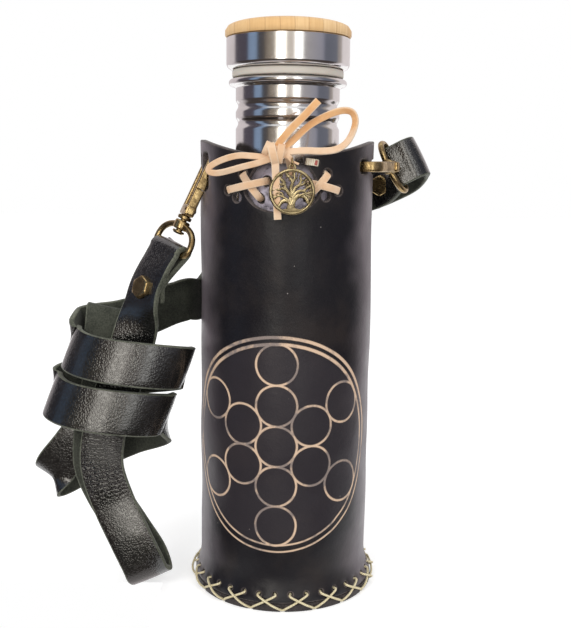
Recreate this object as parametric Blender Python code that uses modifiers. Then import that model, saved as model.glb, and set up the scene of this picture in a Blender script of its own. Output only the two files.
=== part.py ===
"""A round leather carrying case with its steel bottle, its two clasps and its shoulder strap in a hank.

Metres, +Z up. The case stands on z = 0 with its axis on z, and -Y is its laced front.
The driving sizes come first, then the helpers, then one function for each sub-part.
"""

import math

import bmesh
import bpy
import numpy as np
from mathutils import Matrix
from mathutils import Vector

# Gaps between pieces
SEAT_GAP = 0.0003
RUN_GAP = 0.0005
SEAL_TOP_GAP = 0.0001
OVERRUN = 0.004

# The leather tube
CASE_RADIUS = 0.040
CASE_WALL = 0.003
RIM_SIDE_HEIGHT = 0.211
RIM_FRONT_HEIGHT = 0.2036
BASE_OVERHANG = 0.0030
BASE_RADIUS = CASE_RADIUS + BASE_OVERHANG
BASE_THICKNESS = 0.0036
BASE_EDGE_ROUND = 0.0006
FLARE_REACH = 0.0020
FLARE_FOOT = 0.0010
FLARE_HEIGHT = 0.0070
CASE_SEGMENTS = 64

# The laced opening in the front of the rim
NOTCH_WIDTH = 0.032
NOTCH_DEPTH = 0.0239
NOTCH_CENTRE_X = -0.0018
NOTCH_OUTLINE_SHARES = (
    (0.0, 0.0), (0.5, 0.055), (0.8, 0.16), (1.0, 0.37),
    (0.86, 0.63), (0.62, 0.87), (0.53, 1.0), (0.53, 1.45),
)
LACE_HOLE_RADIUS = 0.0021
LACE_HOLE_PLACE_SHARES = (
    (-1.47, 0.385), (-1.05, 0.678), (-1.22, 0.26),
    (1.5, 0.393), (1.19, 0.695), (1.16, 0.30),
)
STITCH_HOLE_RADIUS = 0.0012
STITCH_CORD_RADIUS = 0.0007
TOP_STITCH_PLACE_SHARES = ((0.74, 0.905), (1.02, 0.82))
GUSSET_THICKNESS = 0.0020
GUSSET_MARGIN = 0.0055
GUSSET_TOP_DROP = 0.0030
GUSSET_BULGE = 0.0036
GUSSET_BULGE_WIDTH_SHARE = 0.74
GUSSET_BULGE_HEIGHT_SHARE = 0.80
GUSSET_HOLE_PLACE_SHARES = ((-0.42, 0.56), (-0.62, 0.25), (0.72, 0.54), (0.70, 0.28))
LEFT_LACES = (
    (LACE_HOLE_PLACE_SHARES[0], GUSSET_HOLE_PLACE_SHARES[0]),
    (LACE_HOLE_PLACE_SHARES[1], GUSSET_HOLE_PLACE_SHARES[1]),
)
RIGHT_LACES = (
    (LACE_HOLE_PLACE_SHARES[3], GUSSET_HOLE_PLACE_SHARES[2]),
    (LACE_HOLE_PLACE_SHARES[4], GUSSET_HOLE_PLACE_SHARES[3]),
)

# The flat lace and the bow. The places of the knot, the bow and the charm are: to the right of the axis, out
# from the front of the wall, and up from the rim's front
LACE_WIDTH = 0.0032
LACE_THICKNESS = 0.0013
LACE_STEP = 0.0030
LACE_STAND_OFF = 0.0005
KNOT_RADIUS = 0.0036
KNOT_WRAP_RADIUS = 0.0019
KNOT_PLACE = (-0.0042, 0.0052, 0.0012)
BOW_LOOP_LEFT_ROUTE = (
    (-0.0097, 0.0046, 0.0026), (-0.0145, 0.0040, 0.0022), (-0.0216, 0.0025, 0.0014),
    (-0.0280, 0.0005, -0.0008), (-0.0328, -0.0015, -0.0037), (-0.0337, -0.0020, -0.0062),
    (-0.0307, -0.0010, -0.0072), (-0.0255, 0.0010, -0.0058), (-0.0191, 0.0035, -0.0040),
    (-0.0128, 0.0050, -0.0022),
)
BOW_LOOP_RIGHT_ROUTE = (
    (0.0024, 0.0040, 0.0062), (0.0056, 0.0040, 0.0094), (0.0099, 0.0030, 0.0131),
    (0.0161, 0.0020, 0.0166), (0.0224, 0.0010, 0.0188), (0.0268, 0.0000, 0.0183),
    (0.0284, 0.0000, 0.0147), (0.0272, 0.0005, 0.0097), (0.0243, 0.0015, 0.0052),
    (0.0201, 0.0025, 0.0028), (0.0146, 0.0035, 0.0021), (0.0084, 0.0045, 0.0022),
    (0.0030, 0.0050, 0.0019),
)
BOW_TAIL_UPPER_ROUTE = (
    (-0.0024, 0.0061, 0.0064), (0.0021, 0.0068, 0.0116), (0.0069, 0.0066, 0.0164),
    (0.0126, 0.0060, 0.0224),
)
BOW_TAIL_LOWER_ROUTE = (
    (-0.0048, 0.0058, -0.0050), (-0.0046, 0.0044, -0.0066), (-0.0044, 0.0032, -0.0091),
    (-0.0042, 0.0030, -0.0162), (-0.0039, 0.0027, -0.0258),
)

LACING_RISE_FOOT_SHARES = ((0.24, 0.66), (0.22, 0.78))
LACING_RISE_ROUTE = ((0.0012, 0.0013, -0.0030), (0.0006, 0.0017, -0.0006), (0.0005, 0.0019, 0.0014))

# The round charm and what it hangs on
CHARM_RADIUS = 0.0097
CHARM_THICKNESS = 0.0012
CHARM_RIM_WIDTH = 0.0015
CHARM_RIM_THICKNESS = 0.0019
CHARM_CENTRE = (0.0034, 0.0056, -0.0148)
CHARM_TRUNK_WIDTH = 0.0017
CHARM_BRANCH_WIDTH = 0.0010
CHARM_BRANCH_ANGLES = (-64.0, -30.0, 4.0, 34.0, 66.0)
CHARM_ROOT_ANGLES = (-72.0, -36.0, 36.0, 72.0)
CHARM_EYE_RADIUS = 0.0010
CHARM_EYE_RISE = 0.0003
CHARM_EYE_WIDTH = 0.00055
JUMP_RING_RADIUS = 0.0017
JUMP_RING_WIRE = 0.00045
HANGER_DROP = 0.0024
HANGER_THICKNESS_SHARE = 0.6
HANGER_WIDTH_SHARE = 0.65
HANGER_GAP = 0.00035

# The waxed cord of the crosses
CROSS_COUNT = 18
CROSS_CORD_RADIUS = 0.00075
CROSS_HOLE_RADIUS = 0.0013
CROSS_HOLE_LINE = 0.0076
CROSS_HALF_SHARE = 0.25
CROSS_FOOT_HEIGHT = 0.0012
CROSS_NOTCH_RADIUS = 0.0027
SEAM_PITCH = 0.0145
SEAM_HALF_WIDTH = 0.0045
SEAM_BOTTOM = 0.022

# The bottle
BOTTLE_SIDE_GAP = 0.0043
BOTTLE_RADIUS = CASE_RADIUS - CASE_WALL - BOTTLE_SIDE_GAP
BOTTLE_STEEL = 0.0010
BOTTLE_SHOULDER_END = 0.201
SHOULDER_HEIGHT = 0.041
BOTTLE_SHOULDER_START = BOTTLE_SHOULDER_END - SHOULDER_HEIGHT
SHOULDER_STEP = 0.0089
NECK_RADIUS = BOTTLE_RADIUS - SHOULDER_STEP
NECK_HEIGHT = 0.0375
NECK_TOP = BOTTLE_SHOULDER_END + NECK_HEIGHT
WAIST_DROPS = (0.0200, 0.0123)
WAIST_DEPTH = 0.0011
WAIST_HALF_HEIGHT = 0.0030
BEAD_REACH = 0.0032
BEAD_DROP = 0.0019
BEAD_HALF_HEIGHT = 0.0015
BOTTLE_FOOT_ROUND = 0.004
TURNED_SEGMENTS = 32

# The lid
SEAL_REACH = 0.0016
SEAL_RADIUS = NECK_RADIUS + SEAL_REACH
SEAL_HEIGHT = 0.0036
SEAL_WIDTH = 0.0030
LID_REACH = 0.0043
LID_RADIUS = NECK_RADIUS + LID_REACH
LID_SKIN = 0.0012
LID_BOTTOM = NECK_TOP + SEAL_HEIGHT + SEAT_GAP + SEAL_TOP_GAP
LID_ROUND = 0.0018
LID_BAND_HEIGHT = 0.0138
LID_SPLIT = LID_BOTTOM + LID_BAND_HEIGHT
WOOD_REACH = 0.0006
WOOD_RADIUS = LID_RADIUS + WOOD_REACH
WOOD_HEIGHT = 0.0101
WOOD_TOP = LID_SPLIT + WOOD_HEIGHT
WOOD_ROUND = 0.0060
WOOD_TENON = 0.0030
PLUG_DEPTH = 0.0120
PLUG_GAP = 0.0004
PLUG_BORE_SHARE = 0.62

# The clasps, in their own frames: the hook's bend at the origin, the ring down along -z
HOOK_WIRE = 0.0016
HOOK_HALF_WIDTH = 0.0052
HOOK_NOSE = 0.0152
HOOK_ROOT = 0.0235
HOOK_INNER_GAP = 0.0010
HOOK_BLOCK_HEIGHT = 0.0052
HOOK_BLOCK_THICKNESS = 0.0050
HOOK_BLOCK_MARGIN = 0.0022
GATE_RADIUS = 0.0013
GATE_SIDE_GAP = 0.0004
GATE_EYE_RADIUS = 0.0017
GATE_PIN_RADIUS = 0.0007
GATE_PIN_GAP = 0.0002
POST_RADIUS = 0.0015
POST_HEAD_RADIUS = 0.0028
POST_HEAD_HEIGHT = 0.0015
BOSS_RADIUS = 0.0035
BOSS_HEIGHT = 0.0044
RING_WIRE = 0.0013
RING_HALF_WIDTH = 0.0125
RING_BAR_DROP = 0.0460
RING_CORNER = 0.0040
SLOT_SIDE_ROOM = 0.0023
SLOT_WIDTH = 2 * (HOOK_WIRE + SLOT_SIDE_ROOM)
SLOT_CORNER = 0.0022
LEFT_CLASP_AZIMUTH = -75.0
LEFT_CLASP_DEPTH = 0.0049
LEFT_CLASP_RADIUS = CASE_RADIUS - LEFT_CLASP_DEPTH
LEFT_CLASP_DROP = 0.0011
LEFT_CLASP_HEIGHT = RIM_FRONT_HEIGHT - LEFT_CLASP_DROP
LEFT_SLOT_HEIGHT = 0.0166
LEFT_SLOT_DROP = 0.0057
LEFT_CLASP_LEAN = 25.5
LEFT_RING_TURN = 23.0
RIGHT_CLASP_AZIMUTH = 66.5
RIGHT_CLASP_DROP = 0.0041
RIGHT_CLASP_HEIGHT = RIM_FRONT_HEIGHT - RIGHT_CLASP_DROP
RIGHT_INNER_ARM_REACH = CASE_RADIUS - 2 * CASE_WALL + HOOK_INNER_GAP
RIGHT_RING_TURN = 90.0
RIGHT_SLOT_HEIGHT = 0.0064

# The strap and its hank
STRAP_WIDTH = 0.0202
STRAP_THICKNESS = 0.0026
STRAP_STEP = 0.0100
LAYER_GAP = 0.0010
HANK_REACH = 0.064
HANK_HOOK_DROP = 0.0413
HANK_DROP = LEFT_CLASP_HEIGHT - HANK_HOOK_DROP
HANK_CENTRE_Y = -0.0135
HANK_FLOOR_GAP = 0.0004
WRAP_HALF_WIDTH = 0.0284
WRAP_HALF_DEPTH = 0.0092
WRAP_LEFTWARD = 0.0307
WRAP_START_HEIGHT = 0.0842
WRAP_RISE = 0.0111
WRAP_DRIFT = 0.0046
WRAP_HALF_TURNS = 3
WRAP_ROWS = 9
GAP_STEP = 0.0017
GAP_COLUMNS = 13
FOLD_SHARE = 3.2
RIVET_HEAD_RADIUS = 0.0042
RIVET_HEAD_HEIGHT = 0.0016
RIVET_SHANK_RADIUS = 0.0016
RIVET_DROP = 0.0190
RIVET_LAYER_DISTANCE = 0.0054
RIVET_SHARES = (0.172, -1.15, 0.893, 0, 48)
LAP_HALF_GAP = 0.0023
BACK_RUN_GAP = 0.0020
BACK_RUN_LEFT_AZIMUTH = 248.0
BACK_RUN_RIGHT_AZIMUTH = 166.0
BACK_RUN_RISE = 0.0655
BACK_LOOP_SHARES = (
    (0.46, 0.82, 0.55), (0.76, 0.93, 0.74), (0.97, 0.925, 0.88), (1.055, 0.835, 0.96),
)

# Rows of the strap's way from the left ring to the wraps: how far left of the ring's bar and how high
# above the floor, both as shares, how many layers behind the hank's middle, and the lean and turn in
# degrees of the line across the strap
RING_END_SHARES = ((0.158, 0.25, 0.862, 0, 50), (0.130, 0.10, 0.915, 0, 50))
CORE_SHARES = (
    (0.105, -1.15, 0.950, 0, 50),
    RIVET_SHARES,
    (0.206, -1.20, 0.836, 0, 36),
    (0.232, -1.20, 0.785, -8, 12),
    (0.290, -1.20, 0.705, -18, 0),
    (0.350, -1.20, 0.630, -22, 0),
    (0.420, -1.20, 0.560, -22, 0),
    (0.485, -1.30, 0.465, -16, 0),
    (0.500, -1.70, 0.370, 4, 0),
    (0.420, -1.95, 0.265, 20, 0),
    (0.290, -1.85, 0.160, 24, 0),
    (0.205, -1.45, 0.088, 24, 0),
)
HANG_FOLD_SHARES = (0.150, -0.55, 24.0)
RETURN_SHARES = (
    (0.205, 0.40, 0.088, 24, 0),
    (0.330, 0.35, 0.170, 24, 0),
    (0.480, 0.25, 0.270, 22, 0),
    (0.570, 0.10, 0.365, 8, 0),
    (0.560, 0.00, 0.465, -10, 0),
    (0.520, 0.05, 0.560, -20, 0),
    (0.490, 0.20, 0.630, -20, 0),
    (0.490, 0.35, 0.700, -16, 0),
    (0.468, 0.50, 0.770, -12, 0),
    (0.460, 0.72, 0.808, -12, 0),
    (0.458, 1.13, 0.824, -12, 0),
    (0.456, 1.54, 0.808, -12, 0),
    (0.448, 1.64, 0.770, -12, 0),
    (0.450, 1.60, 0.700, -16, 0),
    (0.478, 1.55, 0.630, -20, 0),
    (0.535, 1.45, 0.560, -24, 0),
    (0.612, 1.25, 0.485, -30, 0),
    (0.750, 1.10, 0.410, -36, 0),
    (0.870, 1.30, 0.350, -46, 0),
    (0.900, 1.85, 0.318, -52, 0),
    (0.860, 2.45, 0.314, -56, 0),
    (0.740, 2.85, 0.340, -58, 0),
    (0.560, 3.10, 0.395, -62, 0),
    (0.330, 3.20, 0.438, -68, 0),
    (0.120, 2.80, 0.468, -78, 0),
)
LEAVING_SHARES = (
    (0.702, 1.15, 0.748, 88, 0),
    (0.668, 2.90, 0.763, 88, 0),
    (0.565, 3.75, 0.770, 86, 0),
    (0.414, 3.85, 0.778, 84, 0),
    (0.226, 4.15, 0.797, 86, 0),
    (0.055, 4.95, 0.824, 88, 0),
)
HANK_END_SHARES = (-0.040, 5.85, 0.834, 90, 0)


def clear_scene():
    for old in list(bpy.data.objects):
        bpy.data.objects.remove(old, do_unlink=True)


clear_scene()
PARTS = bpy.data.collections.new("bottle_case")
CUTTERS = bpy.data.collections.new("cutters")
bpy.context.scene.collection.children.link(PARTS)
bpy.context.scene.collection.children.link(CUTTERS)


def material(name, colour, roughness, metallic=0.0):
    finish = bpy.data.materials.new(name)
    finish.use_nodes = True
    shader = finish.node_tree.nodes["Principled BSDF"]
    shader.inputs["Base Color"].default_value = (*colour, 1.0)
    shader.inputs["Roughness"].default_value = roughness
    shader.inputs["Metallic"].default_value = metallic
    return finish


LEATHER = material("black_leather", (0.020, 0.018, 0.022), 0.42)
STRAP_LEATHER = material("strap_leather", (0.016, 0.015, 0.017), 0.38)
LACE = material("tan_lace", (0.74, 0.47, 0.23), 0.62)
CORD = material("cream_cord", (0.76, 0.62, 0.36), 0.60)
BRASS = material("antique_brass", (0.34, 0.25, 0.13), 0.36, 1.0)
STEEL = material("brushed_steel", (0.62, 0.61, 0.60), 0.24, 1.0)
WOOD = material("pale_wood", (0.73, 0.47, 0.22), 0.55)
RUBBER = material("grey_rubber", (0.42, 0.40, 0.38), 0.60)


# Helpers


def azimuth_vector(degrees):
    """The way out from the axis, with 0 at the front and positive turning to +X."""
    angle = math.radians(degrees)
    return Vector((math.sin(angle), -math.cos(angle), 0.0))


def add_object(name, mesh, finish=None, hidden=False):
    made = bpy.data.objects.new(name, mesh)
    if hidden:
        CUTTERS.objects.link(made)
        made.hide_render = True
        made.display_type = "WIRE"
    else:
        PARTS.objects.link(made)
        mesh.materials.append(finish)
    return made


def mesh_from(name, form):
    mesh = bpy.data.meshes.new(name)
    form.to_mesh(mesh)
    form.free()
    return mesh


def smooth_shaded(made, sharp_degrees=40.0):
    made.data.shade_smooth()
    made.data.set_sharp_from_angle(angle=math.radians(sharp_degrees))
    return made


def turned(name, profile, finish, segments=TURNED_SEGMENTS, hidden=False):
    """A profile of (radius, height) points turned round z, down its outer side."""
    form = bmesh.new()
    points = [form.verts.new((radius, 0.0, height)) for radius, height in profile]
    for first, second in zip(points, points[1:]):
        form.edges.new((first, second))
    made = add_object(name, mesh_from(name, form), finish, hidden)
    screw = made.modifiers.new("turn", "SCREW")
    screw.axis = "Z"
    screw.steps = segments
    screw.render_steps = segments
    screw.use_merge_vertices = True
    screw.merge_threshold = 0.00001
    screw.use_smooth_shade = True
    return made


def arc(centre_radius, centre_height, radius, start, end, count):
    """Points of a profile's round stretch, from one angle to another in degrees."""
    points = []
    for step in range(count + 1):
        angle = math.radians(start + (end - start) * step / count)
        points.append((centre_radius + radius * math.cos(angle), centre_height + radius * math.sin(angle)))
    return points


def combine(made, other, operation):
    """Cut the other object from this one, or join it on; the other becomes a hidden guide."""
    step = made.modifiers.new(operation.lower(), "BOOLEAN")
    step.operation = operation
    step.object = other
    step.solver = "EXACT"
    return made


def baked(made):
    """The object's mesh with its modifiers applied, in the object's own frame."""
    bpy.context.view_layer.update()
    graph = bpy.context.evaluated_depsgraph_get()
    return bpy.data.meshes.new_from_object(made.evaluated_get(graph))


def settle(made):
    """Apply the modifiers, so that the object can be cut or placed without its guides."""
    mesh = baked(made)
    mesh.name = made.name
    old = made.data
    made.modifiers.clear()
    made.data = mesh
    if old.users == 0 and isinstance(old, bpy.types.Mesh):
        bpy.data.meshes.remove(old)
    return made


def cylinder(name, radius, start, end, finish=None, segments=12, hidden=True):
    """A closed cylinder between two points."""
    start = Vector(start)
    end = Vector(end)
    along = end - start
    form = bmesh.new()
    turn = along.to_track_quat("Z", "Y").to_matrix().to_4x4()
    place = Matrix.Translation((start + end) / 2) @ turn
    bmesh.ops.create_cone(
        form, cap_ends=True, segments=segments, radius1=radius, radius2=radius, depth=along.length, matrix=place,
    )
    return add_object(name, mesh_from(name, form), finish, hidden)


def block(name, size, place, finish=None, bevel=0.0, hidden=True):
    """A closed box with rounded edges, placed by a matrix."""
    form = bmesh.new()
    bmesh.ops.create_cube(form, size=1.0, matrix=place @ Matrix.Diagonal((*size, 1.0)))
    made = add_object(name, mesh_from(name, form), finish, hidden)
    if bevel:
        edge = made.modifiers.new("edge", "BEVEL")
        edge.width = bevel
        edge.segments = 2
        edge.limit_method = "ANGLE"
    return made


def tube(name, points, radius, finish=None, resolution=2, cyclic=False, hidden=False, place=None):
    """A round wire through points, as a closed mesh."""
    curve = bpy.data.curves.new(name, "CURVE")
    curve.dimensions = "3D"
    curve.bevel_depth = radius
    curve.bevel_resolution = resolution
    curve.use_fill_caps = True
    line = curve.splines.new("POLY")
    line.points.add(len(points) - 1)
    for spot, point in zip(line.points, points):
        spot.co = (*point, 1.0)
    line.use_cyclic_u = cyclic
    guide = bpy.data.objects.new(name + "_line", curve)
    CUTTERS.objects.link(guide)
    mesh = baked(guide)
    bpy.data.objects.remove(guide, do_unlink=True)
    form = bmesh.new()
    form.from_mesh(mesh)
    bpy.data.meshes.remove(mesh)
    bmesh.ops.remove_doubles(form, verts=form.verts, dist=0.000001)
    bmesh.ops.recalc_face_normals(form, faces=form.faces)
    if place is not None:
        form.transform(place)
    return add_object(name, mesh_from(name, form), finish, hidden)


def joined(name, pieces, finish):
    """Several closed pieces made into one body."""
    first = pieces[0]
    for other in pieces[1:]:
        combine(first, other, "UNION")
    mesh = baked(first)
    for piece in pieces:
        bpy.data.objects.remove(piece, do_unlink=True)
    mesh.name = name
    mesh.materials.clear()
    return smooth_shaded(add_object(name, mesh, finish))


def rounded_route(rows, step):
    """Even points on a smooth line through rows of numbers; the first three are a place."""
    rows = np.array(rows, dtype=float)
    before = rows[:1] * 2 - rows[1:2]
    after = rows[-1:] * 2 - rows[-2:-1]
    rows = np.concatenate([before, rows, after])
    fine = []
    for index in range(1, len(rows) - 2):
        a, b, c, d = rows[index - 1 : index + 3]
        length = np.linalg.norm(c[:3] - b[:3])
        count = max(2, int(math.ceil(length / step * 8)))
        for share in np.arange(count) / count:
            fine.append(
                0.5 * (2 * b + (c - a) * share + (2 * a - 5 * b + 4 * c - d) * share**2
                       + (3 * b - a - 3 * c + d) * share**3)
            )
    fine.append(rows[-2])
    return thinned(np.array(fine), step)


def thinned(fine, step, most_turn=28.0):
    """Fewer rows: one per step, and more of them where the line bends."""
    legs = np.diff(fine[:, :3], axis=0)
    sizes = np.linalg.norm(legs, axis=1)
    ways = legs / sizes[:, None]
    cosines = np.clip((ways[1:] * ways[:-1]).sum(axis=1), -1.0, 1.0)
    turns = np.concatenate([[0.0], np.degrees(np.arccos(cosines))])
    load = np.cumsum(sizes / step + turns / most_turn)
    count = max(2, int(round(load[-1])))
    spots = np.linspace(0.0, load[-1], count + 1)
    load = np.concatenate([[0.0], load])
    return np.stack([np.interp(spots, load, fine[:, column]) for column in range(fine.shape[1])], axis=1)


def strap_edges(rows, width):
    """The two edges of a flat strip: rows hold its middle and the line across it."""
    middles = rows[:, :3]
    along = np.gradient(middles, axis=0)
    along /= np.linalg.norm(along, axis=1, keepdims=True)
    across = rows[:, 3:6] / np.linalg.norm(rows[:, 3:6], axis=1, keepdims=True)
    square = across - (across * along).sum(axis=1, keepdims=True) * along
    reach = width / 2 / np.maximum(np.linalg.norm(square, axis=1, keepdims=True), 0.6)
    return middles - across * reach, middles + across * reach


def strip(name, rows, width, thickness, finish, place=None):
    """A flat strip as an open surface that a Solidify modifier thickens both ways."""
    left, right = strap_edges(rows, width)
    form = bmesh.new()
    pairs = []
    for low, high in zip(left, right):
        pairs.append((form.verts.new(low), form.verts.new(high)))
    for (a, b), (c, d) in zip(pairs, pairs[1:]):
        form.faces.new((a, b, d, c))
    if place is not None:
        form.transform(place)
    made = add_object(name, mesh_from(name, form), finish)
    solid = made.modifiers.new("thickness", "SOLIDIFY")
    solid.thickness = thickness
    solid.offset = 0.0
    solid.use_even_offset = False
    return made


def lace_rows(points, depth_across=0.0):
    """A lace's route with the line across it square to the route, seen from the front."""
    rows = rounded_route([tuple(point) for point in points], LACE_STEP)
    along = np.gradient(rows, axis=0)
    across = np.stack([along[:, 2], np.full(len(rows), depth_across), -along[:, 0]], axis=1)
    return np.concatenate([rows, across], axis=1)


# The leather tube and its base


def rim_height(angle):
    return RIM_FRONT_HEIGHT + (RIM_SIDE_HEIGHT - RIM_FRONT_HEIGHT) * math.sin(angle) ** 2


def wall_radius(height):
    """The tube's outer radius, which flares over the base."""
    above = max(0.0, height - BASE_THICKNESS - SEAT_GAP - FLARE_FOOT)
    share = max(0.0, 1 - above / FLARE_HEIGHT)
    return CASE_RADIUS + FLARE_REACH * share**2


def notch_place(width_share, height_share):
    """A place on the opening's outline: across, and height."""
    across = NOTCH_CENTRE_X + width_share * NOTCH_WIDTH / 2
    return across, RIM_FRONT_HEIGHT - NOTCH_DEPTH * (1 - height_share)


def in_front(place):
    """A place from how far it is right of the axis, out from the wall's front and up from the rim's front."""
    across, out, rise = place
    return Vector((across, -CASE_RADIUS - out, RIM_FRONT_HEIGHT + rise))


def azimuth_of(across, radius=CASE_RADIUS):
    return math.degrees(math.asin(across / radius))


def notch_cutter():
    """The opening's outline as a flat curve with thickness, stood up in front of the wall."""
    right = [notch_place(*place) for place in NOTCH_OUTLINE_SHARES]
    left = [notch_place(-width, height) for width, height in NOTCH_OUTLINE_SHARES[:0:-1]]
    curve = bpy.data.curves.new("notch_outline", "CURVE")
    curve.dimensions = "2D"
    curve.fill_mode = "BOTH"
    curve.extrude = CASE_RADIUS / 2
    line = curve.splines.new("BEZIER")
    line.bezier_points.add(len(right) + len(left) - 1)
    line.use_cyclic_u = True
    line.resolution_u = 3
    for spot, (across, height) in zip(line.bezier_points, right + left):
        spot.co = (across, height, 0.0)
        spot.handle_left_type = "AUTO"
        spot.handle_right_type = "AUTO"
    guide = bpy.data.objects.new("notch_line", curve)
    CUTTERS.objects.link(guide)
    mesh = baked(guide)
    bpy.data.objects.remove(guide, do_unlink=True)
    form = bmesh.new()
    form.from_mesh(mesh)
    bpy.data.meshes.remove(mesh)
    bmesh.ops.remove_doubles(form, verts=form.verts, dist=0.000001)
    form.transform(Matrix.Translation((0.0, -CASE_RADIUS, 0.0)) @ Matrix.Rotation(math.radians(90), 4, "X"))
    bmesh.ops.recalc_face_normals(form, faces=form.faces)
    return add_object("notch_cutter", mesh_from("notch_cutter", form), hidden=True)


def merged_cutter(name, pieces):
    """Cutters that lie apart, as one object."""
    form = bmesh.new()
    for piece in pieces:
        mesh = baked(piece)
        form.from_mesh(mesh)
        bpy.data.meshes.remove(mesh)
        bpy.data.objects.remove(piece, do_unlink=True)
    return add_object(name, mesh_from(name, form), hidden=True)


def wall_hole(name, azimuth, height, radius, segments=8):
    way = azimuth_vector(azimuth)
    middle = Vector((0.0, 0.0, height))
    inside = middle + way * (CASE_RADIUS - CASE_WALL - OVERRUN)
    return cylinder(name, radius, inside, middle + way * (CASE_RADIUS + OVERRUN), segments=segments)


def cross_hole_azimuths():
    pitch = 360.0 / CROSS_COUNT
    for index in range(CROSS_COUNT):
        middle = (index + 0.5) * pitch
        yield middle - pitch * CROSS_HALF_SHARE, middle + pitch * CROSS_HALF_SHARE


def left_slot_azimuths():
    half = math.degrees(math.asin(HOOK_HALF_WIDTH / (CASE_RADIUS - CASE_WALL / 2)))
    return LEFT_CLASP_AZIMUTH - half, LEFT_CLASP_AZIMUTH + half


def right_slot_span(inner, outer):
    """Where the right hook's inner arm crosses the wall, in degrees from the arm's nearest point."""
    low = math.degrees(math.acos(min(1.0, (RIGHT_INNER_ARM_REACH + HOOK_WIRE) / inner)))
    high = math.degrees(math.acos((RIGHT_INNER_ARM_REACH - HOOK_WIRE) / outer))
    return low, high


def slot_cutter(name, azimuth, height, width, tall):
    way = azimuth_vector(azimuth)
    side = way.cross(Vector((0.0, 0.0, 1.0)))
    turn = Matrix((side, way, Vector((0.0, 0.0, 1.0)))).transposed().to_4x4()
    middle = way * (CASE_RADIUS - CASE_WALL / 2) + Vector((0.0, 0.0, height))
    size = (width, CASE_WALL + 2 * OVERRUN, tall)
    return block(name, size, Matrix.Translation(middle) @ turn, bevel=SLOT_CORNER)


def clasp_slots():
    cutters = []
    middle = LEFT_CLASP_HEIGHT - LEFT_SLOT_DROP
    for index, azimuth in enumerate(left_slot_azimuths()):
        cutters.append(
            slot_cutter(f"left_slot_{index}", azimuth, middle, SLOT_WIDTH, LEFT_SLOT_HEIGHT)
        )
    front = RIGHT_CLASP_AZIMUTH - math.degrees(math.asin(HOOK_HALF_WIDTH / CASE_RADIUS))
    cutters.append(slot_cutter("right_slot_front", front, RIGHT_CLASP_HEIGHT, SLOT_WIDTH, RIGHT_SLOT_HEIGHT))
    low, high = right_slot_span(CASE_RADIUS - CASE_WALL, CASE_RADIUS)
    reach = 2 * CASE_RADIUS * math.sin(math.radians(high - low) / 2) + 6 * RUN_GAP
    middle = RIGHT_CLASP_AZIMUTH + (low + high) / 2
    cutters.append(slot_cutter("right_slot_rear", middle, RIGHT_CLASP_HEIGHT, reach, RIGHT_SLOT_HEIGHT))
    return cutters


def case_body():
    """The tube: an open surface whose top row follows the rim, thickened inwards, then punched."""
    bottom = BASE_THICKNESS + SEAT_GAP
    flare_rows = [bottom] + [bottom + FLARE_FOOT + FLARE_HEIGHT * share for share in (0.0, 0.3, 0.62, 1.0)]
    wall_share_rows = (0.35, 0.70, 1.0)
    form = bmesh.new()
    columns = []
    for segment in range(CASE_SEGMENTS):
        angle = 2 * math.pi * segment / CASE_SEGMENTS
        top = rim_height(angle)
        rows = flare_rows + [flare_rows[-1] + (top - flare_rows[-1]) * share for share in wall_share_rows]
        way = azimuth_vector(math.degrees(angle))
        columns.append([form.verts.new(way * wall_radius(z) + Vector((0.0, 0.0, z))) for z in rows])
    for column, after in zip(columns, columns[1:] + columns[:1]):
        for row in range(len(column) - 1):
            form.faces.new((column[row], after[row], after[row + 1], column[row + 1]))
    made = add_object("case_body", mesh_from("case_body", form), LEATHER)
    shell = made.modifiers.new("wall", "SOLIDIFY")
    shell.thickness = CASE_WALL
    shell.offset = -1.0
    shell.use_even_offset = True
    combine(made, notch_cutter(), "DIFFERENCE")
    holes = []
    for index, place in enumerate(LACE_HOLE_PLACE_SHARES):
        across, height = notch_place(*place)
        holes.append(wall_hole(f"lace_hole_{index}", azimuth_of(across), height, LACE_HOLE_RADIUS, 10))
    for index, place in enumerate(TOP_STITCH_PLACE_SHARES):
        across, height = notch_place(*place)
        holes.append(wall_hole(f"stitch_hole_{index}", azimuth_of(across), height, STITCH_HOLE_RADIUS))
    for index, pair in enumerate(cross_hole_azimuths()):
        for azimuth in pair:
            holes.append(wall_hole(f"cross_hole_{index}", azimuth, CROSS_HOLE_LINE, CROSS_HOLE_RADIUS, 6))
    combine(made, merged_cutter("punched_holes", holes), "DIFFERENCE")
    combine(made, merged_cutter("clasp_slots", clasp_slots()), "DIFFERENCE")
    return smooth_shaded(settle(made))


def case_base():
    """The base disc, with a scallop in its edge where two crosses meet."""
    rounding = arc(BASE_RADIUS - BASE_EDGE_ROUND, BASE_THICKNESS - BASE_EDGE_ROUND, BASE_EDGE_ROUND, 90, 0, 2)
    profile = [(0.0, BASE_THICKNESS)] + rounding + [(BASE_RADIUS, 0.0), (0.0, 0.0)]
    made = turned("case_base", profile, LEATHER, segments=CASE_SEGMENTS)
    scallops = []
    for index in range(CROSS_COUNT):
        way = azimuth_vector(index * 360.0 / CROSS_COUNT) * BASE_RADIUS
        low = way - Vector((0.0, 0.0, OVERRUN))
        high = way + Vector((0.0, 0.0, BASE_THICKNESS + OVERRUN))
        scallops.append(cylinder(f"scallop_{index}", CROSS_NOTCH_RADIUS, low, high, segments=6))
    combine(made, merged_cutter("base_scallops", scallops), "DIFFERENCE")
    return settle(made)


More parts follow.
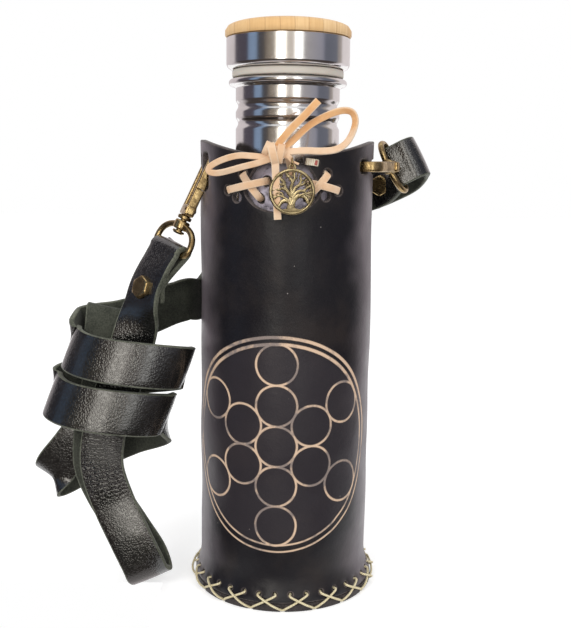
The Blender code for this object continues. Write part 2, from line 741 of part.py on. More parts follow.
def cross_arm(hole_azimuth, foot_azimuth, lift):
    """The places of one arm of a cross, from inside its hole down over the flare to its foot."""
    stand = CROSS_CORD_RADIUS + SEAT_GAP
    top = CROSS_HOLE_LINE
    spots = []
    inside = wall_radius(top) - CASE_WALL / 2
    spots.append(azimuth_vector(hole_azimuth) * inside + Vector((0.0, 0.0, top)))
    spots.append(azimuth_vector(hole_azimuth) * (wall_radius(top) + stand + lift) + Vector((0.0, 0.0, top)))
    for share in (0.5, 0.8):
        height = top + (CROSS_FOOT_HEIGHT - top) * share
        azimuth = hole_azimuth + (foot_azimuth - hole_azimuth) * share
        radius = max(wall_radius(height), BASE_RADIUS) + stand + lift * (1 - share)
        spots.append(azimuth_vector(azimuth) * radius + Vector((0.0, 0.0, height)))
    near_foot = hole_azimuth + (foot_azimuth - hole_azimuth) * 0.93
    foot_radius = BASE_RADIUS + CROSS_CORD_RADIUS * 0.7
    spots.append(azimuth_vector(near_foot) * foot_radius + Vector((0.0, 0.0, CROSS_FOOT_HEIGHT)))
    return spots


def base_stitching():
    """Crosses of waxed cord all round the base: each V runs from one cross through a scallop to the next."""
    pitch = 360.0 / CROSS_COUNT
    holes = list(cross_hole_azimuths())
    strands = []
    for index in range(CROSS_COUNT):
        foot = (index + 1) * pitch
        before = holes[index][0]
        after = holes[(index + 1) % CROSS_COUNT][1] + (360.0 if index == CROSS_COUNT - 1 else 0.0)
        down = cross_arm(before, foot, CROSS_CORD_RADIUS)
        up = cross_arm(after, foot, 0.0)
        spots = down + up[::-1]
        strands.append(tube(f"cross_{index}", spots, CROSS_CORD_RADIUS, resolution=0, hidden=True))
    return joined("base_stitching", strands, CORD)


def seam_stitching():
    """The back seam's crosses, one above the other."""
    stand = CASE_RADIUS + CROSS_CORD_RADIUS + SEAT_GAP
    half = math.degrees(SEAM_HALF_WIDTH / CASE_RADIUS)
    top = RIM_FRONT_HEIGHT - SEAM_PITCH / 2
    count = int((top - SEAM_BOTTOM) / SEAM_PITCH)
    strands = []
    for side, lift in ((1, 0.0), (-1, CROSS_CORD_RADIUS)):
        spots = []
        for index in range(count + 1):
            azimuth = 180.0 + side * half * (1 if index % 2 else -1)
            height = Vector((0.0, 0.0, SEAM_BOTTOM + index * SEAM_PITCH))
            spots.append(azimuth_vector(azimuth) * (stand + lift) + height)
            if index < count:
                middle = Vector((0.0, 0.0, SEAM_BOTTOM + (index + 0.5) * SEAM_PITCH))
                spots.append(azimuth_vector(180.0) * (stand + lift) + middle)
        strands.append(tube(f"seam_{side}", spots, CROSS_CORD_RADIUS, resolution=0, hidden=True))
    return joined("seam_stitching", strands, CORD)


# The tongue, the lacing and the bow


def gusset_radius(across, height):
    """The tongue's outer radius: behind the wall, and bulging out through the opening."""
    _, low = notch_place(0.0, 0.0)
    middle = low + NOTCH_DEPTH * 0.44
    side = (across - NOTCH_CENTRE_X) / (NOTCH_WIDTH / 2 * GUSSET_BULGE_WIDTH_SHARE)
    rise = (height - middle) / (NOTCH_DEPTH / 2 * GUSSET_BULGE_HEIGHT_SHARE)
    swell = max(0.0, 1 - side**2 - rise**2)
    return CASE_RADIUS - CASE_WALL - RUN_GAP + GUSSET_BULGE * math.sqrt(swell)


def front_gusset():
    """The tongue behind the opening: a patch of the case's curve, thickened inwards."""
    columns = 16
    rows = 8
    _, low = notch_place(0.0, 0.0)
    bottom = low - GUSSET_MARGIN
    top = RIM_FRONT_HEIGHT - GUSSET_TOP_DROP
    reach = NOTCH_WIDTH / 2 + GUSSET_MARGIN
    form = bmesh.new()
    grid = []
    for column in range(columns + 1):
        across = NOTCH_CENTRE_X - reach + 2 * reach * column / columns
        line = []
        for row in range(rows + 1):
            height = bottom + (top - bottom) * row / rows
            radius = gusset_radius(across, height)
            way = azimuth_vector(azimuth_of(across))
            line.append(form.verts.new(way * radius + Vector((0.0, 0.0, height))))
        grid.append(line)
    for line, after in zip(grid, grid[1:]):
        for row in range(rows):
            form.faces.new((line[row], after[row], after[row + 1], line[row + 1]))
    made = add_object("front_gusset", mesh_from("front_gusset", form), LEATHER)
    shell = made.modifiers.new("thickness", "SOLIDIFY")
    shell.thickness = GUSSET_THICKNESS
    shell.offset = -1.0
    holes = []
    for index, place in enumerate(GUSSET_HOLE_PLACE_SHARES):
        across, height = notch_place(*place)
        holes.append(wall_hole(f"tongue_hole_{index}", azimuth_of(across), height, LACE_HOLE_RADIUS))
    combine(made, merged_cutter("tongue_holes", holes), "DIFFERENCE")
    return smooth_shaded(settle(made))


def lace_between(name, start, end, lift):
    """A lace out of a hole in the wall, over the opening's edge and into a hole in the tongue."""
    start_x, start_z = notch_place(*start)
    end_x, end_z = notch_place(*end)
    over = LACE_THICKNESS / 2 + LACE_STAND_OFF
    tongue = gusset_radius(end_x, end_z)
    rows = []
    for share, radius in (
        (0.0, CASE_RADIUS - CASE_WALL / 2), (0.07, CASE_RADIUS + over), (0.5, CASE_RADIUS + over + lift),
        (0.93, max(tongue, CASE_RADIUS - CASE_WALL / 2) + over), (1.0, tongue - GUSSET_THICKNESS / 2),
    ):
        across = start_x + (end_x - start_x) * share
        height = start_z + (end_z - start_z) * share
        rows.append(azimuth_vector(azimuth_of(across)) * radius + Vector((0.0, 0.0, height)))
    square = Vector((start_z - end_z, 0.0, end_x - start_x)).normalized()
    route = rounded_route([tuple(row) for row in rows], LACE_STEP)
    route = np.concatenate([route, np.tile(np.array(square), (len(route), 1))], axis=1)
    return settle(strip(name, route, LACE_WIDTH, LACE_THICKNESS, LACE))


def lacing(name, strands):
    """Two laces that cross, the second lying over the first."""
    pieces = []
    for index, (start, end) in enumerate(strands):
        pieces.append(lace_between(f"{name}_{index}", start, end, index * LACE_THICKNESS))
    return joined(name, pieces, LACE)


def rim_stitch():
    """One short stitch of cord beside the opening."""
    spots = []
    (first_x, first_z), (last_x, last_z) = [notch_place(*place) for place in TOP_STITCH_PLACE_SHARES]
    over = CASE_RADIUS + STITCH_CORD_RADIUS + SEAT_GAP
    inside = CASE_RADIUS - CASE_WALL / 2
    for share, radius in ((0.0, inside), (0.0, over), (0.5, over + STITCH_CORD_RADIUS / 2), (1.0, over), (1.0, inside)):
        across = first_x + (last_x - first_x) * share
        height = first_z + (last_z - first_z) * share
        spots.append(azimuth_vector(azimuth_of(across)) * radius + Vector((0.0, 0.0, height)))
    return smooth_shaded(tube("rim_stitch", spots, STITCH_CORD_RADIUS, CORD, resolution=1))


def bow_knot():
    """The knot: a turn of lace round a tight middle."""
    place = Matrix.Translation(in_front(KNOT_PLACE))
    steps = 12
    turn = []
    for step in range(steps):
        angle = 2 * math.pi * step / steps
        turn.append((0.0, KNOT_RADIUS * math.cos(angle), KNOT_RADIUS * math.sin(angle)))
    wrap = tube("knot_wrap", turn, KNOT_WRAP_RADIUS, cyclic=True, hidden=True, place=place)
    form = bmesh.new()
    middle_size = (KNOT_RADIUS * 1.35, KNOT_RADIUS, KNOT_RADIUS * 1.1, 1.0)
    bmesh.ops.create_uvsphere(
        form, u_segments=12, v_segments=8, radius=1.0, matrix=place @ Matrix.Diagonal(middle_size),
    )
    middle = add_object("knot_middle", mesh_from("knot_middle", form), hidden=True)
    return joined("bow_knot", [middle, wrap], LACE)


def lacing_rise():
    """The lace that comes up the tongue to the back of the knot."""
    rows = []
    for place in LACING_RISE_FOOT_SHARES:
        across, height = notch_place(*place)
        radius = gusset_radius(across, height) + LACE_THICKNESS / 2 + 1.5 * LACE_STAND_OFF
        rows.append(tuple(azimuth_vector(azimuth_of(across)) * radius + Vector((0.0, 0.0, height))))
    rows += [tuple(in_front(place)) for place in LACING_RISE_ROUTE]
    route = rounded_route(rows, LACE_STEP)
    across = np.tile(np.array((1.0, 0.0, 0.0)), (len(route), 1))
    route = np.concatenate([route, across], axis=1)
    return strip("lacing_rise", route, LACE_WIDTH, LACE_THICKNESS, LACE)


def bow_part(name, route):
    spots = [in_front(place) for place in route]
    return strip(name, lace_rows(spots), LACE_WIDTH, LACE_THICKNESS, LACE)


# The charm


def charm_place():
    return Matrix.Translation(in_front(CHARM_CENTRE)) @ Matrix.Rotation(math.radians(90), 4, "X")


def charm_bar(name, start, end, width):
    """A flat bar between two points of the charm's face."""
    start = Vector((*start, 0.0))
    end = Vector((*end, 0.0))
    along = end - start
    turn = Matrix.Rotation(math.atan2(along.y, along.x), 4, "Z")
    size = (along.length + width, width, CHARM_THICKNESS)
    return block(name, size, charm_place() @ Matrix.Translation((start + end) / 2) @ turn)


def charm_disc():
    """A tree in a ring: trunk, branches with leaves, and roots, all joined to the rim."""
    steps = 24
    rim_middle = CHARM_RADIUS - CHARM_RIM_WIDTH / 2
    form = bmesh.new()
    bmesh.ops.create_cone(
        form, cap_ends=True, segments=steps, radius1=CHARM_RADIUS, radius2=CHARM_RADIUS,
        depth=CHARM_RIM_THICKNESS, matrix=charm_place(),
    )
    rim = add_object("charm_rim", mesh_from("charm_rim", form), hidden=True)
    form = bmesh.new()
    inner = CHARM_RADIUS - CHARM_RIM_WIDTH
    bmesh.ops.create_cone(
        form, cap_ends=True, segments=steps, radius1=inner, radius2=inner,
        depth=CHARM_RIM_THICKNESS + OVERRUN, matrix=charm_place(),
    )
    combine(rim, add_object("charm_inside", mesh_from("charm_inside", form), hidden=True), "DIFFERENCE")
    settle(rim)
    fork = CHARM_RADIUS * 0.08
    pieces = [rim, charm_bar("charm_trunk", (0.0, -rim_middle), (0.0, fork), CHARM_TRUNK_WIDTH)]
    for index, degrees in enumerate(CHARM_BRANCH_ANGLES):
        angle = math.radians(degrees)
        tip = (rim_middle * math.sin(angle), rim_middle * math.cos(angle))
        pieces.append(charm_bar(f"charm_branch_{index}", (0.0, 0.0), tip, CHARM_BRANCH_WIDTH))
    root_start = (0.0, -CHARM_RADIUS * 0.45)
    for index, degrees in enumerate(CHARM_ROOT_ANGLES):
        angle = math.radians(degrees)
        tip = (rim_middle * math.sin(angle), -rim_middle * math.cos(angle))
        pieces.append(charm_bar(f"charm_root_{index}", root_start, tip, CHARM_BRANCH_WIDTH))
    eye_middle = Vector((0.0, CHARM_RADIUS + CHARM_EYE_RISE, 0.0))
    eye_outer = CHARM_EYE_RADIUS + CHARM_EYE_WIDTH
    form = bmesh.new()
    bmesh.ops.create_cone(
        form, cap_ends=True, segments=12, radius1=eye_outer, radius2=eye_outer,
        depth=CHARM_THICKNESS, matrix=charm_place() @ Matrix.Translation(eye_middle),
    )
    pieces.append(add_object("charm_eye", mesh_from("charm_eye", form), hidden=True))
    made = joined("charm_disc", pieces, BRASS)
    form = bmesh.new()
    bmesh.ops.create_cone(
        form, cap_ends=True, segments=10, radius1=CHARM_EYE_RADIUS, radius2=CHARM_EYE_RADIUS,
        depth=CHARM_THICKNESS + OVERRUN, matrix=charm_place() @ Matrix.Translation(eye_middle),
    )
    combine(made, add_object("charm_eye_hole", mesh_from("charm_eye_hole", form), hidden=True), "DIFFERENCE")
    return settle(made)


def jump_ring_centre():
    """The ring's middle: its lowest wire sits in the charm's eye."""
    x, y, z = in_front(CHARM_CENTRE)
    eye = z + CHARM_RADIUS + CHARM_EYE_RISE
    return Vector((x, y, eye + JUMP_RING_RADIUS + CHARM_EYE_RADIUS - JUMP_RING_WIRE - SEAT_GAP / 2))


def charm_jump_ring():
    """A wire ring that stands edge-on to the front, through the charm's eye."""
    steps = 16
    centre = jump_ring_centre()
    spots = []
    for step in range(steps):
        angle = 2 * math.pi * step / steps
        way = Vector((0.0, math.cos(angle), math.sin(angle)))
        spots.append(centre + way * JUMP_RING_RADIUS)
    return smooth_shaded(tube("charm_jump_ring", spots, JUMP_RING_WIRE, BRASS, resolution=1, cyclic=True))


def charm_hanger():
    """The bit of lace that runs from the knot through the jump ring and back up under the knot."""
    centre = jump_ring_centre()
    knot = in_front(KNOT_PLACE)
    thickness = LACE_THICKNESS * HANGER_THICKNESS_SHARE
    through = centre + Vector((0.0, 0.0, JUMP_RING_RADIUS - JUMP_RING_WIRE - HANGER_GAP - thickness / 2))
    start = knot + Vector((KNOT_RADIUS * 1.35 + KNOT_WRAP_RADIUS * 0.2, 0.0, -KNOT_RADIUS * 0.9))
    past = through + Vector((LACE_WIDTH * 1.1, 0.0, -HANGER_DROP * 0.3))
    spots = [start, start.lerp(through, 0.5), through, past]
    rows = rounded_route([tuple(spot) for spot in spots], LACE_STEP / 2)
    across = np.tile(np.array((0.0, 1.0, 0.0)), (len(rows), 1))
    route = np.concatenate([rows, across], axis=1)
    width = 2 * (JUMP_RING_RADIUS * HANGER_WIDTH_SHARE - JUMP_RING_WIRE) - SEAT_GAP
    return strip("charm_hanger", route, width, thickness, LACE)


# The bottle and its lid


def waist(height):
    """The profile's points down one rolled groove of the neck."""
    return [
        (NECK_RADIUS, height + WAIST_HALF_HEIGHT),
        (NECK_RADIUS - WAIST_DEPTH * 0.7, height + WAIST_HALF_HEIGHT * 0.4),
        (NECK_RADIUS - WAIST_DEPTH, height),
        (NECK_RADIUS - WAIST_DEPTH * 0.7, height - WAIST_HALF_HEIGHT * 0.4),
        (NECK_RADIUS, height - WAIST_HALF_HEIGHT),
    ]


def shoulder(count=4):
    """Points of the bottle's shoulder, an S from the neck to the wall."""
    points = []
    for step in range(count + 1):
        share = step / count
        ease = share * share * (3 - 2 * share)
        radius = NECK_RADIUS + (BOTTLE_RADIUS - NECK_RADIUS) * ease
        height = BOTTLE_SHOULDER_END + (BOTTLE_SHOULDER_START - BOTTLE_SHOULDER_END) * share
        points.append((radius, height))
    return points


def bottle_floor():
    return BASE_THICKNESS + SEAT_GAP


def bottle_shell():
    """The steel bottle in one turned wall, open at the top."""
    floor = bottle_floor()
    bead = NECK_TOP - BEAD_DROP
    bead_reach = NECK_RADIUS + BEAD_REACH
    bead_rows = [
        (bead_reach - BEAD_HALF_HEIGHT, bead + BEAD_HALF_HEIGHT),
        (bead_reach, bead),
        (bead_reach - BEAD_HALF_HEIGHT, bead - BEAD_HALF_HEIGHT),
        (NECK_RADIUS, bead - BEAD_HALF_HEIGHT * 1.4),
    ]
    foot = arc(BOTTLE_RADIUS - BOTTLE_FOOT_ROUND, floor + BOTTLE_FOOT_ROUND, BOTTLE_FOOT_ROUND, 0, -90, 3)
    lower_waist, upper_waist = [NECK_TOP - drop for drop in WAIST_DROPS]
    outer = [(NECK_RADIUS, NECK_TOP)] + bead_rows + waist(upper_waist) + waist(lower_waist) + shoulder() + foot
    inner_foot = BOTTLE_FOOT_ROUND - BOTTLE_STEEL
    inner = [(0.0, floor + BOTTLE_STEEL)]
    inner += arc(BOTTLE_RADIUS - BOTTLE_FOOT_ROUND, floor + BOTTLE_FOOT_ROUND, inner_foot, -90, 0, 2)
    inner += [(radius - BOTTLE_STEEL, height) for radius, height in reversed(shoulder(4))]
    bore = NECK_RADIUS - WAIST_DEPTH - BOTTLE_STEEL
    inner += [(bore, lower_waist - WAIST_HALF_HEIGHT), (bore, NECK_TOP)]
    return turned("bottle_shell", inner + outer + [(0.0, floor)], STEEL)


def lid_seal():
    """The rubber ring between the lid and the bottle's lip."""
    low = NECK_TOP + SEAT_GAP
    high = low + SEAL_HEIGHT
    inner = SEAL_RADIUS - SEAL_WIDTH
    profile = [(SEAL_RADIUS, high), (SEAL_RADIUS, low), (inner, low), (inner, high), (SEAL_RADIUS, high)]
    return turned("lid_seal", profile, RUBBER)


def lid_cap():
    """The steel band of the lid: a cup, open at the top, with the plug's spigot under it."""
    low = LID_BOTTOM
    rounding = arc(LID_RADIUS - LID_ROUND, low + LID_ROUND, LID_ROUND, 0, -90, 3)
    floor = low + LID_SKIN
    inner = LID_RADIUS - LID_SKIN
    profile = [(0.0, floor), (inner, floor), (inner, LID_SPLIT), (LID_RADIUS, LID_SPLIT)]
    return turned("lid_cap", profile + rounding + [(0.0, low)], STEEL)


def lid_wood():
    """The wooden top: a domed disc with a tenon that drops into the steel band."""
    crown = WOOD_TOP - WOOD_ROUND * 0.55
    low = LID_SPLIT + SEAT_GAP
    tenon = LID_RADIUS - LID_SKIN - SEAT_GAP
    dome = [(0.0, WOOD_TOP), (WOOD_RADIUS * 0.45, WOOD_TOP - WOOD_ROUND * 0.12)]
    shoulder_round = arc(WOOD_RADIUS - WOOD_ROUND, crown - WOOD_ROUND * 0.5, WOOD_ROUND, 80, 0, 4)
    side = [(WOOD_RADIUS, low), (tenon, low), (tenon, low - WOOD_TENON), (0.0, low - WOOD_TENON)]
    return turned("lid_wood", dome + shoulder_round + side, WOOD)


def lid_plug():
    """The threaded plug that screws into the neck, hollow underneath."""
    radius = NECK_RADIUS - WAIST_DEPTH - BOTTLE_STEEL - PLUG_GAP
    top = LID_BOTTOM - SEAT_GAP
    low = NECK_TOP - PLUG_DEPTH
    bore = radius * PLUG_BORE_SHARE
    roof = top - LID_SKIN * 2
    profile = [(0.0, top), (radius, top), (radius, low), (bore, low), (bore, roof), (0.0, roof)]
    return turned("lid_plug", profile, RUBBER)


# The clasps


def clasp_frame(origin, down, across):
    """A clasp's own frame: origin at the hook's bend, -z along the pull, y across the arms."""
    up = -Vector(down).normalized()
    side = (Vector(across) - Vector(across).dot(up) * up).normalized()
    normal = side.cross(up)
    turn = Matrix((normal, side, up)).transposed().to_4x4()
    return Matrix.Translation(origin) @ turn


def left_clasp_frame():
    out = azimuth_vector(LEFT_CLASP_AZIMUTH)
    lean = math.radians(LEFT_CLASP_LEAN)
    down = out * math.sin(lean) + Vector((0.0, 0.0, -math.cos(lean)))
    across = out.cross(Vector((0.0, 0.0, 1.0)))
    origin = out * LEFT_CLASP_RADIUS + Vector((0.0, 0.0, LEFT_CLASP_HEIGHT))
    return clasp_frame(origin, down, across)


def right_clasp_frame():
    """The right clasp lies along the wall: its inner arm passes inside, its outer arm outside."""
    out = azimuth_vector(RIGHT_CLASP_AZIMUTH)
    down = Vector((0.0, 0.0, 1.0)).cross(out)
    middle = out * (RIGHT_INNER_ARM_REACH + HOOK_HALF_WIDTH)
    origin = middle - down * HOOK_HALF_WIDTH + Vector((0.0, 0.0, RIGHT_CLASP_HEIGHT))
    return clasp_frame(origin, down, -out)


def hook_middle_line():
    """From the nose round the bend and down the spine to the block."""
    spots = [(0.0, -HOOK_HALF_WIDTH, -HOOK_NOSE)]
    steps = 8
    for step in range(steps + 1):
        angle = math.pi * step / steps
        across = -HOOK_HALF_WIDTH * math.cos(angle)
        spots.append((0.0, across, -HOOK_HALF_WIDTH + HOOK_HALF_WIDTH * math.sin(angle)))
    spots.append((0.0, HOOK_HALF_WIDTH, -HOOK_ROOT - HOOK_BLOCK_HEIGHT / 2))
    return spots


def gate_pivot():
    return Vector((0.0, -HOOK_HALF_WIDTH, -HOOK_ROOT - HOOK_BLOCK_HEIGHT * 0.42))


def clasp_hook(name, place):
    """Hook, block and swivel post in one casting, slotted and bored for the gate and its pin."""
    wire = tube(f"{name}_wire", hook_middle_line(), HOOK_WIRE, hidden=True)
    block_low = HOOK_ROOT + HOOK_BLOCK_HEIGHT
    size = (HOOK_BLOCK_THICKNESS, 2 * (HOOK_HALF_WIDTH + HOOK_BLOCK_MARGIN), HOOK_BLOCK_HEIGHT)
    middle = Matrix.Translation((0.0, 0.0, -HOOK_ROOT - HOOK_BLOCK_HEIGHT / 2))
    body = settle(block(f"{name}_block", size, middle, bevel=HOOK_BLOCK_MARGIN * 0.4))
    collar = cylinder(f"{name}_collar", BOSS_RADIUS * 0.92, (0.0, 0.0, -block_low + RUN_GAP),
                      (0.0, 0.0, -boss_top()), segments=14)
    post_end = boss_top() + RUN_GAP * 2 + BOSS_HEIGHT
    post = cylinder(f"{name}_post", POST_RADIUS, (0.0, 0.0, -block_low + RUN_GAP), (0.0, 0.0, -post_end - RUN_GAP))
    head = cylinder(f"{name}_head", POST_HEAD_RADIUS, (0.0, 0.0, -post_end),
                    (0.0, 0.0, -post_end - POST_HEAD_HEIGHT), segments=14)
    made = joined(name, [body, wire, collar, post, head], BRASS)
    pivot = gate_pivot()
    slot_size = (2 * (GATE_RADIUS + GATE_SIDE_GAP), HOOK_HALF_WIDTH, HOOK_BLOCK_HEIGHT)
    slot_middle = pivot + Vector((0.0, -HOOK_HALF_WIDTH / 2 + GATE_EYE_RADIUS + 2 * RUN_GAP, 0.0))
    slot_middle.z = -HOOK_ROOT - HOOK_BLOCK_HEIGHT / 2 + HOOK_BLOCK_MARGIN * 0.5
    slot = block(f"{name}_gate_slot", slot_size, Matrix.Translation(slot_middle))
    reach = Vector((HOOK_BLOCK_THICKNESS, 0.0, 0.0))
    bore = cylinder(f"{name}_pin_bore", GATE_PIN_RADIUS + GATE_PIN_GAP, pivot - reach, pivot + reach)
    combine(made, slot, "DIFFERENCE")
    combine(made, bore, "DIFFERENCE")
    settle(made)
    made.data.transform(place)
    return made


def boss_top():
    """How far down the clasp the ring's boss starts."""
    return HOOK_ROOT + HOOK_BLOCK_HEIGHT + BOSS_HEIGHT * 0.45


def gate(name, place):
    """The spring gate: a bar from the pin up to the nose, with an eye round the pin."""
    pivot = gate_pivot()
    tip = Vector((0.0, -HOOK_HALF_WIDTH, -HOOK_NOSE - RUN_GAP))
    bar = cylinder(f"{name}_bar", GATE_RADIUS, pivot, tip, segments=10)
    side = Vector((GATE_RADIUS, 0.0, 0.0))
    eye = cylinder(f"{name}_eye", GATE_EYE_RADIUS, pivot - side, pivot + side, segments=14)
    made = joined(name, [eye, bar], BRASS)
    reach = Vector((HOOK_BLOCK_THICKNESS, 0.0, 0.0))
    bore = cylinder(f"{name}_bore", GATE_PIN_RADIUS + GATE_PIN_GAP, pivot - reach, pivot + reach)
    combine(made, bore, "DIFFERENCE")
    settle(made)
    made.data.transform(place)
    return made


def gate_pin(name, place):
    pivot = gate_pivot()
    reach = Vector((HOOK_BLOCK_THICKNESS / 2, 0.0, 0.0))
    made = cylinder(name, GATE_PIN_RADIUS, pivot - reach, pivot + reach, BRASS, hidden=False)
    made.data.transform(place)
    return made


def ring_corner(side, height_middle, start, end):
    """A round corner of the ring's outline, in the ring's plane."""
    points = arc(side * (RING_HALF_WIDTH - RING_CORNER), height_middle, RING_CORNER, start, end, 3)
    return [(0.0, across, height) for across, height in points]


def clasp_ring(name, place, turn):
    """A flat-sided ring whose top passes through a boss that turns on the hook's post."""
    top = -boss_top() - RUN_GAP - BOSS_HEIGHT / 2
    low = -RING_BAR_DROP
    line = [(0.0, BOSS_RADIUS * 0.75, top)]
    line += ring_corner(1, top - RING_CORNER, 90, 0)
    line += ring_corner(1, low + RING_CORNER, 0, -90)
    line += ring_corner(-1, low + RING_CORNER, -90, -180)
    line += ring_corner(-1, top - RING_CORNER, 180, 90)
    line += [(0.0, -BOSS_RADIUS * 0.75, top)]
    wire = tube(f"{name}_wire", line, RING_WIRE, hidden=True)
    boss = cylinder(f"{name}_boss", BOSS_RADIUS, (0.0, 0.0, top - BOSS_HEIGHT / 2),
                    (0.0, 0.0, top + BOSS_HEIGHT / 2), segments=16)
    made = joined(name, [boss, wire], BRASS)
    high = Vector((0.0, 0.0, top + BOSS_HEIGHT))
    bore = cylinder(f"{name}_bore", POST_RADIUS + GATE_PIN_GAP, high, high - Vector((0.0, 0.0, 2 * BOSS_HEIGHT)))
    combine(made, bore, "DIFFERENCE")
    settle(made)
    made.data.transform(place @ Matrix.Rotation(math.radians(turn), 4, "Z"))
    return made


def ring_bar(place, turn):
    """The middle of the ring's bar and the way it runs."""
    spot = place @ Vector((0.0, 0.0, -RING_BAR_DROP))
    way = (place.to_3x3() @ (Matrix.Rotation(math.radians(turn), 3, "Z") @ Vector((0.0, 1.0, 0.0)))).normalized()
    return spot, way


# The strap


def across_vector(lean, turn):
    """The line across the strap, from its lean off the level and its turn towards the front."""
    lean = math.radians(lean)
    turn = math.radians(turn)
    return np.array((math.cos(lean) * math.cos(turn), -math.sin(turn), math.sin(lean) * math.cos(turn)))


def hank_row(shares):
    """A row of the strap's way from a table row of shares."""
    reach, layers, height, lean, turn = shares
    spot, _ = ring_bar(left_clasp_frame(), LEFT_RING_TURN)
    layer = STRAP_THICKNESS + LAYER_GAP
    place = (spot.x - reach * HANK_REACH, HANK_CENTRE_Y + layers * layer, height * HANK_DROP)
    return np.concatenate([place, across_vector(lean, turn)])


def fold_over_bar(spot, way, face, up, count=6):
    """Rows of the strap's half turn over a ring's bar, from its back side to its face side."""
    radius = RING_WIRE + SEAT_GAP * 2 + STRAP_THICKNESS / 2
    rows = []
    for step in range(count + 1):
        angle = math.pi * step / count
        place = spot - face * radius * math.cos(angle) + up * radius * math.sin(angle)
        rows.append(np.concatenate([np.array(place), np.array(way)]))
    return rows


def hang_fold():
    """The lowest fold of the hank, whose lower corner just clears the floor."""
    reach, layers, lean = HANG_FOLD_SHARES
    corner = STRAP_WIDTH / 2 * math.sin(math.radians(lean)) + STRAP_THICKNESS / 2 * math.cos(math.radians(lean))
    row = hank_row((reach, layers, 0.0, lean, 0))
    row[2] = HANK_FLOOR_GAP + corner
    return row


def wrap_rows():
    """Two turns round the core: a flattened coil that rises and drifts evenly."""
    spot, _ = ring_bar(left_clasp_frame(), LEFT_RING_TURN)
    rows = []
    count = WRAP_HALF_TURNS * WRAP_ROWS
    for step in range(count + 1):
        turns = step / WRAP_ROWS
        angle = math.pi * turns
        across = math.copysign(abs(math.cos(angle)) ** 0.6, math.cos(angle))
        depth = math.copysign(min(1.0, abs(math.sin(angle)) * 1.35), math.sin(angle))
        x = spot.x - WRAP_LEFTWARD + WRAP_DRIFT * turns + WRAP_HALF_WIDTH * across
        y = HANK_CENTRE_Y - WRAP_HALF_DEPTH * depth
        z = WRAP_START_HEIGHT + WRAP_RISE * turns
        slope = math.atan2(WRAP_RISE, 2 * WRAP_HALF_WIDTH)
        lean = slope * (1 if math.sin(angle) >= 0 else -1) * min(1.0, abs(math.sin(angle)) * 2)
        rows.append(np.array((x, y, z, math.sin(lean), 0.0, math.cos(lean))))
    return rows


def hank_route():
    """The strap from its folded end at the left ring to where it leaves the hank."""
    spot, way = ring_bar(left_clasp_frame(), LEFT_RING_TURN)
    if way.x < 0:
        way = -way
    up = Vector((0.0, 0.0, 1.0))
    face = way.cross(up).normalized()
    if face.x > 0:
        face = -face
    up = (up - way * up.dot(way)).normalized()
    rows = [hank_row(row) for row in RING_END_SHARES]
    rows += fold_over_bar(spot, way, face, up)
    rows += [hank_row(row) for row in CORE_SHARES]
    rows += [hang_fold()]
    rows += [hank_row(row) for row in RETURN_SHARES]
    wraps = wrap_rows()
    rows += wraps
    rows += [hank_row(row) for row in LEAVING_SHARES]
    rows += [hank_row(HANK_END_SHARES)]
    return consistent(np.array(rows))


def consistent(rows):
    """Turn each line across the strap the same way as the one before."""
    for index in range(1, len(rows)):
        if np.dot(rows[index, 3:6], rows[index - 1, 3:6]) < 0:
            rows[index, 3:6] *= -1
    return rows


def least_gap(rows, width, thickness):
    """The least gap between stretches of the strap that aren't neighbours along it, and where it is."""
    rows = thinned(rounded_route(rows, GAP_STEP), GAP_STEP)
    left, right = strap_edges(rows, width)
    shares = np.linspace(0.0, 1.0, GAP_COLUMNS)[None, :, None]
    grid = left[:, None, :] * (1 - shares) + right[:, None, :] * shares
    normals = np.cross(np.gradient(rows[:, :3], axis=0), right - left)
    normals /= np.linalg.norm(normals, axis=1, keepdims=True)
    run = np.concatenate([[0.0], np.cumsum(np.linalg.norm(np.diff(rows[:, :3], axis=0), axis=1))])
    nearest = np.inf
    where = None
    for index in range(len(rows)):
        far = np.where(run > run[index] + FOLD_SHARE * thickness)[0]
        if len(far) == 0:
            continue
        apart = grid[far][:, :, None, :] - grid[index][None, None, :, :]
        through = np.abs(apart @ normals[index])
        beside = np.sqrt(np.maximum((apart**2).sum(axis=3) - through**2, 0.0))
        clear = np.maximum(through - thickness, 0.0)
        gap = np.where(beside < GAP_STEP * 0.75, through - thickness, np.hypot(clear, beside))
        if gap.min() < nearest:
            nearest = gap.min()
            other = rows[far[np.unravel_index(gap.argmin(), gap.shape)[0]]]
            where = [[round(value * 1000, 1) for value in row[:3]] for row in (rows[index], other)]
    return nearest, where


def strap_hank():
    """The strap's left end, its core, its hanging loop and its two wraps, in one unbroken band."""
    rows = rounded_route(hank_route(), STRAP_STEP)
    gap, where = least_gap(rows, STRAP_WIDTH, STRAP_THICKNESS)
    length = np.linalg.norm(np.diff(rows[:, :3], axis=0), axis=1).sum()
    print(f"strap hank: {length:.3f} m long, least gap to itself {gap * 1000:.2f} mm, between {where}")
    made = strip("strap_hank", rows, STRAP_WIDTH, STRAP_THICKNESS, STRAP_LEATHER)
    middle, out = left_rivet_axis()
    back = middle - out * (RIVET_LAYER_DISTANCE + OVERRUN)
    hole = cylinder("left_rivet_hole", RIVET_SHANK_RADIUS + SEAT_GAP, middle + out * OVERRUN, back)
    combine(made, hole, "DIFFERENCE")
    return settle(made)


